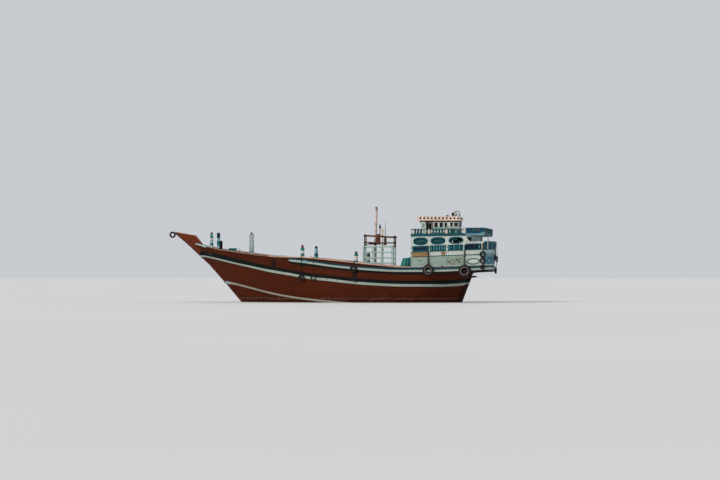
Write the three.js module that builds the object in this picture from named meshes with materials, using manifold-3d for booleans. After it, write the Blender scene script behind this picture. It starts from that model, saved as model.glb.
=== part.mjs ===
// Motor cargo dhow, wooden, three-level rounded poop, short pole mast, no sails.
// Millimetres. +X bow, +Y port, +Z up. Origin: centreline, at the water's surface.
import * as THREE from "three";
import { mergeVertices } from "three/addons/utils/BufferGeometryUtils.js";
import Module from "manifold-3d";

const wasm = await Module();
wasm.setup();

// ---------------------------------------------------------------- dimensions
const GAP = 0.5; // clearance between pieces that bear on each other
const KEEL_HALF = 130; // half siding of keel, stem and sternpost
const KEEL_Z = -2550; // underside of the keel
const STEM_HALF = 190;
const CAP_T = 110; // cap rail, thickness
const CAP_W = 300;
const BULWARK_T = 150;
const POOP_X = -9100; // front of the poop
const SIDE_X = -17070; // end of the poop's straight side
const STERN_A = 780; // how far the rounded stern runs aft of it
const POOP_Y = 3950; // half breadth of the poop, outside
const WALL_T = 90;
const SOLE_Z = [3400, 3600]; // poop sole, underside and top
const SALOON_FLOOR_Z = [5310, 5450];
const UPPER_DECK_Z = [7160, 7450];
const UPPER_END_X = -17150; // aft edge of the upper deck
const SALOON_END_X = -15100; // end of the oval-windowed wall
const SALOON_STERN_A = 1400; // how far its rounded after wall runs aft of that
const RAIL_TOP = 8100;
const HOUSE_X = [-14020, -10000];
const HOUSE_Y = 1050;
const HOUSE_T = 80;
const HOUSE_Z = [7450, 8970];
const ROOF_X = [-14150, -9420];
const ROOF_Y = 1250;
const ROOF_Z = [8980, 9130];
const PARAPET_TOP = 9500;
const MAST = { x0: -4500, x1: -4660, z1: 10480, r0: 175, r1: 80 };
const HATCH = { x: [-1700, 5600], y: 1500, floor: -500, sill: 300, t: 120 };
const ENGINE_ROOM = { x: [-12200, -9900], y: 800, floor: -400 };

// Hull sections: each stands on the line from its foot on the keel to its head
// on the cap. half = half breadth at the head, full = how full the bilge is
// (1 straight, over 1 round, under 1 hollow), deck = height of the deck there.
const SECTIONS = [
  // footX, footZ, headX, headZ, half, full, deck
  [-12900, -2100, -15300, 3950, 150, 1.0, 3395],
  [-12500, -2100, -15050, 3940, 1500, 0.95, 3395],
  [-11900, -2100, -14500, 3930, 2600, 1.0, 3395],
  [-10900, -2120, -13300, 3920, 3450, 1.15, 3395],
  [-9400, -2140, -11200, 3910, 3900, 1.6, 3390],
  [-7400, -2180, -8300, 3930, 4100, 2.1, 3280],
  [-4600, -2200, -5000, 4200, 4270, 2.5, 3320],
  [-1000, -2200, -1000, 4630, 4350, 2.6, 3700],
  [2000, -2200, 2600, 4970, 4250, 2.3, 4020],
  [4200, -2200, 5900, 5080, 4000, 1.9, 4200],
  [6000, -2200, 8900, 5380, 3450, 1.5, 4450],
  [7200, -2200, 11600, 5750, 2650, 1.25, 4850],
  [8000, -2200, 13900, 6080, 1650, 1.1, 5200],
  [8400, -2200, 15200, 6400, 800, 1.05, 5600],
  [8600, -2200, 15950, 6600, 170, 1.0, 5900],
].map(([footX, footZ, headX, headZ, half, full, deck]) => ({
  footX, footZ, headX, headZ, half, full, deck,
}));
const HEIGHTS = [0, 0.07, 0.16, 0.27, 0.4, 0.55, 0.7]; // shares of the way up to the deck edge

// Heights of the painted bands along the side: x, pale rub rail, pale wale, lower stripe
const RUB_RAIL = [[-17850, 3600], [-14900, 3460], [-13400, 3412], [-9100, 3408], [-8000, 3340], [-4700, 3475], [-2500, 3650], [-300, 3890], [2000, 4220], [4400, 4500]];
const WALE = [[-15300, 2150], [-13400, 1940], [-11200, 1890], [-8000, 1900], [-4700, 2040], [-2500, 2210], [-300, 2460], [2000, 2700], [4300, 3100], [6600, 3480], [9000, 4000], [11400, 4510], [13300, 4910], [14600, 5180], [15200, 5330]];
const RUB_H = 250, RUB_OUT = 95;
const WALE_H = 640, WALE_LOW = 145, WALE_OUT = 70; // from 145 under the line to 495 over it

// How far each level of the poop rises for each metre aft of its front
const RISE = [[3400, 0.022], [3900, 0.024], [5000, 0.037], [6300, 0.034], [7300, 0.01], [8000, 0.003], [9000, -0.006], [9500, -0.022]];

const COLOURS = {
  hull: [0x4d2416, 0.75], wale: [0x1c2a26, 0.7], pale: [0x93a096, 0.7], cap: [0xa5806c, 0.8],
  teal: [0x24505c, 0.6], white: [0xa6aaa4, 0.7], mint: [0x94ad9e, 0.7], stair: [0x14907a, 0.6],
  timber: [0x594535, 0.85], deck: [0x8a6a4c, 0.85], pole: [0xb0968a, 0.8], rubber: [0x1d1a18, 0.9],
  iron: [0x25262a, 0.6], bronze: [0x8c6b35, 0.45], band: [0x7f3c2c, 0.7],
};

// ---------------------------------------------------------------- solids
function toSolid(geometry) {
  const g = geometry.clone();
  for (const name of ["normal", "uv"]) g.deleteAttribute(name);
  const merged = mergeVertices(g, 1e-3);
  const vertProperties = new Float32Array(merged.attributes.position.array);
  const triVerts = new Uint32Array(merged.index.array);
  let s = new wasm.Manifold(new wasm.Mesh({ numProp: 3, vertProperties, triVerts }));
  if (s.volume() < 0) {
    for (let i = 0; i < triVerts.length; i += 3) [triVerts[i + 1], triVerts[i + 2]] = [triVerts[i + 2], triVerts[i + 1]];
    s = new wasm.Manifold(new wasm.Mesh({ numProp: 3, vertProperties, triVerts }));
  }
  return s;
}

function toGeometry(s) {
  const m = s.getMesh(), n = m.numProp, p = new Float32Array(m.numVert * 3);
  for (let i = 0; i < m.numVert; i++) p.set(m.vertProperties.subarray(i * n, i * n + 3), i * 3);
  const g = new THREE.BufferGeometry();
  g.setAttribute("position", new THREE.BufferAttribute(p, 3));
  g.setIndex(new THREE.BufferAttribute(new Uint32Array(m.triVerts), 1));
  return g;
}

const join = (...s) => s.flat().reduce((a, b) => a.add(b));
const cut = (s, ...t) => t.flat().reduce((a, b) => a.subtract(b), s);

function block(x, y, z) { // three [low, high] pairs
  const g = new THREE.BoxGeometry(x[1] - x[0], y[1] - y[0], z[1] - z[0]);
  g.translate((x[0] + x[1]) / 2, (y[0] + y[1]) / 2, (z[0] + z[1]) / 2);
  return toSolid(g);
}

function post(x, y, z, r0, r1 = r0, sides = 10, x1 = x, y1 = y) { // a round post from z[0] to z[1], its head at x1, y1
  const g = new THREE.CylinderGeometry(r1, r0, z[1] - z[0], sides);
  g.rotateX(Math.PI / 2);
  const p = g.attributes.position;
  for (let i = 0; i < p.count; i++) {
    const t = p.getZ(i) > 0 ? 1 : 0;
    p.setXY(i, p.getX(i) + x + t * (x1 - x), p.getY(i) + y + t * (y1 - y));
  }
  g.translate(0, 0, (z[0] + z[1]) / 2);
  return toSolid(g);
}

function bar(a, b, r, sides = 8) { // a round bar between two points
  const from = new THREE.Vector3(...a), to = new THREE.Vector3(...b), along = to.clone().sub(from);
  const g = new THREE.CylinderGeometry(r, r, along.length(), sides);
  g.applyQuaternion(new THREE.Quaternion().setFromUnitVectors(new THREE.Vector3(0, 1, 0), along.normalize()));
  g.translate((a[0] + b[0]) / 2, (a[1] + b[1]) / 2, (a[2] + b[2]) / 2);
  return toSolid(g);
}

function plate(points, y) { // an outline in X and Z, drawn through y[0] to y[1]
  const shape = new THREE.Shape(points.map(([x, z]) => new THREE.Vector2(x, z)));
  const g = new THREE.ExtrudeGeometry(shape, { depth: y[1] - y[0], bevelEnabled: false });
  g.rotateX(Math.PI / 2);
  g.translate(0, y[1], 0);
  return toSolid(g);
}

function slab(points, z) { // an outline in X and Y, drawn through z[0] to z[1]
  const shape = new THREE.Shape(points.map(([x, y]) => new THREE.Vector2(x, y)));
  const g = new THREE.ExtrudeGeometry(shape, { depth: z[1] - z[0], bevelEnabled: false });
  g.translate(0, 0, z[0]);
  return toSolid(g);
}

function loft(rings, twoSided = false) { // equal rings of points, closed, with flat ends
  const n = rings[0].length, p = [], index = [];
  for (const ring of rings) for (const q of ring) p.push(...q);
  for (let i = 0; i + 1 < rings.length; i++)
    for (let j = 0; j < n; j++) {
      const a = i * n + j, b = i * n + ((j + 1) % n);
      if (twoSided && j >= n / 2) index.push(a, b, a + n, b, b + n, a + n); // port and starboard faces split alike
      else index.push(a, b, b + n, a, b + n, a + n);
    }
  for (const [k, flip] of [[0, true], [rings.length - 1, false]]) {
    const normal = [0, 0, 0]; // the flat end is drawn on the plane it faces most
    rings[k].forEach((q, i) => { const r = rings[k][(i + 1) % n]; for (let a = 0; a < 3; a++) normal[a] += (q[(a + 1) % 3] - r[(a + 1) % 3]) * (q[(a + 2) % 3] + r[(a + 2) % 3]); });
    const drop = [0, 1, 2].reduce((a, b) => (Math.abs(normal[b]) > Math.abs(normal[a]) ? b : a));
    const flat = rings[k].map((q) => new THREE.Vector2(q[(drop + 1) % 3], q[(drop + 2) % 3]));
    const turn = THREE.ShapeUtils.area(flat) < 0 ? -1 : 1;
    const order = turn > 0 ? flat.map((_, i) => i) : flat.map((_, i) => n - 1 - i);
    for (const [a, b, c] of THREE.ShapeUtils.triangulateShape(order.map((i) => flat[i]), []).map((t) => t.map((i) => order[i]))) {
      const same = turn > 0 !== flip;
      index.push(k * n + a, k * n + (same ? b : c), k * n + (same ? c : b));
    }
  }
  const g = new THREE.BufferGeometry();
  g.setAttribute("position", new THREE.BufferAttribute(new Float32Array(p), 3));
  g.setIndex(index);
  const s = toSolid(g);
  return s;
}

function ring(centre, radius, tube, axis = "y", around = 16, sides = 8) { // a tyre
  const g = new THREE.TorusGeometry(radius, tube, sides, around);
  if (axis === "y") g.rotateX(Math.PI / 2);
  if (axis === "x") g.rotateY(Math.PI / 2);
  g.translate(...centre);
  return toSolid(g);
}

function mirror(s) { // port to starboard
  const g = toGeometry(s);
  g.scale(1, -1, 1);
  return toSolid(g);
}

function interpolate(table, x) {
  if (x <= table[0][0]) return table[0][1];
  for (let i = 1; i < table.length; i++)
    if (x <= table[i][0]) {
      const [x0, v0] = table[i - 1], [x1, v1] = table[i];
      return v0 + ((v1 - v0) * (x - x0)) / (x1 - x0);
    }
  return table[table.length - 1][1];
}

// The poop's levels rise aft: its pieces are drawn level and then sheared.
function risen(s) {
  const g = toGeometry(s), p = g.attributes.position;
  for (let i = 0; i < p.count; i++) {
    const aft = Math.max(0, POOP_X - p.getX(i));
    p.setZ(i, p.getZ(i) + interpolate(RISE, p.getZ(i)) * aft);
  }
  return toSolid(g);
}

// ---------------------------------------------------------------- the hull's surface
const halfAt = (s, v) => KEEL_HALF + (s.half - KEEL_HALF) * Math.pow(1 - Math.pow(1 - Math.min(v, 1), s.full), 1 / s.full);
const pointAt = (s, v, grow = 0) => [s.footX + (s.headX - s.footX) * v, halfAt(s, v) + grow, s.footZ + (s.headZ - s.footZ) * v];
const shareAt = (s, z) => (z - s.footZ) / (s.headZ - s.footZ);

// The share of a section's height where its own line crosses a band's height
function bandShare(s, table) {
  let v = 0.7;
  for (let i = 0; i < 20; i++) v = shareAt(s, interpolate(table, s.footX + (s.headX - s.footX) * v));
  return v;
}

function hullSolid(grow, whole) { // up to the deck, or whole, up past the cap
  const rings = SECTIONS.map((s, k) => {
    const deck = deckShare(s), shares = [...HEIGHTS, 0.85, 1].map((h) => h * deck);
    if (whole) shares.push((1 + deck) / 2, 1, 1.02);
    const end = k === 0 ? -grow : k === SECTIONS.length - 1 ? grow : 0;
    const side = shares.map((v) => { const [x, y, z] = pointAt(s, v, grow); return [x + end, y, z]; });
    side[0][2] -= grow;
    side[side.length - 1][2] += grow;
    return [...side, ...side.map(([x, y, z]) => [x, -y, z]).reverse()];
  });
  return loft(rings, true);
}
function deckShare(s) { return shareAt(s, s.deck); }
const grown = hullSolid(GAP, true);
const grownDeck = hullSolid(GAP, false);

const onDeck = (x, r = 100) => Math.max(deckHeight(x - r), deckHeight(x + r)) + 2; // a level foot that clears the sloping deck
const deckHeight = (x) => interpolate(SECTIONS.map((s) => [s.footX + (s.headX - s.footX) * deckShare(s), s.deck]), x);

const nodes = [];
const add = (name, colour, s) => nodes.push([name, colour, s]);

// Hull, decked, with the cargo hold and the engine room sunk in it, the hatch coamings on it
{
  const deckMid = deckHeight((HATCH.x[0] + HATCH.x[1]) / 2);
  const coaming = block([HATCH.x[0] - HATCH.t, HATCH.x[1] + HATCH.t], [-HATCH.y - HATCH.t, HATCH.y + HATCH.t], [3300, deckMid + HATCH.sill + 260]);
  const fore = block([11000, 12500], [-700, 700], [4400, 5560]);
  const hold = block(HATCH.x, [-HATCH.y, HATCH.y], [HATCH.floor, 9000]);
  const foreHold = block([11080, 12420], [-620, 620], [4000, 9000]);
  const engineRoom = block(ENGINE_ROOM.x, [-ENGINE_ROOM.y, ENGINE_ROOM.y], [ENGINE_ROOM.floor, 9000]);
  const aperture = block([-12600, -11750], [-2000, 2000], [-2060, -480]);
  add("hull", "hull", cut(join(hullSolid(0, false), coaming, fore), hold, foreHold, engineRoom, aperture));
}
const COAMING_TOP = deckHeight((HATCH.x[0] + HATCH.x[1]) / 2) + HATCH.sill + 260;

// Keel, from the forefoot to the heel under the rudder
add("keel", "hull", cut(plate([[8900, -2000], [8350, KEEL_Z], [-12980, KEEL_Z], [-12980, -2112], [-11800, -2112], [-11800, -2000]], [-KEEL_HALF, KEEL_HALF]), grown,
  block([-12995, -11740], [-300, 300], [-2112 + 8, 0])));

// Stem with its raised head
{
  const outline = [
    [8352, KEEL_Z], [8900, -2200], [10630, 0], [12210, 1830], [14320, 4160], [15760, 5460], [16400, 6060], [17150, 6720], [18090, 7480],
    [18330, 7730], [18230, 7850], [15930, 7460], [15200, 6580], [15050, 5800], [13300, 3900], [10000, 100], [8500, -2000],
  ];
  add("stem", "hull", cut(plate(outline, [-STEM_HALF, STEM_HALF]), grown, block([8000, 8352 + 600], [-300, 300], [KEEL_Z - 10, -2000 + 0])));
}

// Bulwarks with their caps, from the stem to the poop
function bulwark() {
  const chosen = SECTIONS.slice(4);
  const rings = chosen.map((s) => {
    const low = deckShare(s), inner = Math.min(BULWARK_T, s.half - 60), shares = [low, (1 + low) / 2, 1];
    const out = shares.map((v) => pointAt(s, v)), inn = out.map(([x, y, z]) => [x, Math.max(y - inner, 30), z]).reverse();
    return [...out, ...inn];
  });
  const capRings = chosen.map((s) => {
    const [x, y, z] = pointAt(s, 1), inner = Math.max(y - CAP_W + 60, 20);
    return [[x, y + 60, z - CAP_T], [x, y + 60, z + 5], [x, inner, z + 5], [x, inner, z - CAP_T]];
  });
  return cut(join(loft(rings), loft(capRings)), block([-20000, POOP_X + GAP], [-6000, 6000], [0, 9000]));
}
const stemKeepOut = plate([[8000, -3000], [9000, -2250], [10700, 0], [12300, 1830], [14400, 4160], [16500, 5900], [18600, 7400], [18600, 8100], [15900, 7600], [15190, 6580], [15000, 5500], [13000, 3000], [8000, -2200]], [-STEM_HALF - GAP, STEM_HALF + GAP]);
const bulwarkPort = cut(bulwark(), grownDeck, stemKeepOut, block([14000, 20000], [-4000, 1], [0, 9000]));
const pickLargest = (s) => s.decompose().sort((a, b) => b.volume() - a.volume())[0];
const bulwarkSolid = pickLargest(bulwarkPort);
add("bulwark_port", "hull", bulwarkSolid);
add("bulwark_starboard", "hull", mirror(bulwarkSolid));

// Poop outline in plan, inset from its outer face; the stern is a half ellipse
function poopOutline(inset, front = POOP_X, steps = 7) {
  const a = STERN_A - inset, b = POOP_Y - inset, pts = [[front, -b], [front, b]];
  for (let i = 0; i <= 2 * steps; i++) {
    const f = Math.PI / 2 - (i * Math.PI) / (2 * steps);
    pts.push([SIDE_X - a * Math.cos(f), b * Math.sin(f)]);
  }
  return pts;
}

// Pale rub rail: along the bulwark, then along the poop and round its stern to the centreline
{
  const ringAt = (x, y, nx, ny, z, inn) => {
    const o = [x + nx * RUB_OUT, Math.max(y + ny * RUB_OUT, GAP)], i = [x - nx * inn, Math.max(y - ny * inn, GAP)];
    return [[o[0], o[1], z], [o[0], o[1], z + RUB_H], [i[0], i[1], z + RUB_H], [i[0], i[1], z]];
  };
  const forward = SECTIONS.slice(5, 10).map((s) => pointAt(s, bandShare(s, RUB_RAIL))).reverse()
    .map(([x, y]) => ringAt(x - 7, y, 0, 1, interpolate(RUB_RAIL, x) - 5, 60));
  const clipped = loft([...forward, ringAt(POOP_X, 4035, 0, 1, interpolate(RUB_RAIL, POOP_X), 60)]);
  const hullPart = cut(clipped, grown, capPath(), block([4400, 20000], [0, 9000], [0, 9000]));
  const outline = poopOutline(0).slice(2, 10);
  const aft = [[POOP_X, 4035, 0, 1], [POOP_X - 900, POOP_Y, 0, 1], ...outline.map(([x, y]) => {
    const nx = (x - SIDE_X) / (STERN_A * STERN_A), ny = y / (POOP_Y * POOP_Y), l = Math.hypot(nx, ny);
    return [x, y, nx / l, ny / l];
  })].map(([x, y, nx, ny]) => ringAt(x, y, nx, ny, interpolate(RUB_RAIL, x), x < POOP_X - 10 ? 60 : 145));
  const poopPart = cut(loft(aft), grownDeck, slab(poopOutline(-GAP, POOP_X + 400), [3000, 5300]));
  const rail = pickLargest(join(hullPart, poopPart));
  add("rub_rail_port", "pale", rail);
  add("rub_rail_starboard", "pale", mirror(rail));
}
function capPath() { // the cap's path, a little enlarged
  const chosen = SECTIONS.slice(4);
  return loft(chosen.map((s) => { const [x, y, z] = pointAt(s, 1); return [[x, y + 60 + GAP, z - CAP_T - GAP], [x, y + 60 + GAP, z + GAP], [x, y - 400, z + GAP], [x, y - 400, z - CAP_T - GAP]]; }));
}

// Wales: pale stripe with a dark strake over it
function waleSide() {
  const rings = SECTIONS.slice(1, 14).map((s) => {
    const v = bandShare(s, WALE), span = s.headZ - s.footZ;
    const lo = pointAt(s, v - WALE_LOW / span), hi = pointAt(s, v + (WALE_H - WALE_LOW) / span);
    return [[lo[0], lo[1] + WALE_OUT, lo[2]], [hi[0], hi[1] + WALE_OUT, hi[2]], [hi[0], Math.max(hi[1] - 95, 40), hi[2]], [lo[0], Math.max(lo[1] - 95, 40), lo[2]]];
  });
  return loft(rings);
}
{
  const w = pickLargest(cut(waleSide(), grown, stemKeepOut, block([-20000, 20000], [-5000, GAP], [-3000, 9000])));
  add("wale_port", "wale", w);
  add("wale_starboard", "wale", mirror(w));
}

// Posts inside the rails: name, x, y, head, radius
const POSTS = [
  ["bow_post", 13800, 1190, 7800, 125],
  ["waist_post_fore", 2890, 3850, 6300, 150],
  ["waist_post_aft", -3100, 3990, 5600, 150],
];
for (const [name, x, y, head, r] of POSTS) {
  const s = pickLargest(cut(post(x, y, [deckHeight(x) + 8, head], r, r * 0.92, 8), bulwarkGrown(), grownDeck));
  add(name + "_port", "mint", s);
  add(name + "_starboard", "mint", mirror(s));
}
function bulwarkGrown() { // the bulwark, a little enlarged inboard
  const shift = (dx, dy, dz) => { const h = toGeometry(bulwarkSolid); h.translate(dx, dy, dz); return toSolid(h); };
  return join(bulwarkSolid, shift(0, -3, 0), shift(0, -1.5, 2), shift(2, -1.5, -1), shift(-2, -1.5, -1));
}

// Fore samson post, capstan, mast
add("samson_post", "mint", block([9300, 9700], [-190, 190], [onDeck(9500, 200), 7730]));
add("capstan", "iron", join(
  post(13000, 0, [deckHeight(13000) + 60, 5500], 260, 130, 12), post(13000, 0, [5499, 6180], 130, 130, 12), post(13000, 0, [6179, 6560], 130, 190, 12)));
add("mast", "pole", join(
  post(MAST.x0, 0, [onDeck(MAST.x0, 180), 6600], MAST.r0, MAST.r0 * 0.8, 10, MAST.x0 - 60, 0),
  post(MAST.x0 - 60, 0, [6599, MAST.z1], MAST.r0 * 0.62, MAST.r1, 10, MAST.x1, 0),
  post(MAST.x1, 0, [MAST.z1 - 5, MAST.z1 + 60], 120, 120, 10)));

// Deck rack beside the mast: pale slatted rails, timber frame above, lamp post, lantern staff and thin staff stepped in it
{
  const X = [-6740, -3450], Y = [450, 1600], parts = [];
  const levels = [4330, 4890, 5500, 6130];
  for (const z of levels) {
    for (const y of Y) parts.push(block([X[0], X[1]], [y - 40, y + 40], [z - 70, z + 70]));
    for (const x of X) parts.push(block([x - 50, x + 50], [Y[0] - 40, Y[1] + 40], [z - 70, z + 70]));
  }
  for (const x of [-6700, -5590, -4530, -3490]) for (const y of Y)
    parts.push(block([x - 60, x + 60], [y - 60, y + 60], [onDeck(x), x === -6700 || x === -3490 ? 7250 : 6200]));
  for (const y of Y) {
    parts.push(plate([[-7040, 7085], [-3500, 7305], [-3500, 7435], [-7040, 7215]], [y - 50, y + 50]));
    parts.push(plate([[-6980, 6470], [-3520, 6530], [-3520, 6650], [-6980, 6590]], [y - 45, y + 45]));
  }
  for (const [x, z] of [[-6700, 7180], [-5590, 7240], [-3600, 7360]]) parts.push(block([x - 45, x + 45], [Y[0], Y[1]], [z - 50, z + 50]));
  for (const x of [-6700, -5770, -5530, -5240, -3600]) parts.push(block([x - 45, x + 45], [Y[0], Y[1]], [6510, 6600]));
  parts.push(post(-5530, 1000, [6520, 8150], 50, 50, 8));
  parts.push(post(-5240, 1000, [6520, 8180], 42, 42, 8), post(-5240, 1000, [8160, 8420], 120, 120, 8));
  parts.push(post(-5770, 600, [6520, 8760], 32, 32, 8));
  add("deck_rack", "mint", join(parts));
}

// Ladder from the main deck up the poop's front
{
  const parts = [];
  for (const y of [1500, 2340]) parts.push(plate([[-7550, 3300], [-7850, 3315], [-8980, 4900], [-8700, 4900]], [y, y + 60]));
  for (let i = 0; i < 5; i++) { const t = (i + 0.6) / 5.2; parts.push(block([-7760 - 1130 * t - 130, -7760 - 1130 * t + 110], [1500, 2400], [3330 + 1570 * t - 25, 3330 + 1570 * t + 25])); }
  add("poop_ladder", "stair", join(parts));
}

// Poop: sole, walls level by level, decks
const soleFront = POOP_X;
add("poop_sole", "white", risen(cut(slab(poopOutline(0, soleFront), SOLE_Z), block([-11400, -10500], [-400, 400], [3000, 4000])))); // with the way down to the engine
function wallRing(z, t = WALL_T, front = POOP_X) { return cut(slab(poopOutline(0, front), z), slab(poopOutline(t, front + 500), [z[0] - 10, z[1] + 10])); }
const Z1 = [SOLE_Z[1] + GAP, SALOON_FLOOR_Z[0] - GAP];
const SPLIT_X = -16950; // side wall to stern wall
const FRONT_T = 100;
{
  const all = wallRing(Z1);
  const side = cut(all, block([SPLIT_X - 3000, SPLIT_X], [-5000, 5000], [0, 9000]), block([-20000, 0], [-5000, 0], [0, 9000]), block([POOP_X - FRONT_T - GAP, 0], [-5000, 5000], [0, 9000]));
  add("cabin_side_port", "white", risen(side));
  add("cabin_side_starboard", "white", risen(mirror(side)));
  add("cabin_stern", "white", risen(cut(all, block([SPLIT_X - GAP, 0], [-5000, 5000], [0, 9000]))));
}
const DOOR = { y: [-1300, -500], z: [3640, 5150] }; // lower cabin's doorway
add("cabin_front", "white", risen(cut(block([POOP_X - FRONT_T, POOP_X], [-POOP_Y, POOP_Y], Z1), block([POOP_X - 500, POOP_X + 500], DOOR.y, [3000, DOOR.z[1]]),
  block([POOP_X - 500, POOP_X + 500], [900, 1700], [4350, 4950]), block([POOP_X - 500, POOP_X + 500], [-3100, -2300], [4350, 4950]))));
add("saloon_floor", "white", risen(slab(poopOutline(0), SALOON_FLOOR_Z)));
const Z2 = [SALOON_FLOOR_Z[1] + GAP, UPPER_DECK_Z[0] - GAP];
function oval(x, z, a, b) {
  const pts = [];
  for (let i = 0; i < 20; i++) pts.push([x + a * Math.cos((i * Math.PI) / 10), z + b * Math.sin((i * Math.PI) / 10)]);
  return plate(pts, [-6000, 6000]);
}
const OVALS = [-10170, -12080, -14040];
{
  const wall = cut(block([SALOON_END_X, POOP_X - FRONT_T - GAP], [POOP_Y - WALL_T, POOP_Y], Z2), OVALS.map((x) => oval(x, 6620, 740, 360)));
  add("saloon_side_port", "white", risen(wall));
  add("saloon_side_starboard", "white", risen(mirror(wall)));
  add("saloon_front", "white", risen(cut(block([POOP_X - FRONT_T, POOP_X], [-POOP_Y, POOP_Y], Z2), block([POOP_X - 500, POOP_X + 500], [1500, 2400], [5000, 7000]),
    block([POOP_X - 500, POOP_X + 500], [-800, 800], [6150, 6850]), block([POOP_X - 500, POOP_X + 500], [-2900, -1500], [6150, 6850]))));
  add("gallery_bulwark", "teal", risen(cut(wallRing([Z2[0], 6420]), block([SALOON_END_X - GAP, 0], [-5000, 5000], [0, 9000]))));
}
// Saloon's after wall, rounded, with the way out to the gallery
{
  const bow = (inset) => {
    const a = SALOON_STERN_A - inset, b = POOP_Y - inset, pts = [];
    for (let i = 0; i <= 12; i++) { const f = Math.PI / 2 - (i * Math.PI) / 12; pts.push([SALOON_END_X - GAP - a * Math.cos(f), b * Math.sin(f)]); }
    return pts;
  };
  const wall = cut(slab(bow(115), Z2), slab(bow(115 + WALL_T).concat([[SALOON_END_X + 500, -POOP_Y + 115 + WALL_T], [SALOON_END_X + 500, POOP_Y - 115 - WALL_T]]), [Z2[0] - 10, Z2[1] + 10]), block([-20000, -15500], [-420, 420], [5000, 6950]));
  add("saloon_stern", "white", risen(pickLargest(wall)));
}
// Upper deck, square aft, with a post under its after edge
{
  const deck = block([UPPER_END_X, POOP_X], [-POOP_Y - 20, POOP_Y + 20], UPPER_DECK_Z);
  const hatchway = block([-14900, -14350], [-3300, -2500], [7000, 7600]);
  add("upper_deck", "teal", risen(cut(deck, hatchway)));
  add("stern_post", "mint", risen(post(-17080, 0, [5450 + GAP, UPPER_DECK_Z[0] - GAP], 50, 50, 8)));
}
const Z3 = [UPPER_DECK_Z[1] + GAP, RAIL_TOP];
{
  const rail = join(block([SALOON_END_X, POOP_X], [POOP_Y - 80, POOP_Y], Z3), block([POOP_X - 70, POOP_X], [GAP, POOP_Y], Z3));
  add("upper_rail_port", "teal", risen(rail));
  add("upper_rail_starboard", "teal", risen(mirror(rail)));
  add("quarter_screen", "teal", risen(cut(block([UPPER_END_X, SALOON_END_X - GAP], [-POOP_Y, POOP_Y], Z3), block([UPPER_END_X + 90, 0], [-POOP_Y + 90, POOP_Y - 90], [7000, 9000]))));
}
// Wheelhouse
const Z4 = [HOUSE_Z[0] + GAP, HOUSE_Z[1]];
const WINDOWS = [[-11650, -11270, 8270], [-12230, -11860, 8270], [-12690, -12415, 8270], [-13330, -13030, 8370], [-13880, -13470, 8370]]; // ends and sill
const HDOOR = { x: [-10940, -10360], z: [7500, 8800] };
{
  const side = cut(block([HOUSE_X[0] + HOUSE_T + GAP, HOUSE_X[1] - HOUSE_T - GAP], [HOUSE_Y - HOUSE_T, HOUSE_Y], Z4),
    WINDOWS.map(([x0, x1, sill]) => block([x0, x1], [0, 5000], [sill, 8740])), block([HDOOR.x[0], HDOOR.x[1]], [0, 5000], [7000, HDOOR.z[1] + 30]));
  const bodies = side.decompose();
  add("wheelhouse_side_port", "white", risen(pickLargest(side)));
  add("wheelhouse_side_starboard", "white", risen(mirror(pickLargest(side))));
  add("wheelhouse_front", "white", risen(cut(block([HOUSE_X[1] - HOUSE_T, HOUSE_X[1]], [-HOUSE_Y, HOUSE_Y], Z4), [[-900, -420], [-300, 300], [420, 900]].map((y) => block([-11000, -9000], y, [8270, 8740])))));
  add("wheelhouse_aft", "white", risen(cut(block([HOUSE_X[0], HOUSE_X[0] + HOUSE_T], [-HOUSE_Y, HOUSE_Y], Z4), [[-800, -150], [150, 800]].map((y) => block([-15000, -13900], y, [8370, 8740])))));
  if (bodies.length !== 1) throw new Error("wheelhouse side in " + bodies.length);
}
{
  const curb = (x, y, z) => block(x, y, z);
  const base = block(ROOF_X, [-ROOF_Y, ROOF_Y], ROOF_Z);
  const rim = cut(curb(ROOF_X, [-ROOF_Y, ROOF_Y], [ROOF_Z[1] - 20, PARAPET_TOP]), block([ROOF_X[0] + 70, ROOF_X[1] - 70], [-ROOF_Y + 70, ROOF_Y - 70], [ROOF_Z[1], PARAPET_TOP + 10]));
  add("wheelhouse_roof", "white", risen(join(base, rim)));
}
// Doors
const LEAF = 40;
{
  // port door, folded back against the wheelhouse, forward of its doorway
  const hx = HDOOR.x[1] - 4;
  add("wheelhouse_door_port", "white", block([hx + 6, hx + 6 + 540], [HOUSE_Y + 30, HOUSE_Y + 30 + LEAF], [7530, 8770]));
  add("wheelhouse_door_starboard", "white", block([HDOOR.x[0] + 10, HDOOR.x[1] - 10], [-HOUSE_Y + 20, -HOUSE_Y + 20 + LEAF], [7530, 8770]));
  add("cabin_door", "teal", block([POOP_X - 70, POOP_X - 70 + LEAF], [DOOR.y[0] + 10, DOOR.y[1] - 10], [3625, DOOR.z[1] - 25]));
}
// Helm
add("helm_stand", "timber", block([-10820, -10560], [-180, 180], [7470, 8180]));
{
  const c = [-10900, 0, 8220], parts = [ring(c, 400, 25, "x", 20, 6)];
  for (let i = 0; i < 4; i++) { const a = (i * Math.PI) / 4, r = 500; parts.push(bar([c[0], -r * Math.cos(a), c[2] - r * Math.sin(a)], [c[0], r * Math.cos(a), c[2] + r * Math.sin(a)], 16, 6)); }
  parts.push(bar([c[0] - 40, 0, c[2]], [c[0] + 60, 0, c[2]], 70, 10));
  add("helm_wheel", "timber", join(parts));
}
// Hatch covers and lid
{
  const z = COAMING_TOP;
  for (const [side, k] of [["port", 1], ["starboard", -1]]) {
    const y = k > 0 ? [6, HATCH.y + 90] : [-HATCH.y - 90, -6];
    add("cargo_hatch_" + side, "deck", block([HATCH.x[0] - 90, HATCH.x[1] + 90], y, [z + 8, z + 78]));
  }
  add("fore_hatch_lid", "teal", block([10970, 12530], [-730, 730], [5568, 5640]));
}
add("engine", "iron", block([-12000, -10100], [-480, 480], [ENGINE_ROOM.floor + 20, 900]));

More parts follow.
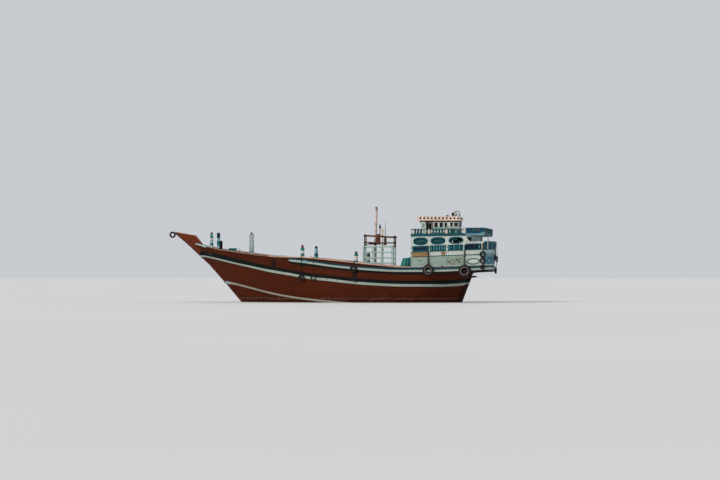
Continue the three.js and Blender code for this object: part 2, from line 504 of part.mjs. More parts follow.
// Propeller and rudder
{
  const c = [-12180, 0, -1270], parts = [bar([c[0] - 170, 0, c[2]], [c[0] + 200, 0, c[2]], 110, 12), bar([c[0] + 190, 0, c[2]], [c[0] + 420, 0, c[2]], 55, 10)];
  for (let i = 0; i < 4; i++) {
    const g = new THREE.BoxGeometry(34, 330, 600);
    g.translate(0, 0, 60 + 300);
    g.rotateZ((28 * Math.PI) / 180);
    g.rotateX((i * Math.PI) / 2 + 0.4);
    g.translate(...c);
    parts.push(toSolid(g));
  }
  add("propeller", "bronze", join(parts));
}
const POST_SLOPE = 2400 / 6050; // sternpost rake, aft for each unit up
const postX = (z) => -12900 - POST_SLOPE * (z + 2100);
{
  const lead = (z) => postX(z) - 60;
  const blade = plate([[lead(-2080), -2080], [lead(-2080) - 1150, -2180], [lead(-1200) - 1000, -1000], [lead(-100) - 420, -100], [lead(2100) - 400, 2100], [lead(2750) - 400, 2750], [-15850, 2760], [-15850, 2900], [lead(2950) - 40, 2950], [lead(2950), 2950]], [-70, 70]);
  add("rudder", "hull", blade);
}

// Tyres hung as fenders
add("stem_tyre", "rubber", ring([18690, 0, 7600], 270, 88, "y", 18, 8));
const TYRES = [["fore", -11030], ["aft", -15000]];
for (const [name, x] of TYRES) for (const [side, k] of [["port", 1], ["starboard", -1]])
  add("tyre_" + name + "_" + side, "rubber", ring([x, k * (POOP_Y + RUB_OUT + 150), 3560], 455, 142, "y", 20, 8));
for (const [side, k] of [["port", 1], ["starboard", -1]]) {
  const y = k * (POOP_Y + 115), parts = [ring([-16950, y, 5220], 265, 88, "y", 16, 8), ring([-16950, y, 4560], 265, 88, "y", 16, 8)];
  parts.push(block([-16975, -16925], [y - 20, y + 20], [4700, 5100]), block([-16975, -16925], [y - 20, y + 20], [5450, 6400]));
  add("quarter_tyres_" + side, "rubber", pickLargest(join(parts)));
}

// ---------------------------------------------------------------- the group
const dhow = new THREE.Group();
dhow.name = "dhow";
for (const [name, colour, s] of nodes) {
  const [hex, roughness] = COLOURS[colour];
  const geometry = toGeometry(s);
  geometry.computeBoundingBox();
  const centre = geometry.boundingBox.getCenter(new THREE.Vector3()).round();
  geometry.translate(-centre.x, -centre.y, -centre.z);
  const mesh = new THREE.Mesh(geometry, new THREE.MeshStandardMaterial({ color: hex, roughness, metalness: colour === "bronze" ? 0.8 : 0 }));
  mesh.name = name;
  mesh.position.copy(centre);
  dhow.add(mesh);
}
export default dhow;
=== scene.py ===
"""Motor cargo dhow, afloat: its looks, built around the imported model.
Metres. +X bow, +Y port, +Z up. Z = 0 is the waterline, and the floor lies there."""
import math, random
import bpy, bmesh
import numpy as np
from mathutils import Matrix, Vector
from mathutils.geometry import tessellate_polygon


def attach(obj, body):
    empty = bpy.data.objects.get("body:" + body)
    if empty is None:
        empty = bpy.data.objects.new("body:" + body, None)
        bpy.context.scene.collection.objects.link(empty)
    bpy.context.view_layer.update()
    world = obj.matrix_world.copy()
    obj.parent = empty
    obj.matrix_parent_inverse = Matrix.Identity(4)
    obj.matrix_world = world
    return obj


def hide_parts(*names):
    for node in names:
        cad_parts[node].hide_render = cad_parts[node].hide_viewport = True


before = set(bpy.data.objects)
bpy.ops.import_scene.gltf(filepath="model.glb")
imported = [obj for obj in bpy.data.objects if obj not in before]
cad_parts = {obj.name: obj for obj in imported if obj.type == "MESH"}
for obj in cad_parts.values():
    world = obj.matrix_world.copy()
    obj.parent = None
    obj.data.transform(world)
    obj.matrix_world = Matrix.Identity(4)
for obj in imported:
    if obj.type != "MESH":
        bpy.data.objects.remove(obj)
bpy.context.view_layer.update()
random.seed(7)

# ---------------------------------------------------------------- camera, light
SCENE = bpy.context.scene
yaw = math.radians(10)
cam_data = bpy.data.cameras.new("camera")
cam_data.lens, cam_data.sensor_width, cam_data.clip_start, cam_data.clip_end = 100, 36, 1, 6000
camera = bpy.data.objects.new("camera", cam_data)
SCENE.collection.objects.link(camera)
camera.location = (-41.32, 218.34, 2.9)
camera.rotation_euler = Vector((math.sin(yaw), -math.cos(yaw), 36 / 2000)).to_track_quat("-Z", "Y").to_euler()
SCENE.camera = camera
SCENE.view_settings.view_transform = "Standard"

world = bpy.data.worlds.new("studio")
SCENE.world = world
world.use_nodes = True
world.node_tree.nodes["Background"].inputs[0].default_value = (0.80, 0.83, 0.88, 1)
world.node_tree.nodes["Background"].inputs[1].default_value = 0.72


def sun(name, towards, strength, colour, spread):
    d = bpy.data.lights.new(name, "SUN")
    d.energy, d.color, d.angle = strength, colour, math.radians(spread)
    o = bpy.data.objects.new(name, d)
    o.rotation_euler = Vector(towards).to_track_quat("-Z", "Y").to_euler()
    SCENE.collection.objects.link(o)


sun("key_light", (-0.62, -0.80, -0.62), 1.9, (1.0, 0.93, 0.84), 14)
sun("fill_light", (0.9, 0.7, -0.8), 0.35, (0.86, 0.92, 1.0), 40)


# ---------------------------------------------------------------- materials
class Nodes:
    """A short way to write node trees: every helper returns an output socket."""

    def __init__(self, name):
        self.material = bpy.data.materials.new(name)
        self.material.use_nodes = True
        self.tree = self.material.node_tree
        self.bsdf = self.tree.nodes["Principled BSDF"]
        self._object = None

    def new(self, kind, **sets):
        n = self.tree.nodes.new(kind)
        for k, v in sets.items():
            setattr(n, k, v)
        return n

    def put(self, socket, value):
        if isinstance(value, bpy.types.NodeSocket):
            self.tree.links.new(value, socket)
        else:
            socket.default_value = value

    def place(self, scale=(1, 1, 1), source="Object"):
        if self._object is None:
            self._object = self.new("ShaderNodeTexCoord")
        m = self.new("ShaderNodeMapping")
        m.inputs["Scale"].default_value = scale
        self.tree.links.new(self._object.outputs[source], m.inputs["Vector"])
        return m.outputs[0]

    def noise(self, vector, scale, detail=4, rough=0.55, distort=0.0):
        n = self.new("ShaderNodeTexNoise")
        self.put(n.inputs["Vector"], vector)
        n.inputs["Scale"].default_value, n.inputs["Detail"].default_value = scale, detail
        n.inputs["Roughness"].default_value, n.inputs["Distortion"].default_value = rough, distort
        return n.outputs["Fac"]

    def cells(self, vector, scale, feature="F1", out="Distance"):
        n = self.new("ShaderNodeTexVoronoi", feature=feature)
        self.put(n.inputs["Vector"], vector)
        n.inputs["Scale"].default_value = scale
        return n.outputs[out]

    def math(self, op, a, b=0.0, c=0.0, clamp=False):
        n = self.new("ShaderNodeMath", operation=op, use_clamp=clamp)
        for i, v in enumerate((a, b, c)):
            if i < len(n.inputs):
                self.put(n.inputs[i], v)
        return n.outputs[0]

    def step(self, value, lo, hi, a=0.0, b=1.0):
        n = self.new("ShaderNodeMapRange", clamp=True, interpolation_type="SMOOTHSTEP")
        self.put(n.inputs["Value"], value)
        for k, v in (("From Min", lo), ("From Max", hi), ("To Min", a), ("To Max", b)):
            n.inputs[k].default_value = v
        return n.outputs[0]

    def mix(self, fac, a, b, how="MIX"):
        n = self.new("ShaderNodeMix", data_type="RGBA", blend_type=how)
        self.put(n.inputs[0], fac)
        for s, v in ((n.inputs[6], a), (n.inputs[7], b)):
            self.put(s, v if isinstance(v, bpy.types.NodeSocket) else (*v, 1) if len(v) == 3 else v)
        return n.outputs[2]

    def split(self, vector):
        n = self.new("ShaderNodeSeparateXYZ")
        self.put(n.inputs[0], vector)
        return n.outputs

    def random(self, value):
        n = self.new("ShaderNodeTexWhiteNoise", noise_dimensions="1D")
        self.put(n.inputs["W"], value)
        return n.outputs["Value"]

    def finish(self, colour, rough, height=None, strength=0.4, distance=0.01, metallic=0.0, gloss=0.28):
        self.bsdf.inputs["Specular IOR Level"].default_value = gloss
        self.put(self.bsdf.inputs["Base Color"], colour)
        self.put(self.bsdf.inputs["Roughness"], rough)
        self.bsdf.inputs["Metallic"].default_value = metallic
        if height is not None:
            b = self.new("ShaderNodeBump")
            b.inputs["Strength"].default_value, b.inputs["Distance"].default_value = strength, distance
            self.put(b.inputs["Height"], height)
            self.tree.links.new(b.outputs[0], self.bsdf.inputs["Normal"])
        return self.material


def lin(rgb):
    return tuple((c / 255 / 12.92) if c <= 10 else ((c / 255 + 0.055) / 1.055) ** 2.4 for c in rgb)


def tint(rgb, k):
    return tuple(min(1.0, c * k) for c in rgb)


GRAIN = {"x": (0.12, 1, 1), "y": (1, 0.12, 1), "z": (1, 1, 0.12), "o": (1, 1, 1)}
BARE = lin((128, 104, 84))
MATS = {}


def paint(name, rgb, axis="x", rough=0.55, wear=0.35, under=BARE, dirt=0.4, boards=None, stain=None, edge=False):
    """Weathered brush paint on wood. rgb 0-255. boards = (axis, pitch): seams every pitch, each board a little its own shade."""
    key = f"{name}_{axis}" + ("_edge" if edge else "")
    if key in MATS:
        return MATS[key]
    n = Nodes(key)
    base = lin(rgb) if max(rgb) > 1 else rgb
    here = n.place()
    grain = n.place(GRAIN[axis])
    broad = n.noise(here, 0.55, 5, 0.6)
    mid = n.noise(here, 3.1, 6, 0.62)
    fibre = n.noise(grain, 34, 6, 0.6)
    fine = n.noise(grain, 120, 3, 0.5)
    colour = n.mix(n.step(broad, 0.3, 0.7), tint(base, 0.86), tint(base, 1.13))
    colour = n.mix(n.math("MULTIPLY", n.step(mid, 0.35, 0.75), 0.5), colour, tint(base, 0.72))
    colour = n.mix(n.math("MULTIPLY", n.step(fibre, 0.45, 0.7), 0.25), colour, tint(base, 1.3))
    height = n.math("ADD", n.math("MULTIPLY", fibre, 0.6), n.math("MULTIPLY", fine, 0.25))
    if boards:
        seam_axis, pitch = boards
        along = n.split(here)["XYZ".index(seam_axis.upper())]
        at = n.math("DIVIDE", along, pitch)
        frac = n.math("FRACT", n.math("ADD", at, 100.5))
        gap = n.math("ABSOLUTE", n.math("SUBTRACT", frac, 0.5))
        line = n.step(gap, 0.5 - 0.006 / pitch, 0.5 - 0.001 / pitch)
        shade = n.random(n.math("FLOOR", n.math("ADD", at, 100.5)))
        colour = n.mix(n.math("MULTIPLY", n.math("SUBTRACT", shade, 0.2), 0.35, clamp=True), colour, tint(base, 0.7))
        colour = n.mix(n.math("MULTIPLY", line, 0.8), colour, tint(base, 0.25))
        height = n.math("SUBTRACT", height, n.math("MULTIPLY", line, 1.6))
    # dirt that runs down
    runs = n.noise(n.place((2.2, 2.2, 0.16)), 3.0, 6, 0.65)
    colour = n.mix(n.math("MULTIPLY", n.step(runs, 0.5, 0.78), dirt), colour, tint(lin((96, 86, 72)), 0.8 if sum(base) > 0.5 else 0.35))
    if stain:
        spots = n.noise(n.place((0.7, 0.7, 0.5)), 1.3, 5, 0.6)
        colour = n.mix(n.math("MULTIPLY", n.step(spots, 0.58, 0.72), stain[1]), colour, lin(stain[0]))
    # chips down to bare wood
    chip = n.noise(n.place(tuple(0.35 + 0.65 * g for g in GRAIN[axis])), 7.5 if not edge else 9, 10, 0.68)
    lo = 0.70 - 0.12 * wear if not edge else 0.50 - 0.10 * wear
    chips = n.step(chip, lo, lo + 0.035)
    wood = n.mix(n.step(fibre, 0.35, 0.65), tint(under, 0.6), tint(under, 1.2))
    colour = n.mix(n.math("MULTIPLY", chips, 0.9), colour, wood)
    height = n.math("SUBTRACT", height, n.math("MULTIPLY", chips, 0.5))
    roughness = n.math("ADD", n.math("MULTIPLY", mid, 0.22), n.math("ADD", rough - 0.11, n.math("MULTIPLY", chips, 0.25)), clamp=True)
    MATS[key] = n.finish(colour, roughness, height, 0.35, 0.006, gloss=0.07 + 0.2 * min(1.0, sum(base) / 0.8))
    if not edge:
        MATS[key]["edge"] = paint(name, rgb, axis, rough, wear, under, dirt, None, stain, True).name
    return MATS[key]


def timber(name, rgb, axis="x", rough=0.8, grey=0.4, boards=None, edge=False):
    """Bare, weathered timber."""
    key = f"{name}_{axis}"
    if key in MATS:
        return MATS[key]
    n = Nodes(key)
    base = lin(rgb)
    here, grain = n.place(), n.place(GRAIN[axis])
    rings = n.noise(n.place(tuple(g * (0.5 if g < 1 else 1) for g in GRAIN[axis])), 16, 8, 0.65, 0.6)
    fibre = n.noise(grain, 90, 5, 0.6)
    broad = n.noise(here, 1.1, 5, 0.6)
    colour = n.mix(n.step(rings, 0.35, 0.68), tint(base, 0.62), tint(base, 1.25))
    colour = n.mix(n.math("MULTIPLY", n.step(broad, 0.4, 0.7), grey), colour, tuple(0.25 * (sum(base)) + 0.04 for _ in range(3)))
    colour = n.mix(n.math("MULTIPLY", n.step(fibre, 0.5, 0.75), 0.5), colour, tint(base, 0.45))
    height = n.math("ADD", n.math("MULTIPLY", rings, 0.5), n.math("MULTIPLY", fibre, 0.5))
    if boards:
        seam_axis, pitch = boards
        at = n.math("DIVIDE", n.split(here)["XYZ".index(seam_axis.upper())], pitch)
        shifted = n.math("ADD", at, 100.5)
        gap = n.math("ABSOLUTE", n.math("SUBTRACT", n.math("FRACT", shifted), 0.5))
        line = n.step(gap, 0.5 - 0.007 / pitch, 0.5 - 0.001 / pitch)
        shade = n.random(n.math("FLOOR", shifted))
        colour = n.mix(n.math("MULTIPLY", shade, 0.4), colour, tint(base, 0.55))
        colour = n.mix(line, colour, tint(base, 0.12))
        height = n.math("SUBTRACT", height, n.math("MULTIPLY", line, 1.5))
    MATS[key] = n.finish(colour, n.math("ADD", rough - 0.08, n.math("MULTIPLY", broad, 0.16)), height, 0.5, 0.006)
    return MATS[key]


def iron(name="iron", rgb=(34, 35, 38), rust=0.5, metallic=0.5):
    if name in MATS:
        return MATS[name]
    n = Nodes(name)
    base = lin(rgb)
    here = n.place()
    a, b = n.noise(here, 5, 8, 0.7), n.noise(here, 26, 5, 0.6)
    colour = n.mix(n.step(b, 0.4, 0.7), tint(base, 0.75), tint(base, 1.35))
    spots = n.math("MULTIPLY", n.step(a, 0.66 - 0.16 * rust, 0.72 - 0.1 * rust), 0.85)
    colour = n.mix(spots, colour, n.mix(b, lin((92, 46, 26)), lin((140, 78, 42))))
    MATS[name] = n.finish(colour, n.math("ADD", 0.45, n.math("MULTIPLY", spots, 0.4)), n.math("ADD", b, n.math("MULTIPLY", spots, 0.8)), 0.3, 0.004, metallic)
    return MATS[name]


def rubber(name, rgb, pale=0.25):
    if name in MATS:
        return MATS[name]
    n = Nodes(name)
    base = lin(rgb)
    here = n.place()
    a, b = n.noise(here, 7, 7, 0.65), n.noise(here, 60, 3, 0.5)
    colour = n.mix(n.step(a, 0.4, 0.72), base, tint(base, 1.9))
    colour = n.mix(n.math("MULTIPLY", n.step(a, 0.56, 0.66), pale), colour, lin((120, 108, 92)))
    MATS[name] = n.finish(colour, n.step(a, 0.2, 0.8, 0.62, 0.9), n.math("ADD", a, n.math("MULTIPLY", b, 0.4)), 0.35, 0.004)
    return MATS[name]


def rope_mat(name="rope", rgb=(70, 62, 50)):
    if name in MATS:
        return MATS[name]
    n = Nodes(name)
    base = lin(rgb)
    a, b = n.noise(n.place(), 9, 5, 0.6), n.noise(n.place(), 150, 2, 0.5)
    colour = n.mix(n.step(a, 0.35, 0.7), tint(base, 0.7), tint(base, 1.3))
    MATS[name] = n.finish(colour, 0.9, b, 0.5, 0.003)
    return MATS[name]


def glass(name="window_glass"):
    if name in MATS:
        return MATS[name]
    n = Nodes(name)
    a = n.noise(n.place(), 2.2, 5, 0.6)
    colour = n.mix(n.step(a, 0.35, 0.7), lin((10, 22, 24)), lin((26, 50, 52)))
    n.bsdf.inputs["Coat Weight"].default_value = 0.35
    n.bsdf.inputs["Coat Roughness"].default_value = 0.08
    MATS[name] = n.finish(colour, n.step(n.noise(n.place(), 9, 4, 0.6), 0.3, 0.8, 0.08, 0.3), a, 0.05, 0.01)
    return MATS[name]


# ---------------------------------------------------------------- meshes
class Piece:
    """Gathers shapes into one object that rides on a body and may stand for CAD nodes."""

    def __init__(self, name, slot, body="ship", replaces=(), raised=False, place=None):
        self.name, self.slot, self.body, self.replaces, self.raised, self.place = name, slot, body, replaces, raised, place
        self.v, self.f, self.m, self.s, self.mats, self.uv, self.count = [], [], [], [], [], [], 0

    def index(self, material):
        if material.name not in self.mats:
            self.mats.append(material.name)
        return self.mats.index(material.name)

    def add(self, shape, material, smooth=False, move=None):
        verts, faces = shape[0], shape[1]
        verts = np.asarray(verts, float)
        if move is not None:
            verts = verts @ np.asarray(move)[:3, :3].T + np.asarray(move)[:3, 3]
        i = self.index(material)
        worn = self.index(bpy.data.materials[material["edge"]]) if len(shape) > 2 and "edge" in material.keys() else i
        for k, face in enumerate(faces):
            self.f.append([a + self.count for a in face])
            self.m.append(worn if len(shape) > 2 and shape[2][k] else i)
            self.s.append(smooth)
        self.v.append(verts)
        self.uv += shape[3] if len(shape) > 3 else [None] * len(faces)
        self.count += len(verts)
        return self

    def mirror(self, start):
        """Adds the port shapes gathered since start again, on the starboard side."""
        v0, f0 = start
        verts = np.vstack(self.v)[v0:].copy()
        verts[:, 1] *= -1
        base = self.count
        for k in range(f0, len(self.f)):
            self.f.append([a - v0 + base for a in reversed(self.f[k])])
            self.m.append(self.m[k])
            self.s.append(self.s[k])
            self.uv.append(None if self.uv[k] is None else list(reversed(self.uv[k])))
        self.v.append(verts)
        self.count += len(verts)
        return self

    def mark(self):
        return (self.count, len(self.f))

    def done(self):
        verts = np.vstack(self.v)
        if self.raised:
            verts = raked(risen(verts))
        mesh = bpy.data.meshes.new(self.name)
        mesh.from_pydata(verts.tolist(), [], self.f)
        for m in self.mats:
            mesh.materials.append(bpy.data.materials[m])
        mesh.polygons.foreach_set("material_index", self.m)
        mesh.polygons.foreach_set("use_smooth", self.s)
        if any(u is not None for u in self.uv):
            layer = mesh.uv_layers.new(name="strakes")
            flat = []
            for face, u in zip(self.f, self.uv):
                flat += [c for p in (u if u is not None else [(0, 0)] * len(face)) for c in p]
            layer.data.foreach_set("uv", flat)
        mesh.update()
        mesh.validate()
        o = bpy.data.objects.new(self.name, mesh)
        SCENE.collection.objects.link(o)
        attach(o, self.body)
        if self.replaces:
            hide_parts(*self.replaces)
        return o


_corner = [(sx, sy, sz) for sx in (-1, 1) for sy in (-1, 1) for sz in (-1, 1)]
_box_faces, _box_edge = [], []


def _box_topology():
    at = {c: i for i, c in enumerate(_corner)}
    centre = np.array(_corner, float)

    def emit(ids, edge):
        p = np.array([centre[i // 3] * np.where(np.arange(3) == i % 3, 1.0, 0.8) for i in ids])
        normal = np.cross(p[1] - p[0], p[2] - p[0])
        if np.dot(normal, p.mean(0)) < 0:
            ids = ids[::-1]
        _box_faces.append(ids)
        _box_edge.append(edge)

    for axis in range(3):
        b, c = [k for k in range(3) if k != axis]
        for s in (-1, 1):
            ids = []
            for sb, sc in ((-1, -1), (1, -1), (1, 1), (-1, 1)):
                k = [0, 0, 0]
                k[axis], k[b], k[c] = s, sb, sc
                ids.append(at[tuple(k)] * 3 + axis)
            emit(ids, False)
        for sb in (-1, 1):
            for sc in (-1, 1):
                lo, hi = [0, 0, 0], [0, 0, 0]
                lo[axis], hi[axis] = -1, 1
                lo[b] = hi[b] = sb
                lo[c] = hi[c] = sc
                a, d = at[tuple(lo)], at[tuple(hi)]
                emit([a * 3 + b, d * 3 + b, d * 3 + c, a * 3 + c], True)
    for c, i in at.items():
        emit([i * 3, i * 3 + 1, i * 3 + 2], True)


_box_topology()


def box(x, y, z, c=0.008):
    """A box with chamfered edges, from three [low, high] pairs."""
    lo, hi = np.array([x[0], y[0], z[0]], float), np.array([x[1], y[1], z[1]], float)
    c = min(c, *(0.3 * (hi - lo)))
    verts = []
    for s in _corner:
        s = np.array(s)
        p = np.where(s > 0, hi, lo)
        for axis in range(3):
            verts.append(p - s * c * (np.arange(3) != axis))
    return np.array(verts), _box_faces, _box_edge


def frame_of(along, up=(0, 0, 1)):
    t = np.array(along, float)
    t /= np.linalg.norm(t)
    u = np.array(up, float)
    if abs(np.dot(t, u)) > 0.98:
        u = np.array([1.0, 0, 0])
    side = np.cross(u, t)
    side /= np.linalg.norm(side)
    return t, side, np.cross(t, side)


def beam(p, q, w, h, up=(0, 0, 1), c=0.008, twist=0.0):
    """A squared timber from p to q; w across, h along up."""
    p, q = np.array(p, float), np.array(q, float)
    t, side, u = frame_of(q - p, up)
    if twist:
        side, u = math.cos(twist) * side + math.sin(twist) * u, math.cos(twist) * u - math.sin(twist) * side
    v, f, e = box([0, np.linalg.norm(q - p)], [-w / 2, w / 2], [-h / 2, h / 2], c)
    return p + v[:, :1] * t + v[:, 1:2] * side + v[:, 2:] * u, f, e


def grid(P, wrap=False, flip=False, caps=False):
    """Faces over an n by m array of points; wrap closes the second direction."""
    P = np.asarray(P, float)
    n, m = P.shape[:2]
    faces = []
    for i in range(n - 1):
        for j in range(m if wrap else m - 1):
            k = (j + 1) % m
            q = [i * m + j, i * m + k, (i + 1) * m + k, (i + 1) * m + j]
            faces.append(q[::-1] if flip else q)
    if caps:
        a, b = list(range(m)), [(n - 1) * m + j for j in range(m)]
        faces.append(a if flip else a[::-1])
        faces.append(b[::-1] if flip else b)
    return P.reshape(-1, 3), faces


def sweep(path, profile, up=(0, 0, 1), closed=False):
    """A profile of (side, up) pairs, anticlockwise seen against the path, drawn along a path that keeps its up."""
    path = np.asarray(path, float)
    n = len(path)
    rings = []
    for i in range(n):
        a = path[(i - 1) % n] if closed or i else path[0]
        b = path[(i + 1) % n] if closed or i < n - 1 else path[-1]
        u = np.array(up[i] if np.ndim(up) > 1 else up, float)
        t = b - a
        t /= np.linalg.norm(t)
        side = np.cross(u, t)
        side /= np.linalg.norm(side)
        v = u if abs(np.dot(u, t)) < 0.6 else np.cross(t, side)
        rings.append([path[i] + s * side + h * v for s, h in profile])
    if closed:
        rings.append(rings[0])
    return grid(rings, wrap=True, caps=not closed)


def tube(path, r, n=8, caps=True, lobes=0, lay=0.0):
    """A round bar along a path. With lobes it's laid like rope, turning once each lay metres."""
    path = np.asarray(path, float)
    r = np.broadcast_to(r, (len(path),))
    t0 = path[1] - path[0]
    t0 = t0 / np.linalg.norm(t0)
    side = np.cross(t0, (0, 0, 1) if abs(t0[2]) < 0.9 else (1, 0, 0))
    side /= np.linalg.norm(side)
    rings, run = [], 0.0
    for i, p in enumerate(path):
        a, b = path[max(i - 1, 0)], path[min(i + 1, len(path) - 1)]
        t = (b - a) / max(np.linalg.norm(b - a), 1e-9)
        side = side - np.dot(side, t) * t
        side /= np.linalg.norm(side)
        other = np.cross(t, side)
        if i:
            run += np.linalg.norm(p - path[i - 1])
        turn = 2 * math.pi * run / lay if lay else 0
        ang = np.arange(n) * 2 * math.pi / n
        rr = r[i] * (1 + (0.16 * np.cos(lobes * (ang - turn)) if lobes else 0))
        rings.append(p + (rr * np.cos(ang))[:, None] * side + (rr * np.sin(ang))[:, None] * other)
    return grid(rings, wrap=True, caps=caps)


def smooth_path(points, step=0.12):
    """A Catmull-Rom curve through a few points, in even steps."""
    p = np.asarray(points, float)
    p = np.vstack([2 * p[0] - p[1], p, 2 * p[-1] - p[-2]])
    out = []
    for i in range(1, len(p) - 2):
        k = max(2, int(np.linalg.norm(p[i + 1] - p[i]) / step))
        for t in np.arange(k) / k:
            out.append(0.5 * ((2 * p[i]) + (p[i + 1] - p[i - 1]) * t + (2 * p[i - 1] - 5 * p[i] + 4 * p[i + 1] - p[i + 2]) * t * t + (3 * p[i] - p[i - 1] - 3 * p[i + 1] + p[i + 2]) * t ** 3))
    out.append(p[-2])
    return np.array(out)


def rope(points, r=0.025, step=0.06):
    return tube(smooth_path(points, step), r, 9, lobes=3, lay=r * 9)


def lathe(profile, centre=(0, 0, 0), n=16, axis="z", squash=1.0):
    """profile = (radius, height) pairs, bottom to top; it closes on the axis at both ends."""
    ang = np.arange(n) * 2 * math.pi / n
    rings = []
    for r, h in profile:
        ring = np.stack([r * np.cos(ang), r * np.sin(ang) * squash, np.full(n, h)], 1)
        rings.append(ring)
    P = np.array(rings)
    if axis == "x":
        P = P[..., [2, 0, 1]]
    if axis == "y":
        P = P[..., [1, 2, 0]]
    v, f = grid(P, wrap=True, caps=True)
    return v + np.array(centre), f


def extrude(outline, lo, hi, plane="xz", c=0.0):
    """A flat outline drawn through lo to hi across its plane, with its edges chamfered by c."""
    bm = bmesh.new()
    axes = {"xz": (0, 2, 1), "xy": (0, 1, 2), "yz": (1, 2, 0)}[plane]

    def at(p, h):
        q = [0, 0, 0]
        q[axes[0]], q[axes[1]], q[axes[2]] = p[0], p[1], h
        return q

    a = [bm.verts.new(at(p, lo)) for p in outline]
    b = [bm.verts.new(at(p, hi)) for p in outline]
    bm.faces.new(a)
    bm.faces.new(b)
    for i in range(len(outline)):
        j = (i + 1) % len(outline)
        bm.faces.new([a[i], a[j], b[j], b[i]])
    bmesh.ops.recalc_face_normals(bm, faces=bm.faces)
    if c:
        rim = [e for e in bm.edges if e.calc_face_angle(0) > 0.5]
        bmesh.ops.bevel(bm, geom=rim, offset=c, segments=1, affect="EDGES")
    bmesh.ops.triangulate(bm, faces=[f for f in bm.faces if len(f.verts) > 4])
    bm.verts.index_update()
    v = np.array([p.co[:] for p in bm.verts])
    f = [[p.index for p in face.verts] for face in bm.faces]
    bm.free()
    return v, f


def torus(centre, R, r, axis="y", n=32, m=8):
    a = np.arange(n + 1) * 2 * math.pi / n
    b = np.arange(m) * 2 * math.pi / m
    A, B = np.meshgrid(a, b, indexing="ij")
    P = np.stack([(R + r * np.cos(B)) * np.cos(A), (R + r * np.cos(B)) * np.sin(A), r * np.sin(B)], -1)
    P = {"z": P, "y": P[..., [1, 2, 0]], "x": P[..., [2, 0, 1]]}[axis]
    v, f = grid(P, wrap=True)
    return v + np.array(centre), f


# ---------------------------------------------------------------- the hull's surface
GAP_X = -9.1  # front of the poop
SECTIONS = np.array([
    # foot x, foot z, head x, head z, half breadth, fullness, deck height
    [-12.9, -2.1, -15.3, 3.95, 0.15, 1.0, 3.395], [-12.5, -2.1, -15.05, 3.94, 1.5, 0.95, 3.395], [-11.9, -2.1, -14.5, 3.93, 2.6, 1.0, 3.395],
    [-10.9, -2.12, -13.3, 3.92, 3.45, 1.15, 3.395], [-9.4, -2.14, -11.2, 3.91, 3.9, 1.6, 3.39], [-7.4, -2.18, -8.3, 3.93, 4.1, 2.1, 3.28],
    [-4.6, -2.2, -5.0, 4.2, 4.27, 2.5, 3.32], [-1.0, -2.2, -1.0, 4.63, 4.35, 2.6, 3.7], [2.0, -2.2, 2.6, 4.97, 4.25, 2.3, 4.02],
    [4.2, -2.2, 5.9, 5.08, 4.0, 1.9, 4.2], [6.0, -2.2, 8.9, 5.38, 3.45, 1.5, 4.45], [7.2, -2.2, 11.6, 5.75, 2.65, 1.25, 4.85],
    [8.0, -2.2, 13.9, 6.08, 1.65, 1.1, 5.2], [8.4, -2.2, 15.2, 6.4, 0.8, 1.05, 5.6], [8.6, -2.2, 15.95, 6.6, 0.17, 1.0, 5.9]])
KEEL_HALF = 0.13


def smooth_table(xs, ys):
    """A monotone cubic through a table."""
    xs, ys = np.asarray(xs, float), np.asarray(ys, float)
    flat = ys.ndim == 1
    if flat:
        ys = ys[:, None]
    h = np.diff(xs)[:, None]
    s = np.diff(ys, axis=0) / h
    d = np.zeros_like(ys)
    d[0], d[-1] = s[0], s[-1]
    a, b = s[:-1], s[1:]
    mid = (a * h[1:] + b * h[:-1]) / (h[1:] + h[:-1])
    lim = 2.6 * np.minimum(np.abs(a), np.abs(b))
    d[1:-1] = np.where(a * b > 0, np.sign(mid) * np.minimum(np.abs(mid), lim), 0)

    def at(x):
        x = np.clip(np.asarray(x, float), xs[0], xs[-1])
        i = np.clip(np.searchsorted(xs, x, side="right") - 1, 0, len(xs) - 2)
        t = ((x - xs[i]) / (xs[i + 1] - xs[i]))[..., None]
        hh = (xs[i + 1] - xs[i])[..., None]
        out = (2 * t**3 - 3 * t**2 + 1) * ys[i] + (t**3 - 2 * t**2 + t) * hh * d[i] + (-2 * t**3 + 3 * t**2) * ys[i + 1] + (t**3 - t**2) * hh * d[i + 1]
        return out[..., 0] if flat else out

    return at


station = smooth_table(np.arange(15), SECTIONS)


def hull_point(u, v):
    s = station(u)
    fx, fz, hx, hz, half, full = (s[..., k] for k in range(6))
    w = np.clip(v, 0, 1)
    y = KEEL_HALF + (half - KEEL_HALF) * (1 - (1 - w) ** full) ** (1 / full)
    return np.stack([fx + (hx - fx) * v, y, fz + (hz - fz) * v], -1)


def find(x, z):
    """Station and share of height where the side has this x and z."""
    x, z = np.broadcast_arrays(np.asarray(x, float), np.asarray(z, float))
    lo, hi = np.zeros(x.shape), np.full(x.shape, 14.0)
    for _ in range(34):
        u = (lo + hi) / 2
        s = station(u)
        v = (z - s[..., 1]) / (s[..., 3] - s[..., 1])
        far = s[..., 0] + (s[..., 2] - s[..., 0]) * v > x
        hi, lo = np.where(far, u, hi), np.where(far, lo, u)
    return u, v


_gx, _gz = np.arange(-17.0, 17.01, 0.05), np.arange(-2.6, 8.01, 0.05)
SIDE_Y = hull_point(*find(_gx[:, None], _gz[None, :]))[..., 1]


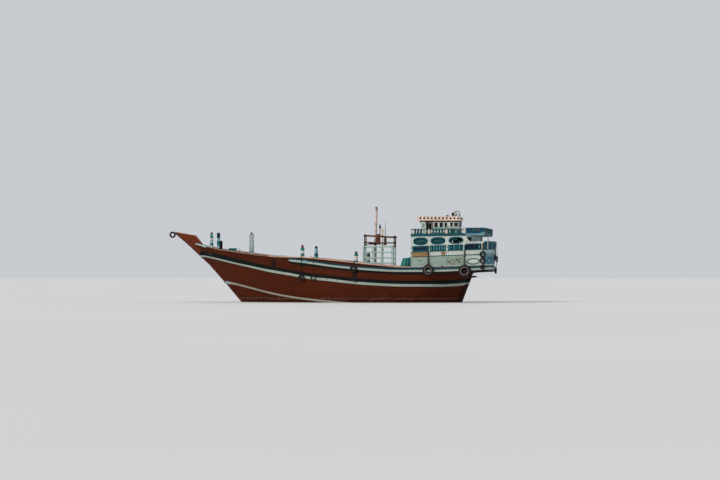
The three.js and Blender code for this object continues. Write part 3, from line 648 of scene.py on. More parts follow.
def side(x, z):
    """Half breadth of the hull at this x and z."""
    if np.ndim(x) == 0 and np.ndim(z) == 0:
        a, b = min(max((float(x) + 17.0) / 0.05, 0.0), len(_gx) - 1.001), min(max((float(z) + 2.6) / 0.05, 0.0), len(_gz) - 1.001)
        i, j = int(a), int(b)
        a, b = a - i, b - j
        return float((SIDE_Y[i, j] * (1 - b) + SIDE_Y[i, j + 1] * b) * (1 - a) + (SIDE_Y[i + 1, j] * (1 - b) + SIDE_Y[i + 1, j + 1] * b) * a)
    x, z = np.broadcast_arrays(np.asarray(x, float), np.asarray(z, float))
    a, b = np.clip((x + 17.0) / 0.05, 0, len(_gx) - 1.001), np.clip((z + 2.6) / 0.05, 0, len(_gz) - 1.001)
    i, j = a.astype(int), b.astype(int)
    a, b = a - i, b - j
    return (SIDE_Y[i, j] * (1 - b) + SIDE_Y[i, j + 1] * b) * (1 - a) + (SIDE_Y[i + 1, j] * (1 - b) + SIDE_Y[i + 1, j + 1] * b) * a


def side_normal(x, z):
    e = 0.1
    n = np.array([-(side(x + e, z) - side(x - e, z)) / (2 * e), 1.0, -(side(x, z + e) - side(x, z - e)) / (2 * e)])
    return n / math.sqrt(float(n @ n))


_dv = (SECTIONS[:, 6] - SECTIONS[:, 1]) / (SECTIONS[:, 3] - SECTIONS[:, 1])
deck_z = smooth_table(SECTIONS[:, 0] + (SECTIONS[:, 2] - SECTIONS[:, 0]) * _dv, SECTIONS[:, 6])
_heads = smooth_table(SECTIONS[:, 2], SECTIONS[:, [3, 4]])
cap_z = lambda x: _heads(x)[..., 0]
cap_y = lambda x: _heads(x)[..., 1]
RUB = smooth_table(*zip(*[(-17.85, 3.6), (-14.9, 3.455), (-13.4, 3.39), (-11.2, 3.33), (-8, 3.325), (-4.7, 3.475), (-2.5, 3.65), (-0.3, 3.89), (2, 4.215), (4.4, 4.5)]))
WALE = smooth_table(*zip(*[(-15.3, 2.15), (-13.4, 1.94), (-11.2, 1.89), (-8, 1.9), (-4.7, 2.04), (-2.5, 2.21), (-0.3, 2.46), (2, 2.7), (4.3, 3.1), (6.6, 3.48), (9, 4.0), (11.4, 4.51), (13.3, 4.92), (14.4, 5.12), (14.9, 5.17), (15.4, 5.19)]))
LOW_STRIPE = smooth_table(*zip(*[(-6.5, -0.33), (-4.5, -0.2), (-2, -0.04), (-0.2, 0.11), (2.1, 0.32), (4.4, 0.62), (6.8, 1.04), (9.3, 1.61), (11.5, 2.08), (12.4, 2.2)]))
RISE = ([3.4, 3.9, 5.0, 6.3, 7.3, 8.0, 9.0, 9.5], [0.022, 0.024, 0.037, 0.034, 0.01, 0.003, -0.006, -0.022])


def risen(verts):
    """The poop's levels rise aft: its pieces are drawn level and then sheared."""
    verts = np.array(verts, float)
    verts[:, 2] += np.interp(verts[:, 2], *RISE) * np.maximum(0, GAP_X - verts[:, 0])
    return verts


def raked(verts):
    """The stern leans: its foot lies a little forward of its head."""
    verts = np.array(verts, float)
    far = np.clip((-17.0 - verts[:, 0]) / 0.85, 0, 1) * (verts[:, 2] < 7.1)
    verts[:, 0] += 0.26 * np.clip((6.5 - verts[:, 2]) / 2.9, 0, 1) * far
    return verts


def lift(x, z):
    return z + np.interp(z, *RISE) * max(0, GAP_X - x)


# ---------------------------------------------------------------- paints
HULL_RED = (77, 30, 14)
PALE = (154, 166, 156)
WHITE = (191, 199, 192)
MINT = (135, 155, 145)
TEAL = (10, 74, 88)
DARK_TEAL = (9, 38, 38)
STAIR = (12, 150, 124)


def hull_paint():
    """Painted strakes: each plank its own shade, with seams, butts, scuffs and the marks of the water."""
    n = Nodes("hull_strakes")
    base = lin(HULL_RED)
    here = n.place()
    xyz = n.split(here)
    uv = n.split(n.place(source="UV"))
    strake = n.math("FLOOR", n.math("ADD", uv[1], 0.001))
    length = n.math("ADD", n.math("DIVIDE", uv[0], 6.7), n.math("MULTIPLY", n.random(strake), 7.3))
    plank = n.math("ADD", n.math("MULTIPLY", strake, 17.37), n.math("FLOOR", length))
    shade = n.random(plank)
    broad, mid = n.noise(here, 0.35, 5, 0.6), n.noise(n.place((0.35, 1, 1)), 2.6, 7, 0.65)
    fibre = n.noise(n.place((0.06, 1, 1)), 40, 6, 0.6)
    colour = n.mix(n.step(broad, 0.32, 0.68), tint(base, 0.84), (base[0] * 1.12, base[1] * 1.16, base[2] * 1.0))
    colour = n.mix(n.math("MULTIPLY", shade, 0.42), colour, (base[0] * 0.62, base[1] * 0.55, base[2] * 0.62))
    colour = n.mix(n.math("MULTIPLY", n.step(mid, 0.45, 0.75), 0.45), colour, (base[0] * 1.35, base[1] * 1.5, base[2] * 1.35))
    colour = n.mix(n.math("MULTIPLY", n.step(fibre, 0.5, 0.72), 0.3), colour, tint(base, 0.55))
    across = n.math("ABSOLUTE", n.math("SUBTRACT", n.math("FRACT", n.math("ADD", uv[1], 0.001)), 0.5))
    seam = n.step(across, 0.455, 0.495)
    butt = n.step(n.math("ABSOLUTE", n.math("SUBTRACT", n.math("FRACT", length), 0.5)), 0.4978, 0.4995)
    joint = n.math("MAXIMUM", seam, butt)
    colour = n.mix(n.math("MULTIPLY", joint, 0.72), colour, tint(base, 0.2))
    # fastenings: two rows of plugged heads at the frames
    fx = n.math("ABSOLUTE", n.math("SUBTRACT", n.math("FRACT", n.math("DIVIDE", uv[0], 0.52)), 0.5))
    fy = n.math("ABSOLUTE", n.math("SUBTRACT", across, 0.26))
    head = n.math("MULTIPLY", n.step(fx, 0.02, 0.035, 1, 0), n.step(fy, 0.04, 0.07, 1, 0))
    colour = n.mix(n.math("MULTIPLY", head, 0.5), colour, tint(base, 0.3))
    # dirt and rust running down from the deck, pale scuffs, and chips to grey wood
    runs = n.noise(n.place((1.6, 1.6, 0.1)), 3.2, 6, 0.66)
    colour = n.mix(n.math("MULTIPLY", n.step(runs, 0.52, 0.76), 0.5), colour, lin((40, 24, 18)))
    pale_runs = n.noise(n.place((1.1, 1.1, 0.12)), 5.1, 6, 0.62)
    colour = n.mix(n.math("MULTIPLY", n.step(pale_runs, 0.6, 0.78), 0.28), colour, lin((132, 100, 78)))
    scuff = n.noise(n.place((0.22, 1, 1)), 5.5, 10, 0.7)
    colour = n.mix(n.math("MULTIPLY", n.step(scuff, 0.655, 0.70), 0.65), colour, lin((126, 96, 76)))
    # soot where the fender ropes chafe, on the port and starboard topsides
    for cx, cz, wx, wz in ((6.1, 4.35, 0.34, 0.62), (2.95, 4.35, 0.3, 0.6), (-3.0, 3.0, 0.28, 0.75)):
        dx = n.math("DIVIDE", n.math("SUBTRACT", xyz[0], cx), wx)
        dz = n.math("DIVIDE", n.math("SUBTRACT", xyz[2], cz), wz)
        near = n.math("ADD", n.math("MULTIPLY", dx, dx), n.math("MULTIPLY", dz, dz))
        near = n.math("ADD", near, n.math("MULTIPLY", n.math("SUBTRACT", n.noise(here, 2.4, 5, 0.6), 0.5), 1.4))
        colour = n.mix(n.math("MULTIPLY", n.step(near, 0.35, 1.25, 1, 0), 0.8), colour, lin((22, 22, 20)))
    # at the water: a dark wet band, weed, a salt line, and a dull bottom paint below
    wave = n.math("MULTIPLY", n.math("SUBTRACT", n.noise(n.place((1, 1, 0.2)), 0.9, 4, 0.6), 0.5), 0.5)
    level = n.math("ADD", xyz[2], wave)
    colour = n.mix(n.math("MULTIPLY", n.step(level, 0.12, 0.62, 1, 0), 0.6), colour, (base[0] * 0.42, base[1] * 0.5, base[2] * 0.6))
    salt = n.math("MULTIPLY", n.math("MULTIPLY", n.step(level, 0.30, 0.40), n.step(level, 0.44, 0.58, 1, 0)), n.step(n.noise(here, 8, 6, 0.7), 0.45, 0.62))
    colour = n.mix(n.math("MULTIPLY", salt, 0.4), colour, lin((150, 138, 122)))
    weed = n.math("MULTIPLY", n.step(level, -0.05, 0.16, 1, 0), n.step(n.noise(here, 14, 6, 0.7), 0.4, 0.6))
    colour = n.mix(n.math("MULTIPLY", weed, 0.75), colour, lin((38, 50, 30)))
    below = n.step(level, -0.5, -0.3, 1, 0)
    colour = n.mix(n.math("MULTIPLY", below, 0.85), colour, n.mix(n.step(mid, 0.4, 0.7), lin((110, 58, 42)), lin((136, 126, 108))))
    height = n.math("SUBTRACT", n.math("MULTIPLY", fibre, 0.5), n.math("ADD", n.math("MULTIPLY", joint, 1.4), n.math("MULTIPLY", head, 0.5)))
    rough = n.math("ADD", n.step(level, 0.0, 0.5, 0.32, 0.52), n.math("MULTIPLY", mid, 0.25))
    return n.finish(colour, rough, height, 0.45, 0.008, gloss=0.07)


HULL = hull_paint()
RED = paint("hull_red", HULL_RED, wear=0.5, under=lin((150, 112, 92)))
RED_Z = paint("hull_red", HULL_RED, "z", wear=0.5, under=lin((150, 112, 92)))
BEAK = paint("stem_red", (100, 42, 15), wear=0.4, under=lin((140, 96, 74)), dirt=0.5)
WALE_DARK = paint("wale_dark", (13, 20, 19), wear=0.25, under=lin((84, 66, 54)), dirt=0.3)
PALE_RAIL = paint("pale_rail", PALE, wear=0.4, under=lin((120, 96, 76)), dirt=0.55)
PALE_LOW = paint("low_stripe", (158, 156, 142), wear=0.6, under=lin((112, 66, 48)), dirt=0.5)
MINT_X, MINT_Z, MINT_Y = (paint("mint", MINT, a, wear=0.4, dirt=0.5) for a in "xzy")
WHITE_X = paint("white", WHITE, "x", wear=0.3, dirt=0.45, boards=("z", 0.145))
WHITE_Z = paint("white_post", WHITE, "z", wear=0.3, dirt=0.4)
WHITE_P = paint("white_trim", (184, 190, 184), "x", wear=0.3, dirt=0.35)
TEAL_X, TEAL_Z, TEAL_Y = (paint("teal", TEAL, a, wear=0.3, under=lin((98, 118, 112)), dirt=0.3) for a in "xzy")
TEAL_DARK = paint("teal_dark", DARK_TEAL, wear=0.25, under=lin((92, 84, 70)), dirt=0.3)
CAP_WOOD = timber("cap_wood", (196, 156, 134), grey=0.35)
CAP_MINT = paint("cap_mint", (150, 180, 172), wear=0.3, dirt=0.3)
RUB_LINE = paint("rub_line", (8, 58, 72), wear=0.2, under=lin((92, 84, 70)), dirt=0.2)
BOW_WOOD = timber("bow_cap_wood", (140, 100, 82), grey=0.3)
BLOB = paint("stripe_head", (150, 158, 168), wear=0.4, under=lin((112, 66, 48)), dirt=0.4)
DECK_WOOD = timber("deck_wood", (146, 118, 90), grey=0.6)
BROWN_X, BROWN_Y, BROWN_Z = (timber("brown_timber", (86, 62, 44), a) for a in "xyz")
OCHRE_Z = timber("ochre_timber", (168, 122, 60), "z", grey=0.15)
IRON, DARK_IRON = iron("iron"), iron("black_iron", (22, 22, 24), 0.25)
ROPE, PALE_ROPE = rope_mat("rope", (52, 48, 44)), rope_mat("pale_rope", (150, 134, 104))


# ---------------------------------------------------------------- hull shell
N_STRAKES = 27
_v = np.linspace(0, 1, 2001)
_mid = hull_point(np.full(_v.shape, 7.0), _v)
_girth = np.concatenate([[0], np.cumsum(np.linalg.norm(np.diff(_mid, axis=0), axis=1))])
_girth = _girth / _girth[-1] * 0.8 + _v * 0.2
STRAKE_V = np.interp(np.linspace(0, 1, N_STRAKES + 1), _girth, _v)


def sole_z(x):
    return 3.41 + 0.022 * np.maximum(0, GAP_X - x)


def hull_shell():
    p = Piece("hull_planking", "hull_paint", replaces=("hull", "bulwark_port", "bulwark_starboard"))
    us = np.concatenate([np.linspace(i, i + 1, (5 if i in (0, 1, 13) else 9), endpoint=False) for i in range(14)] + [[14.0]])
    shares, depth, mark = [], [], []
    for j in range(N_STRAKES):
        a, b = STRAKE_V[j], STRAKE_V[j + 1]
        for t, d in ((0.0, 0.011), (0.06, 0.0), (0.5, -0.003), (0.94, 0.0)):
            shares.append(a + (b - a) * t)
            depth.append(d)
            mark.append(j + t)
    shares.append(1.0)
    depth.append(0.0)
    mark.append(N_STRAKES - 0.001)
    shares, depth, mark = map(np.array, (shares, depth, mark))
    U, V = np.meshgrid(us, shares, indexing="ij")

    def clamp(U, V):
        s = station(U)
        x = s[..., 0] + (s[..., 2] - s[..., 0]) * V
        top = (sole_z(x) - s[..., 1]) / (s[..., 3] - s[..., 1])
        return np.where(x < GAP_X - 0.02, np.minimum(V, top), V)

    V = clamp(U, V)
    P = hull_point(U, V)
    e = 0.02
    du = hull_point(np.clip(U + e, 0, 14), V) - hull_point(np.clip(U - e, 0, 14), V)
    dv = hull_point(U, np.clip(V + 0.004, 0, 1)) - hull_point(U, np.clip(V - 0.004, 0, 1))
    N = np.cross(dv, du)
    N /= np.maximum(np.linalg.norm(N, axis=-1, keepdims=True), 1e-9)
    N *= np.sign(N[..., 1:2] + 1e-9)
    outer = P - N * depth[None, :, None]
    outer[..., 1] = np.maximum(outer[..., 1], 0.02)
    # inner lining: thin in the bulwark, thick below the deck
    inner_v = np.concatenate([[1.0], np.linspace(0.97, 0.12, 12)])
    U2, V2 = np.meshgrid(us, inner_v, indexing="ij")
    V2 = clamp(U2, V2)
    I = hull_point(U2, V2)
    s = station(U2)
    deck_share = (s[..., 6] - s[..., 1]) / (s[..., 3] - s[..., 1])
    thick = np.where(V2 > deck_share - 0.02, 0.07, 0.2)
    I[..., 1] = np.maximum(I[..., 1] - thick, 0.015)
    ring = np.concatenate([outer, I], axis=1)
    n, m = ring.shape[:2]
    star = ring[:, ::-1].copy()
    star[..., 1] *= -1
    full = np.concatenate([ring, star], axis=1)
    k = outer.shape[1]
    M = full.shape[1]
    xs = full[..., 0]
    verts = full.reshape(-1, 3)
    red = p.index(HULL)
    lining = p.index(timber("hull_lining", (120, 92, 66), grey=0.5, boards=("z", 0.2)))
    faces = []
    for i in range(n - 1):
        for j in range(M):
            j2 = (j + 1) % M
            q = [i * M + j, i * M + j2, (i + 1) * M + j2, (i + 1) * M + j]
            pts = verts[q]
            if np.linalg.norm(np.cross(pts[2] - pts[0], pts[3] - pts[1])) < 2e-6:
                continue
            port = j < k - 1
            starboard = M - k <= j < M - 1
            faces.append(q)
            p.m.append(red if port or starboard or j == k - 1 or j == M - k - 1 or j == M - 1 else lining)
            p.s.append(False)
            jj = j if port else (M - 1 - j if starboard else None)
            if jj is None:
                p.uv.append([(0, 0)] * 4)
            else:
                a, b = (mark[jj], mark[jj + 1]) if port else (mark[jj], mark[jj - 1])
                a, b = (a, b if b > a else b) if port else (a, b)
                if port and mark[jj + 1] == int(mark[jj + 1]) and mark[jj + 1] > mark[jj]:
                    b = mark[jj + 1] - 0.0015
                if starboard and mark[jj] == int(mark[jj]) and mark[jj] > mark[jj - 1]:
                    a = mark[jj] - 0.0015
                p.uv.append([(xs[i, j], a), (xs[i, j2], b), (xs[i + 1, j2], b), (xs[i + 1, j], a)])
    for i, flip in ((0, False), (n - 1, True)):
        # end faces, as strips between the two sides
        for j in range(m - 1):
            a, b, c, d = i * M + j, i * M + j + 1, i * M + M - 2 - j, i * M + M - 1 - j
            if j >= k - 1:
                continue
            pts = verts[[a, b, c, d]]
            if np.linalg.norm(np.cross(pts[2] - pts[0], pts[3] - pts[1])) < 2e-6:
                continue
            faces.append([a, b, c, d])
            p.m.append(red)
            p.s.append(False)
            p.uv.append([(0, mark[j]), (0, mark[j + 1]), (0.3, mark[j + 1]), (0.3, mark[j])])
    p.v.append(verts)
    p.f += faces
    p.count += len(verts)
    return p.done()


hull_shell()


# ---------------------------------------------------------------- bands along the side
def side_band(p, xs, lo, hi, out, material, into=0.03, c=0.25, square=False, taper=None, mats=None):
    """A strake standing out by `out` between the heights lo(x) and hi(x)."""
    xs = np.asarray(xs, float)
    zl, zh = lo(xs), hi(xs)
    rings = []
    for i, x in enumerate(xs):
        k = 1.0 if taper is None else taper(x)
        mid, half = (zl[i] + zh[i]) / 2, (zh[i] - zl[i]) / 2 * k
        ring = []
        for t, o in ((-1, -into), (-1, out - c * out), (-1 + 0.35 * c, out), (0, out * (1.03 if not square else 1)), (1 - 0.35 * c, out), (1, out - c * out), (1, -into)):
            z = mid + t * half
            y = side(x, z)
            nrm = side_normal(float(x), float(z))
            q = np.array([x, y, z]) + nrm * o * (k if o > 0 else 1)
            q[1] = max(q[1], 0.03 if x < 14.2 else 0.03 + (0.195 + max(o, 0) * 0.5 - 0.03) * min(1.0, (x - 14.2) / 0.7))
            ring.append(q)
        rings.append(ring)
    p.add(grid(rings, wrap=True, caps=True), material)
    return rings


def both(p, build):
    start = p.mark()
    build(p)
    p.mirror(start)
    return p


def end_taper(x0, x1, run=0.5, tail=0.25):
    def f(x):
        return max(0.12, math.sqrt(max(0.0, min(1.0, (x1 - x) / run))) if x1 - x < run else (math.sqrt(max(0.0, min(1, (x - x0) / tail))) if x - x0 < tail else 1.0))
    return f


WALE_TOP = lambda x: WALE(x) + 0.14 - 0.105 * np.clip((x - 6) / 4.5, 0, 1)
wale_xs = np.concatenate([np.linspace(-14.74, -13.0, 12), np.arange(-12.7, 13.6, 0.35), np.linspace(13.7, 14.7, 9), np.linspace(14.8, 15.38, 6)])
for name, s in (("wale_port", 1), ("wale_starboard", -1)):
    p = Piece(name + "_strakes", "wale_paint", replaces=(name,))
    side_band(p, wale_xs, lambda x: WALE(x) - 0.14, WALE_TOP, 0.072, PALE_RAIL, taper=end_taper(-14.84, 15.46, 0.25))
    side_band(p, wale_xs, lambda x: WALE_TOP(x) + 0.002, lambda x: WALE(x) + 0.50, 0.062, WALE_DARK, taper=end_taper(-14.84, 15.5, 0.2))
    side_band(p, wale_xs[wale_xs > -14.9], lambda x: WALE(x) - 0.19, lambda x: WALE(x) - 0.143, 0.03, WALE_DARK, taper=end_taper(-15.0, 15.4, 0.3))
    if s < 0:
        p.v = [v * np.array([1, -1, 1]) for v in p.v]
        p.f = [f[::-1] for f in p.f]
    p.done()


def low_stripe():
    xs = np.concatenate([np.arange(-4.6, 11.6, 0.35), np.linspace(11.65, 12.28, 8)])
    p = Piece("lower_stripe", "pale_paint")
    both(p, lambda p: side_band(p, xs, lambda x: LOW_STRIPE(x) - 0.095 - 0.04 * np.clip((x - 11) / 1.2, 0, 1), lambda x: LOW_STRIPE(x) + 0.095 + 0.04 * np.clip((x - 11) / 1.2, 0, 1), 0.022, PALE_LOW, taper=end_taper(-4.7, 12.3, 0.4)))
    xs = np.linspace(11.75, 12.62, 9)
    both(p, lambda p: side_band(p, xs, lambda x: LOW_STRIPE(x) - 0.17, lambda x: LOW_STRIPE(x) + 0.15, 0.034, BLOB, taper=end_taper(11.6, 12.68, 0.3, 0.5)))
    p.done()


low_stripe()

# Rub rail: along the bulwark, the poop and round the stern, with dark lines above and below
SIDE_X, STERN_A, POOP_Y = -17.07, 0.78, 3.95


def stern_arc(inset=0.0, steps=26, end=-math.pi / 2):
    """The poop's outline from the end of its straight side round the stern, port to starboard, with outward normals."""
    a, b = STERN_A - inset, POOP_Y - inset
    out = []
    for f in np.linspace(math.pi / 2, end, steps):
        x, y = SIDE_X - a * math.cos(f), b * math.sin(f)
        nx, ny = -math.cos(f) / a, math.sin(f) / b
        k = math.hypot(nx, ny)
        out.append((x, y, nx / k, ny / k))
    return out


def rub_path():
    """Points of the rail's back face from forward to the stern's centreline, each with its outward normal."""
    pts = []
    for x in np.concatenate([np.linspace(4.42, 4.0, 6), np.arange(3.7, -8.9, -0.35), [-9.1]]):
        z = float(RUB(x)) + 0.12
        nrm = side_normal(float(x), float(z))
        k = math.hypot(nrm[0], nrm[1])
        pts.append((x, float(side(x, z)), nrm[0] / k, nrm[1] / k))
    y0 = pts[-1][1]
    for x in (-9.3, -9.6, -10.0):
        t = (-9.1 - x) / 0.9
        pts.append((x, y0 + (POOP_Y - y0) * t, 0, 1))
    pts += [(x, POOP_Y, 0, 1) for x in np.arange(-10.5, -17.0, -0.5)]
    pts += stern_arc(steps=27, end=0.0)
    return pts


RUB_PATH = rub_path()


def rail_along(p, path, lo, hi, out, material, into=0.03, round_=0.3, taper=None):
    rings = []
    for i, (x, y, nx, ny) in enumerate(path):
        z0, z1 = lo(x), hi(x)
        k = 1.0 if taper is None else taper(x)
        mid, half = (z0 + z1) / 2, (z1 - z0) / 2 * k
        ring = []
        for t, o in ((-1, -into), (-1, out * (1 - round_)), (-1 + 0.4 * round_, out), (1 - 0.4 * round_, out), (1, out * (1 - round_)), (1, -into)):
            o = o * k if o > 0 else o
            ring.append((x + nx * o, max(y + ny * o, 0.0) if y < 0.2 else y + ny * o, mid + t * half))
        rings.append(ring)
    p.add(grid(rings, wrap=True, caps=True), material)


for s, word in ((1, "port"), (-1, "starboard")):
    p = Piece("rub_rail_" + word + "_mouldings", "pale_paint", replaces=("rub_rail_" + word,))
    tip = lambda x: max(0.15, math.sqrt(min(1, max(0, (4.44 - x) / 0.5))))
    rail_along(p, RUB_PATH, lambda x: RUB(x) + 0.01, lambda x: RUB(x) + 0.245, 0.105, PALE_RAIL, taper=tip)
    rail_along(p, RUB_PATH, lambda x: RUB(x) + 0.25, lambda x: RUB(x) + 0.415 + 0.02 * np.clip((-x - 3) / 6, 0, 1), 0.1, RUB_LINE, taper=tip)
    rail_along(p, RUB_PATH, lambda x: RUB(x) - 0.20, lambda x: RUB(x) + 0.005, 0.06, WALE_DARK, taper=tip)
    p.v = [raked(v) for v in p.v]
    if s < 0:
        p.v = [v * np.array([1, -1, 1]) for v in p.v]
        p.f = [f[::-1] for f in p.f]
    p.done()


# ---------------------------------------------------------------- cap rail, frames, covering boards, deck
def cap_rails():
    xs = np.concatenate([np.arange(-9.08, 13.0, 0.35), np.arange(13.0, 15.9, 0.15)])
    names = {"port": 1, "starboard": -1}
    p = Piece("cap_rails", "hull_paint")
    start = p.mark()
    z, y = cap_z(xs), cap_y(xs)
    dy = np.gradient(y, xs)
    rings, tops = [], []
    for x, zz, yy, d in zip(xs, z, y, dy):
        nx, ny = -d / math.hypot(1, d), 1 / math.hypot(1, d)
        w = min(0.3, max(0.12, yy - 0.02))
        ring = []
        for o, h in ((0.065, -0.115), (0.085, -0.09), (0.085, -0.02), (0.06, 0.012), (0.06 - w + 0.03, 0.012), (0.06 - w, -0.015), (0.06 - w, -0.1), (0.06 - w + 0.02, -0.115)):
            ring.append((x + nx * o, max(yy + ny * o, 0.02), zz + h))
        rings.append(ring)
    P = np.array(rings)
    n, m = P.shape[:2]
    base = p.count
    p.v.append(P.reshape(-1, 3))
    p.count += n * m
    red, wood, mint, dull = p.index(RED), p.index(CAP_WOOD), p.index(CAP_MINT), p.index(BOW_WOOD)
    for i in range(n - 1):
        for j in range(m):
            k = (j + 1) % m
            p.f.append([base + i * m + j, base + i * m + k, base + (i + 1) * m + k, base + (i + 1) * m + j])
            p.m.append(mint if xs[i] > 14.35 else ((wood if xs[i] < 6.6 else dull) if j in (3, 2) or (j in (0, 1, 4, 5) and xs[i] < 13.2) else red))
            p.s.append(False)
            p.uv.append(None)
    for i in (0, n - 1):
        p.f.append([base + i * m + j for j in range(m)])
        p.m.append(red)
        p.s.append(False)
        p.uv.append(None)
    # a thin dark bead under the cap
    rings = []
    for x, zz, yy in zip(xs, z, y):
        rings.append([(x, max(yy + o, 0.03), zz + h) for o, h in ((-0.02, -0.19), (0.035, -0.18), (0.035, -0.13), (-0.02, -0.118))])
    p.add(grid(rings, wrap=True, caps=True), WALE_DARK)
    # scarfs across the cap's top
    for x in np.arange(-7.0, 14, 4.3):
        zz, yy = float(cap_z(x)), float(cap_y(x))
        p.add(beam((x - 0.22, yy + 0.06, zz + 0.0135), (x + 0.22, yy - 0.24, zz + 0.0135), 0.006, 0.004, c=0.001), WALE_DARK)
    p.mirror(start)
    p.done()


cap_rails()


def bulwark_frames():
    p = Piece("bulwark_frames", "hull_paint")
    start = p.mark()
    inner = lambda x, z: float(side(x, z)) - 0.07
    for i, x in enumerate(np.arange(-8.85, 14.4, 0.52)):
        z0, z1 = float(deck_z(x)) + 0.0, float(cap_z(x)) - 0.11
        ya, yb = inner(x, z0) - 0.055, inner(x, z1) - 0.045
        if min(ya, yb) < 0.25:
            continue
        p.add(beam((x, ya, z0), (x, yb, z1), 0.13, 0.12, up=(0, 1, 0), c=0.012), RED_Z)
    xs = np.arange(-9.0, 14.5, 0.4)
    # stringer at half height, along the frames
    path = [(x, inner(x, 0.45 * deck_z(x) + 0.55 * cap_z(x)) - 0.135, 0.45 * float(deck_z(x)) + 0.55 * float(cap_z(x))) for x in xs if side(x, cap_z(x)) > 0.6]
    p.add(sweep(path, [(-0.03, -0.07), (0.03, -0.07), (0.03, 0.07), (-0.03, 0.07)]), RED)
    p.mirror(start)
    p.done()


bulwark_frames()

HATCH_X, HATCH_Y, HATCH_TOP = (-1.7, 5.6), 1.5, 4.528
FORE_X, FORE_Y, FORE_TOP = (11.0, 12.5), 0.7, 5.56


def camber(x, y):
    return 0.045 * (1 - min(1.0, (y / 4.2) ** 2)) - 0.02


def main_deck():
    p = Piece("main_deck", "deck_wood")
    inner = lambda x: float(side(x, deck_z(x))) - 0.1
    xs_all = np.arange(-9.35, 15.0, 0.25)
    half = np.array([inner(x) for x in xs_all])
    w = 0.165
    mats = [DECK_WOOD, timber("deck_wood_b", (134, 108, 84), grey=0.5), timber("deck_wood_c", (156, 126, 98), grey=0.7)]
    j = 0
    for y in np.arange(-4.2 * 1.0, 4.2, w):
        yc = y + w / 2
        ok = half - 0.2 > max(abs(y), abs(y + w))
        if abs(yc) < HATCH_Y + 0.1:
            ok &= ~((xs_all > HATCH_X[0] - 0.13) & (xs_all < HATCH_X[1] + 0.13))
        if abs(yc) < FORE_Y + 0.03:
            ok &= ~((xs_all > FORE_X[0] - 0.02) & (xs_all < FORE_X[1] + 0.02))
        ok &= True
        runs, cur = [], []
        for x, k in zip(xs_all, ok):
            if k:
                cur.append(x)
            elif cur:
                runs.append(cur)
                cur = []
        if cur:
            runs.append(cur)
        for run in runs:
            if len(run) < 3:
                continue
            # break long planks into lengths with butts
            cut, a = [], 0
            rnd = random.Random(int(yc * 1000) + 5)
            while a < len(run) - 1:
                b = min(len(run) - 1, a + rnd.randint(14, 26))
                if len(run) - 1 - b < 5:
                    b = len(run) - 1
                cut.append(run[a:b + 1])
                a = b
            for seg in cut:
                path = [(x, yc, float(deck_z(x)) + camber(x, yc)) for x in seg]
                path[0] = (path[0][0] + 0.003, *path[0][1:])
                h = w / 2 - 0.0025
                p.add(sweep(path, [(-h, -0.05), (h, -0.05), (h, -0.006), (h - 0.006, 0), (-h + 0.006, 0), (-h, -0.006)]), mats[rnd.randint(0, 2)])
        j += 1
    # covering boards along the sides
    start = p.mark()
    xs = np.concatenate([np.arange(-9.35, 13.0, 0.4), np.arange(13.0, 14.9, 0.2)])
    rings = []
    for x in xs:
        y1 = float(side(x, deck_z(x))) - 0.075
        y0 = max(y1 - 0.42, 0.02)
        z = float(deck_z(x)) + 0.01
        rings.append([(x, y1, z - 0.06), (x, y1, z + 0.028), (x, y0 + 0.01, z + 0.028), (x, y0, z + 0.018), (x, y0, z - 0.06)])
    p.add(grid(rings, wrap=True, caps=True), timber("covering_wood", (124, 92, 70), grey=0.5))
    p.mirror(start)
    p.done()


main_deck()


def hold():
    p = Piece("hold_lining", "deck_wood")
    m = timber("hold_planks", (112, 88, 64), "y", grey=0.5, boards=("x", 0.22))
    p.add(box((HATCH_X[0], HATCH_X[1]), (-3.7, 3.7), (-0.56, -0.48), 0.01), m)
    for x in (HATCH_X[0] - 0.06, HATCH_X[1] + 0.06):
        for i, z in enumerate(np.arange(-0.5, 3.9, 0.24)):
            yy = min(3.9, float(side(x, max(z, -1.5))) - 0.25)
            top = min(z + 0.235, float(deck_z(x)) - 0.06)
            if top - z > 0.05:
                p.add(box((x - 0.03, x + 0.03), (-yy, yy), (z, top), 0.006), timber("hold_boards", (120, 94, 70), "y", grey=0.5))
    for y in (-3.3, -2.4, 2.4, 3.3):
        for x in (-1.4, 0.3, 2.0):
            p.add(beam((x, y, -0.5), (x, y, float(deck_z(x)) - 0.05), 0.16, 0.16), BROWN_Z)
    for x in np.arange(-1.6, 5.6, 0.9):
        if x < HATCH_X[0] + 0.1 or x > HATCH_X[1] - 0.1:
            continue
        for s in (1, -1):
            p.add(beam((x, s * (HATCH_Y + 0.14), float(deck_z(x)) - 0.14), (x, s * (float(side(x, deck_z(x))) - 0.2), float(deck_z(x)) - 0.16), 0.14, 0.16), BROWN_Y)
    p.done()


hold()


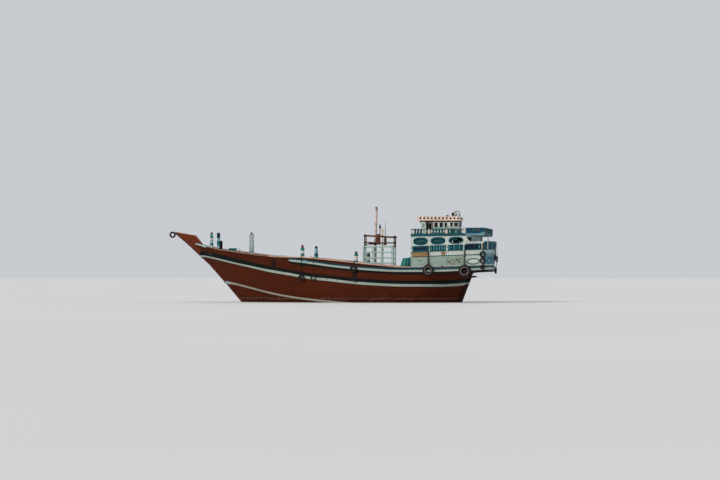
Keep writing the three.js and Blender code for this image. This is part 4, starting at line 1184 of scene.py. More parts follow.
def coamings():
    p = Piece("hatch_coaming", "hull_paint")
    (x0, x1), y, top, t = HATCH_X, HATCH_Y, HATCH_TOP, 0.12
    for s in (1, -1):
        for k in range(12):
            xa, xb = x0 - t + k * (x1 - x0 + 2 * t) / 12, x0 - t + (k + 1) * (x1 - x0 + 2 * t) / 12
            z = min(float(deck_z(xa)), float(deck_z(xb))) - 0.1
            p.add(box((xa, xb), sorted((s * y, s * (y + t))), (z, top - 0.07), 0.0), RED)
        p.add(box((x0 - t - 0.03, x1 + t + 0.03), sorted((s * (y - 0.0), s * (y + t + 0.03))), (top - 0.075, top), 0.012), RED)
        p.add(box((x0 - t, x1 + t), sorted((s * (y + t), s * (y + t + 0.035))), (top - 0.26, top - 0.2), 0.01), RED)
    for xa, xb in ((x0 - t, x0), (x1, x1 + t)):
        z = min(float(deck_z(xa)), float(deck_z(xb))) - 0.1
        p.add(box((xa, xb), (-y, y), (z, top - 0.07), 0.006), RED)
        p.add(box((xa - 0.03 if xa < x0 else xa, xb if xb <= x0 else xb + 0.03), (-y, y), (top - 0.075, top), 0.012), RED)
    # ring bolts along it
    for x in np.arange(x0 + 0.4, x1, 1.3):
        for s in (1, -1):
            p.add(torus((x, s * (y + t + 0.05), top - 0.33), 0.045, 0.011, "y", 14, 6), IRON, True)
            p.add(box((x - 0.02, x + 0.02), sorted((s * (y + t), s * (y + t + 0.05))), (top - 0.31, top - 0.27), 0.005), IRON)
    p.done()
    p = Piece("fore_hatch_coaming", "teal_paint")
    (x0, x1), y, top, t = FORE_X, FORE_Y, FORE_TOP, 0.08
    z = float(deck_z(x0)) - 0.1
    for s in (1, -1):
        p.add(box((x0, x1), sorted((s * y, s * (y - t))), (z, top - 0.05), 0.008), TEAL_X)
        p.add(box((x0 - 0.02, x1 + 0.02), sorted((s * (y + 0.02), s * (y - t))), (top - 0.055, top), 0.01), TEAL_X)
        p.add(box((x0 + 0.05, x1 - 0.05), sorted((s * (y + 0.02), s * y)), (top - 0.3, top - 0.22), 0.006), MINT_X)
        for x in (x0 + 0.06, (x0 + x1) / 2, x1 - 0.06):
            p.add(box((x - 0.05, x + 0.05), sorted((s * (y + 0.024), s * (y - 0.01))), (z + 0.1, top - 0.06), 0.008), TEAL_Z)
    for xa, xb in ((x0, x0 + t), (x1 - t, x1)):
        p.add(box((xa, xb), (-y + t, y - t), (z, top - 0.05), 0.008), TEAL_Y)
        p.add(box((xa - (0.02 if xa == x0 else 0), xb + (0.02 if xb == x1 else 0)), (-y + t, y - t), (top - 0.055, top), 0.01), TEAL_Y)
    # its bottom boards
    for x in np.arange(x0 + 0.1, x1 - 0.1, 0.2):
        p.add(box((x, x + 0.19), (-y + t, y - t), (z - 0.12, z - 0.08), 0.005), timber("locker_boards", (104, 82, 60), "y"))
    p.done()


coamings()


# ---------------------------------------------------------------- poop
def superellipse(cx, cz, a, b, n=40, e=2.5):
    t = np.arange(n) * 2 * math.pi / n
    c, s = np.cos(t), np.sin(t)
    return [(cx + a * u, cz + b * v) for u, v in zip(np.sign(c) * np.abs(c) ** (2 / e), np.sign(s) * np.abs(s) ** (2 / e))]


def pierced(outline, holes, lo, hi, plane="xz"):
    """A flat panel with holes, from lo to hi across its plane."""
    axes = {"xz": (0, 2, 1), "xy": (0, 1, 2), "yz": (1, 2, 0)}[plane]
    loops = [list(outline)] + [list(h) for h in holes]
    flat = [p for l in loops for p in l]
    tris = tessellate_polygon([[Vector((a, b, 0)) for a, b in l] for l in loops])
    bm = bmesh.new()

    def at(p, h):
        q = [0.0, 0.0, 0.0]
        q[axes[0]], q[axes[1]], q[axes[2]] = p[0], p[1], h
        return q

    a, b = [bm.verts.new(at(p, lo)) for p in flat], [bm.verts.new(at(p, hi)) for p in flat]
    for t in tris:
        if len(set(t)) == 3:
            for side_ in (a, b):
                try:
                    bm.faces.new([side_[k] for k in t])
                except ValueError:
                    pass
    base = 0
    for l in loops:
        for i in range(len(l)):
            j = (i + 1) % len(l)
            bm.faces.new([a[base + i], a[base + j], b[base + j], b[base + i]])
        base += len(l)
    bmesh.ops.recalc_face_normals(bm, faces=bm.faces)
    bm.verts.index_update()
    v, f = np.array([p.co[:] for p in bm.verts]), [[p.index for p in face.verts] for face in bm.faces]
    bm.free()
    return v, f


def rect(x0, x1, z0, z1):
    return [(x0, z0), (x1, z0), (x1, z1), (x0, z1)]


def ring_frame(p, path, up, wide, proud, material, back=0.0):
    """A moulding round a closed path of points; wide across, proud of the surface."""
    w = wide / 2
    prof = [(-w, -back), (w, -back), (w, proud * 0.55), (w * 0.55, proud), (-w * 0.55, proud), (-w, proud * 0.55)]
    p.add(sweep(path, prof, up, closed=True), material)


def frame_rect(p, a0, a1, z0, z1, w, proud, material, at, c=0.006):
    """Four mitred-looking battens round a rectangle; at(a, z range, depth range) places a box."""
    for r in (((a0, a1), (z0, z0 + w)), ((a0, a1), (z1 - w, z1)), ((a0, a0 + w), (z0 + w, z1 - w)), ((a1 - w, a1), (z0 + w, z1 - w))):
        p.add(at(r[0], r[1], (-0.002, proud), c), material)


def port_face(y):
    return lambda a, z, d, c: box(a, (y + d[0], y + d[1]), z, c)


def front_face(x):
    return lambda a, z, d, c: box((x + d[0], x + d[1]), a, z, c)


BALUSTER = [(0.03, 0.0), (0.03, 0.1), (0.045, 0.13), (0.075, 0.3), (0.078, 0.42), (0.05, 0.6), (0.032, 0.72), (0.05, 0.82), (0.034, 0.9), (0.034, 1.0)]


def baluster(p, x, y, z0, z1, k, material, n=8):
    p.add(lathe([(r * k, z0 + (z1 - z0) * t) for r, t in BALUSTER], (x, y, 0), n), material, True)


_f = np.linspace(0, math.pi / 2, 241)
_arc = np.concatenate([[0], np.cumsum(np.hypot(np.diff(STERN_A * np.cos(_f)), np.diff(POOP_Y * np.sin(_f))))])
ARC = float(_arc[-1])


def outline_at(s, out=0.0):
    """Point of the poop's outline, s metres to port of the stern's centre, and its outward normal."""
    m = abs(s)
    if m >= ARC:
        q, n = (SIDE_X + (m - ARC), POOP_Y), (0.0, 1.0)
    else:
        f = float(np.interp(m, _arc, _f))
        q = (SIDE_X - STERN_A * math.cos(f), POOP_Y * math.sin(f))
        n = (-math.cos(f) / STERN_A, math.sin(f) / POOP_Y)
        k = math.hypot(*n)
        n = (n[0] / k, n[1] / k)
    x, y, nx, ny = q[0] + n[0] * out, q[1] + n[1] * out, n[0], n[1]
    return (x, y, nx, ny) if s >= 0 else (x, -y, nx, -ny)


def s_of_x(x):
    return ARC + (x - SIDE_X)


def around(p, front, z0, z1, out, into, material, round_=0.3):
    """A board right round the stern from x = front to port, back to the same place to starboard."""
    top = s_of_x(front)
    knots = sorted(set([top, ARC] + list(np.linspace(0, ARC, 19))))
    knots = [-k for k in knots[:0:-1]] + knots
    rings = []
    for s in knots:
        x, y, nx, ny = outline_at(s)
        c = round_ * min(out + into, z1 - z0) * 0.5
        ring = [(-into, z0), (out - c, z0), (out, z0 + c), (out, z1 - c), (out - c, z1), (-into, z1)]
        rings.append([(x + nx * o, y + ny * o, z) for o, z in ring])
    p.add(grid(rings, wrap=True, caps=True), material)


def stern_batten(p, s, z0, z1, w, proud, material, into=0.0):
    x, y, nx, ny = outline_at(s, (proud - into) / 2)
    p.add(beam((x, y, z0), (x, y, z1), w, proud + into, up=(nx, ny, 0), c=0.006), material)


# painted shade: bluish grey-white stands for white faces turned aft, away from the light
AFT_SHADE_BLUE_WHITE = paint("blue_white", (150, 178, 186), "z", wear=0.3, dirt=0.45)
NAVY = paint("navy", (12, 38, 58), "x", wear=0.25, under=lin((90, 100, 104)), dirt=0.3)
NAVY_Y = paint("navy", (12, 38, 58), "y", wear=0.25, under=lin((90, 100, 104)), dirt=0.3)
MAROON = paint("maroon", (70, 38, 48), "x", wear=0.3, dirt=0.3)
LIGHT_BLUE = paint("light_blue", (78, 146, 152), "z", wear=0.3, dirt=0.35)
GREEN_LINE = paint("line_teal", (26, 94, 92), "x", wear=0.25, dirt=0.3)
SCUFFED = paint("scuffed_mint", MINT, "x", wear=0.9, under=lin((112, 96, 78)), dirt=0.9, stain=((104, 86, 70), 0.7))
ORANGE_WOOD = timber("orange_wood", (156, 118, 72), "x", grey=0.3, boards=("z", 0.13))
RED_BROWN = paint("red_brown", (120, 50, 36), "z", wear=0.3, dirt=0.3)
CEILING = paint("ceiling", (150, 160, 152), "y", wear=0.35, dirt=0.6, boards=("x", 0.2))
YELLOW_GREEN = paint("leaf_paint", (120, 140, 60), "z", wear=0.3, dirt=0.3)
PALE_PINK = paint("pale_pink", (196, 172, 164), "z", wear=0.3, dirt=0.3)
STERN_SLAT = paint("stern_slat", (24, 88, 110), "z", wear=0.3, dirt=0.35)
PALE_BLUE = paint("pale_blue_board", (98, 138, 150), "x", wear=0.3, dirt=0.35)
QUARTER = paint("quarter_blue", (8, 62, 88), "x", wear=0.25, dirt=0.3)
QUARTER_Y = paint("quarter_green", (10, 72, 74), "y", wear=0.35, dirt=0.35)
BAY = paint("bay_blue", (16, 62, 78), "x", wear=0.25, dirt=0.3)
INNER_DARK = paint("inner_boards", (96, 108, 104), "x", wear=0.4, dirt=0.7, boards=("z", 0.16))

POSTS_X = (-9.19, -11.10, -13.06, -14.91, -16.89)
WALL_Y = 3.95


def lower_poop():
    p = Piece("poop_sole_timbers", "white_paint", replaces=("poop_sole",), raised=True)
    outline = [(GAP_X, -3.93)] + [outline_at(s, -0.02)[:2] for s in [-ARC] + list(np.linspace(-ARC, ARC, 37))[1:-1] + [ARC]] + [(GAP_X, 3.93)]
    hatch = [(-11.4, -0.4), (-10.5, -0.4), (-10.5, 0.4), (-11.4, 0.4)]
    p.add(pierced(outline, [hatch], 3.41, 3.55, "xy"), timber("poop_underside", (84, 50, 36), "y", grey=0.25, boards=("x", 0.2)))
    mats = [timber("sole_planks", (134, 108, 82), "x", grey=0.4), DECK_WOOD]
    for i, y in enumerate(np.arange(-3.78, 3.7, 0.2)):
        yc = y + 0.1
        end = SIDE_X - STERN_A * math.sqrt(max(0, 1 - (min(abs(y), abs(y + 0.2), 99) / POOP_Y) ** 2)) + 0.22 if max(abs(y), abs(y + 0.2)) < POOP_Y else SIDE_X
        end = SIDE_X - (STERN_A - 0.15) * math.sqrt(max(0, 1 - (max(abs(y), abs(y + 0.2)) / (POOP_Y - 0.12)) ** 2))
        spans = [(end, -9.22)]
        if abs(yc) < 0.5:
            spans = [(end, -11.42), (-10.48, -9.22)]
        for a, b in spans:
            p.add(box((a, b), (y + 0.002, y + 0.198), (3.55, 3.6), 0.004), mats[i % 2])
    for x in (-11.43, -10.47):
        p.add(box((x - 0.03, x + 0.03), (-0.46, 0.46), (3.5, 3.68), 0.006), BROWN_Y)
    for s in (1, -1):
        p.add(box((-11.4, -10.5), sorted((s * 0.4, s * 0.46)), (3.5, 3.68), 0.006), BROWN_X)
    # beams under the overhang
    for x in np.arange(-17.2, -15.5, 0.55):
        w = POOP_Y * math.sqrt(max(0.0, 1 - (max(0, SIDE_X - x) / STERN_A) ** 2)) - 0.15
        p.add(beam((x, -w, 3.36), (x, w, 3.36), 0.14, 0.13, c=0.012), BROWN_Y)
    p.done()

    # side walls below the saloon's floor
    p = Piece("cabin_walls", "pale_paint", replaces=("cabin_side_port", "cabin_side_starboard"), raised=True)
    start = p.mark()
    y = WALL_Y
    p.add(box((-16.95, -9.205), (y - 0.09, y - 0.02), (3.602, 5.308), 0.004), INNER_DARK)
    panels = [(-11.0, -9.3, MINT_X), (-12.95, -11.16, MINT_X), (-14.84, -12.97, SCUFFED), (-16.94, -15.0, WHITE_X)]
    for a, b, m in panels:
        p.add(box((a, b), (y - 0.022, y), (3.95, 4.86), 0.006), m)
        frame_rect(p, a, b, 3.95, 4.86, 0.045, 0.012, MINT_X if m is not WHITE_X else WHITE_X, port_face(y))
    for x in (-9.255, -11.08, -12.96, -14.92):
        p.add(box((x - 0.05, x + 0.05), (y - 0.022, y + 0.02), (3.84, 5.30), 0.008), MINT_Z)
    p.add(box((-16.95, -9.205), (y - 0.022, y + 0.024), (3.86, 3.948), 0.01), WHITE_P)
    p.add(box((-16.95, -9.205), (y - 0.022, y + 0.008), (4.862, 4.905), 0.008), WHITE_P)
    p.add(box((-16.95, -11.0), (y - 0.022, y + 0.034), (4.915, 5.0), 0.01), GREEN_LINE)
    p.add(box((-11.0, -9.205), (y - 0.022, y + 0.026), (4.915, 4.99), 0.01), BROWN_X)
    p.add(box((-16.95, -11.02), (y - 0.022, y + 0.003), (5.0, 5.308), 0.006), WHITE_X)
    p.add(box((-11.02, -9.205), (y - 0.022, y + 0.003), (5.0, 5.308), 0.006), ORANGE_WOOD)
    # small painted blocks left on the wall: a reddish square low down, a bare square above it
    p.add(box((-12.68, -12.44), (y, y + 0.036), (3.75, 3.92), 0.008), RED_BROWN)
    p.add(box((-12.86, -12.43), (y - 0.01, y + 0.02), (5.02, 5.40), 0.008), ORANGE_WOOD)
    scrape = timber("scraped_wood", (104, 94, 74), "x", grey=0.4)
    for x, z, w, h in ((-13.25, 4.36, 0.34, 0.10), (-13.38, 4.22, 0.2, 0.07), (-14.2, 4.46, 0.3, 0.09), (-14.12, 4.6, 0.16, 0.06), (-13.7, 4.08, 0.26, 0.06), (-13.9, 4.3, 0.2, 0.05), (-13.62, 4.56, 0.14, 0.08), (-14.42, 4.24, 0.22, 0.07), (-14.5, 4.62, 0.1, 0.1), (-13.16, 4.62, 0.2, 0.05)):
        p.add(extrude([(x - w, z - 0.2 * h), (x - 0.5 * w, z - h), (x + 0.3 * w, z - 0.8 * h), (x + w, z + 0.1 * h), (x + 0.6 * w, z + h), (x - 0.4 * w, z + 0.7 * h)], y - 0.004, y + 0.0035, "xz", 0.0), scrape)
    # a handle on the boards
    for x in (-10.1,):
        p.add(beam((x - 0.16, y + 0.05, 4.55), (x + 0.16, y + 0.05, 4.55), 0.05, 0.05, c=0.012), BROWN_X)
        for d in (-0.07, 0.07):
            p.add(box((x + d - 0.02, x + d + 0.02), (y, y + 0.05), (4.53, 4.57), 0.004), BROWN_X)
    # the oval mouldings aft
    mid, a, b = -15.9, 0.64, 0.27
    ring_frame(p, [(x, y, z) for x, z in superellipse(mid, 4.29, a, b, 36, 2.3)], (0, 1, 0), 0.11, 0.03, GREEN_LINE)
    p.mirror(start)
    p.done()

    # rounded stern
    p = Piece("cabin_stern_boards", "pale_paint", replaces=("cabin_stern",), raised=True)
    around(p, -16.952, 3.602, 5.308, -0.02, 0.09, INNER_DARK)
    # painted shade: round the stern the upper band is a bluish grey copy of the side's white, and the low band is
    # blue-teal paint made darker for the shade on the aft face
    blue = paint("stern_blue_white", (150, 168, 182), "z", wear=0.35, dirt=0.5, boards=("z", 0.15))
    low_blue = paint("stern_low_blue", (60, 124, 141), "z", wear=0.35, dirt=0.5, boards=("z", 0.15))
    around(p, -16.952, 3.95, 4.86, 0.0, 0.022, low_blue)
    around(p, -16.952, 5.0, 5.308, 0.003, 0.022, blue)
    around(p, -16.952, 3.86, 3.948, 0.024, 0.022, WHITE_P)
    around(p, -16.952, 4.862, 4.905, 0.008, 0.022, WHITE_P)
    around(p, -16.952, 4.925, 4.995, 0.026, 0.022, GREEN_LINE)
    for s in (-3.9, -1.25, 1.25, 3.9):
        stern_batten(p, s, 3.84, 5.3, 0.09, 0.02, MINT_Z, 0.022)
    for s0, a in ((2.62, 0.86), (0.0, 0.86), (-2.62, 0.86)):
        ring, ups = [], []
        for u, z in superellipse(s0, 4.33, a, 0.25, 40, 2.2):
            x, yy, nx, ny = outline_at(u)
            ring.append((x, yy, z))
            ups.append((nx, ny, 0))
        w = 0.05
        prof = [(-w, 0), (w, 0), (w, 0.016), (w * 0.5, 0.03), (-w * 0.5, 0.03), (-w, 0.016)]
        p.add(sweep(ring, prof, np.array(ups), closed=True), NAVY)
    p.done()

    # front wall with its doorway and two windows
    p = Piece("cabin_front_boards", "white_paint", replaces=("cabin_front",), raised=True)
    x = GAP_X
    holes = [rect(-1.3, -0.5, 3.64, 5.15), rect(0.9, 1.7, 4.35, 4.95), rect(-3.1, -2.3, 4.35, 4.95)]
    mint_boards = paint("mint_boards", MINT, "y", wear=0.4, dirt=0.5, boards=("z", 0.17))
    p.add(pierced(rect(-3.95, 3.95, 3.602, 5.308), holes, x - 0.1, x - 0.01, "yz"), mint_boards)
    for (a, b, c, d), m in (((-1.3, -0.5, 3.64, 5.15), TEAL_Z), ((0.9, 1.7, 4.35, 4.95), TEAL_Y), ((-3.1, -2.3, 4.35, 4.95), TEAL_Y)):
        frame_rect(p, a - 0.08, b + 0.08, c - (0.0 if c < 3.7 else 0.08), d + 0.08, 0.085, 0.02, m, front_face(x - 0.01))
    for y0 in (0.9, -3.1):
        for k in range(1, 5):
            p.add(beam((x - 0.05, y0 + 0.16 * k, 4.34), (x - 0.05, y0 + 0.16 * k, 4.96), 0.03, 0.03), IRON)
    p.add(box((x - 0.01, x + 0.006), (-3.95, 3.95), (3.602, 3.72), 0.006), RED)
    p.add(box((x - 0.01, x + 0.01), (-3.95, 3.95), (5.2, 5.3), 0.008), GREEN_LINE)
    for y0 in (-3.9, -1.9, 0.2, 2.6, 3.9):
        p.add(box((x - 0.01, x + 0.004), (y0 - 0.05, y0 + 0.05), (3.72, 5.2), 0.006), WHITE_Z)
    p.done()


lower_poop()


def saloon():
    p = Piece("saloon_floor_boards", "white_paint", replaces=("saloon_floor",), raised=True)
    outline = [(GAP_X, -3.93)] + [outline_at(s, -0.02)[:2] for s in [-ARC] + list(np.linspace(-ARC, ARC, 37))[1:-1] + [ARC]] + [(GAP_X, 3.93)]
    p.add(pierced(outline, [], 5.312, 5.40, "xy"), CEILING)
    for i, y in enumerate(np.arange(-3.8, 3.75, 0.19)):
        end = SIDE_X - (STERN_A - 0.15) * math.sqrt(max(0, 1 - (max(abs(y), abs(y + 0.19)) / (POOP_Y - 0.12)) ** 2))
        p.add(box((end, -9.22), (y + 0.002, y + 0.188), (5.40, 5.448), 0.004), DECK_WOOD)
    start = p.mark()
    y = WALL_Y
    p.add(box((-16.95, -11.02), (y - 0.03, y + 0.003), (5.312, 5.448), 0.006), WHITE_X)
    p.add(box((-11.02, GAP_X), (y - 0.03, y + 0.003), (5.312, 5.448), 0.006), ORANGE_WOOD)
    p.add(box((-16.95, GAP_X + 0.0), (y - 0.02, y + 0.03), (5.435, 5.5), 0.012), GREEN_LINE)
    p.mirror(start)
    # round the stern this band is bluish grey where the side is white: painted shade
    around(p, -16.952, 5.312, 5.448, 0.003, 0.03, AFT_SHADE_BLUE_WHITE)
    around(p, -16.952, 5.435, 5.5, 0.03, 0.02, GREEN_LINE)
    p.done()

    OVALS = (-10.17, -12.08, -14.04)
    p = Piece("saloon_walls", "white_paint", replaces=("saloon_side_port", "saloon_side_starboard"), raised=True)
    start = p.mark()
    back = [superellipse(x, 6.63, 0.66, 0.3, 40) for x in OVALS]
    p.add(pierced(rect(-15.1, -9.205, 6.16, 7.158), back, y - 0.09, y, "xz"), WHITE_X)
    p.add(box((-15.1, -9.205), (y - 0.09, y - 0.065), (5.452, 6.158), 0.004), INNER_DARK)
    for k, x in enumerate(OVALS):
        ring_frame(p, [(a, y, z) for a, z in superellipse(x, 6.63, 0.725, 0.36, 40)], (0, 1, 0), 0.155, 0.04, TEAL_X, back=0.1)
        ring_frame(p, [(a, y - 0.09, z) for a, z in superellipse(x, 6.63, 0.66, 0.3, 40)], (0, -1, 0), 0.06, 0.02, TEAL_X)
    curtain = paint("curtain_cloth", (36, 78, 78), "z", rough=0.85, wear=0.1, dirt=0.3)
    for xa, xb, zb in ((-10.98, -9.4, 6.22), (-12.62, -11.4, 6.22), (-14.2, -13.3, 6.62)):
        rings = []
        for i, x in enumerate(np.linspace(xa, xb, 29)):
            o = 0.018 * math.sin(i * 1.35)
            rings.append([(x, y - 0.125 + o, zb), (x, y - 0.117 + o, zb), (x, y - 0.117 + 0.4 * o, 7.04), (x, y - 0.125 + 0.4 * o, 7.04)])
        p.add(grid(rings, wrap=True, caps=True), curtain, True)
        p.add(tube([(xa - 0.05, y - 0.12, 7.05), (xb + 0.05, y - 0.12, 7.05)], 0.012, 8), IRON, True)
    # balustrade below the ovals: a rail, a foot, and bays between posts
    p.add(box((-15.1, -9.205), (y - 0.065, y + 0.02), (6.115, 6.175), 0.012), WHITE_P)
    p.add(box((-15.1, -9.205), (y - 0.065, y + 0.022), (5.5, 5.56), 0.01), TEAL_X)
    p.add(box((-15.1, -9.205), (y - 0.065, y + 0.012), (6.06, 6.113), 0.008), TEAL_X)
    bays = [(-11.0, -9.3), (-12.96, -11.2), (-14.81, -13.16)]
    for k, (a, b) in enumerate(bays):
        if k == 0:
            p.add(box((a, b), (y - 0.07, y - 0.03), (5.55, 6.07), 0.006), TEAL_X)
            p.add(box((a + 0.14, b - 0.14), (y - 0.035, y - 0.012), (5.63, 5.99), 0.01), NAVY)
            frame_rect(p, a + 0.14, b - 0.14, 5.63, 5.99, 0.03, 0.012, TEAL_X, port_face(y - 0.012))
        else:
            p.add(box((a, b), (y - 0.07, y - 0.045), (5.55, 6.07), 0.006), BAY)
            n = 6
            for i in range(n):
                x = a + (b - a) * (i + 0.5) / n
                baluster(p, x, y - 0.03, 5.56, 6.06, 0.95, LIGHT_BLUE if k == 1 else (LIGHT_BLUE if i % 2 else GREEN_LINE))
    for x in POSTS_X[:4]:
        p.add(box((x - 0.1, x + 0.1), (y - 0.065, y + 0.035), (5.5, 6.16), 0.014), WHITE_Z)
        p.add(box((x - 0.075, x + 0.075), (y + 0.035, y + 0.045), (5.6, 5.76), 0.01), WHITE_Z)
        p.add(box((x - 0.075, x + 0.075), (y + 0.035, y + 0.045), (5.86, 6.06), 0.01), MINT_Z)
        p.add(box((x - 0.09, x + 0.09), (y + 0.034, y + 0.04), (5.79, 5.83), 0.006), TEAL_X)
    p.add(box((-15.1, -9.205), (y, y + 0.016), (7.06, 7.158), 0.008), WHITE_P)
    for x in (-11.1, -13.06):
        p.add(box((x - 0.045, x + 0.045), (y, y + 0.012), (6.18, 7.06), 0.008), WHITE_Z)
    p.mirror(start)
    p.done()

    # front wall of the saloon
    p = Piece("saloon_front_boards", "white_paint", replaces=("saloon_front",), raised=True)
    x = GAP_X
    holes = [rect(1.5, 2.4, 5.46, 7.0), rect(-0.8, 0.8, 6.15, 6.85), rect(-2.9, -1.5, 6.15, 6.85)]
    white_boards = paint("white_front", WHITE, "y", wear=0.35, dirt=0.45, boards=("z", 0.17))
    outline = rect(-3.95, 3.95, 5.452, 7.158)
    door = [(1.5, 5.452), (2.4, 5.452), (2.4, 7.0), (1.5, 7.0)]
    notched = [(-3.95, 5.452), (1.5, 5.452), (1.5, 7.0), (2.4, 7.0), (2.4, 5.452), (3.95, 5.452), (3.95, 7.158), (-3.95, 7.158)]
    p.add(pierced(notched, holes[1:], x - 0.1, x - 0.01, "yz"), white_boards)
    frame_rect(p, 1.42, 2.48, 5.46, 7.08, 0.085, 0.02, TEAL_Z, front_face(x - 0.01))
    for a, b in ((-0.8, 0.8), (-2.9, -1.5)):
        frame_rect(p, a - 0.07, b + 0.07, 6.08, 6.92, 0.075, 0.02, TEAL_Y, front_face(x - 0.01))
        for k in (1, 2):
            yy = a + (b - a) * k / 3
            p.add(box((x - 0.07, x - 0.03), (yy - 0.025, yy + 0.025), (6.15, 6.85), 0.005), WHITE_Z)
        p.add(box((x - 0.055, x - 0.049), (a, b), (6.15, 6.85), 0.001), glass())
    p.add(box((x - 0.01, x + 0.008), (-3.95, 1.4), (5.95, 6.02), 0.008), GREEN_LINE)
    p.add(box((x - 0.01, x + 0.008), (2.5, 3.95), (5.95, 6.02), 0.008), GREEN_LINE)
    p.add(box((x - 0.01, x + 0.012), (-3.95, 3.95), (7.09, 7.158), 0.008), WHITE_P)
    for yy in (-3.87, -3.0, -1.2, 1.1, 2.9, 3.87):
        p.add(box((x - 0.01, x + 0.006), (yy - 0.06, yy + 0.06), (5.46, 7.08), 0.008), WHITE_Z)
    p.done()

    # saloon's rounded after wall
    p = Piece("saloon_after_wall", "white_paint", replaces=("saloon_stern",), raised=True)
    pale_wall = paint("after_wall", (190, 228, 232), "z", wear=0.15, dirt=0.15)

    def bow(f, inset):
        return (-15.1005 - (1.4 - inset) * math.cos(f), (3.95 - inset) * math.sin(f))

    f_door = math.asin(0.43 / 3.8)
    for f0, f1, z0, z1 in ((f_door, math.pi / 2, 5.452, 7.158), (-math.pi / 2, -f_door, 5.452, 7.158), (-f_door, f_door, 6.95, 7.158)):
        ring = []
        for f in np.linspace(f0, f1, 17 if f1 - f0 > 0.5 else 4):
            (xo, yo), (xi, yi) = bow(f, 0.115), bow(f, 0.205)
            ring.append([(xo, yo, z0), (xo, yo, z1), (xi, yi, z1), (xi, yi, z0)])
        p.add(grid(ring, wrap=True, caps=True, flip=True), pale_wall)
    # painted shade: a dark navy skin on the after wall's ends, where the wall turns in under the deck's edge
    for s in (1, -1):
        ring = []
        for f in np.linspace(s * 1.12, s * (math.pi / 2 - 0.02), 7):
            (xo, yo), (xi, yi) = bow(f, 0.105), bow(f, 0.118)
            ring.append([(xo, yo, 5.62), (xo, yo, 7.0), (xi, yi, 7.0), (xi, yi, 5.62)])
        p.add(grid(ring, wrap=True, caps=True, flip=s > 0), NAVY)
    for z0, z1, o, m in ((5.46, 5.6, 0.02, GREEN_LINE), (7.02, 7.1, 0.02, WHITE_P)):
        for f0, f1 in ((f_door + 0.03, math.pi / 2), (-math.pi / 2, -f_door - 0.03)):
            ring = []
            for f in np.linspace(f0, f1, 17):
                (xo, yo), (xi, yi) = bow(f, 0.115 - o), bow(f, 0.12)
                ring.append([(xo, yo, z0), (xo, yo, z1), (xi, yi, z1), (xi, yi, z0)])
            p.add(grid(ring, wrap=True, caps=True, flip=True), m)
    xd = bow(f_door, 0.16)[0]
    for s in (1, -1):
        p.add(box((xd - 0.07, xd + 0.07), sorted((s * 0.425, s * 0.5)), (5.46, 7.0), 0.008), TEAL_Z)
    p.add(box((xd - 0.07, xd + 0.07), (-0.5, 0.5), (6.94, 7.02), 0.008), TEAL_Y)
    p.done()

    # gallery bulwark round the stern, with the curved knees of the side walls
    p = Piece("gallery_boards", "teal_paint", replaces=("gallery_bulwark",), raised=True)
    f = -15.102
    around(p, f, 5.452, 6.415, -0.065, 0.09, INNER_DARK)
    around(p, f, 5.5, 5.56, 0.022, 0.065, TEAL_X)
    around(p, f, 6.06, 6.125, 0.012, 0.065, TEAL_X)
    start = p.mark()
    y = WALL_Y
    p.add(box((SIDE_X - 0.0, f), (y - 0.065, y), (6.175, 6.38), 0.01), WHITE_X)
    p.add(box((-16.8, -15.01), (y - 0.067, y - 0.045), (5.55, 6.07), 0.006), NAVY)
    for i in range(6):
        x = -16.7 + 1.6 * (i + 0.5) / 6
        baluster(p, x, y - 0.035, 5.56, 6.06, 0.9, MAROON if i in (2, 4) else (NAVY if i % 2 else LIGHT_BLUE))
    p.add(box((-16.99, -16.79), (y - 0.065, y + 0.035), (5.5, 6.2), 0.014), WHITE_Z)
    for z0, z1 in ((5.6, 5.76), (5.86, 6.06)):
        p.add(box((-16.965, -16.815), (y + 0.035, y + 0.045), (z0, z1), 0.01), PALE_PINK)
    knee = [(-15.1, 6.39)] + [(-15.1 - 0.78 * (1 - math.cos(t)) ** 1.0 - 0.02, 6.39 + 0.765 * (1 - math.sin(t))) for t in np.linspace(math.pi / 2, 0.04, 12)]
    knee = [(-15.1, 6.39), (-15.86, 6.39)] + [(-15.86 + 0.66 * math.sin(t), 6.39 + 0.765 * (1 - math.cos(t))) for t in np.linspace(0.15, math.pi / 2, 10)] + [(-15.1, 7.155)]
    p.add(extrude(knee, y - 0.085, y, "xz", 0.008), WHITE_X)
    p.mirror(start)
    around(p, SIDE_X + 0.0, 6.125, 6.38, 0.0, 0.065, TEAL_X)
    around(p, SIDE_X + 0.0, 5.56, 6.06, -0.02, 0.045, TEAL_X)
    for s in np.arange(-ARC + 0.12, ARC - 0.05, 0.3):
        stern_batten(p, s, 5.57, 6.06, 0.07, 0.012, STERN_SLAT, 0.03)
    for s in (-3.55, -1.8, 0.0, 1.8, 3.55):
        stern_batten(p, s, 5.5, 6.38, 0.15, 0.04, LIGHT_BLUE if abs(s) < 3 else WHITE_Z, 0.05)
    around(p, f, 6.375, 6.42, 0.045, 0.115, WHITE_P)
    p.done()

    p = Piece("stern_post_turned", "pale_paint", replaces=("stern_post",), raised=True)
    prof = [(0.05, 5.452), (0.05, 5.6), (0.04, 5.64), (0.046, 6.1), (0.05, 6.5), (0.036, 6.56), (0.05, 6.6), (0.04, 6.64), (0.042, 7.05), (0.05, 7.09), (0.05, 7.158)]
    p.add(lathe(prof, (-17.08, 0, 0), 14), MINT_Z, True)
    p.done()


saloon()


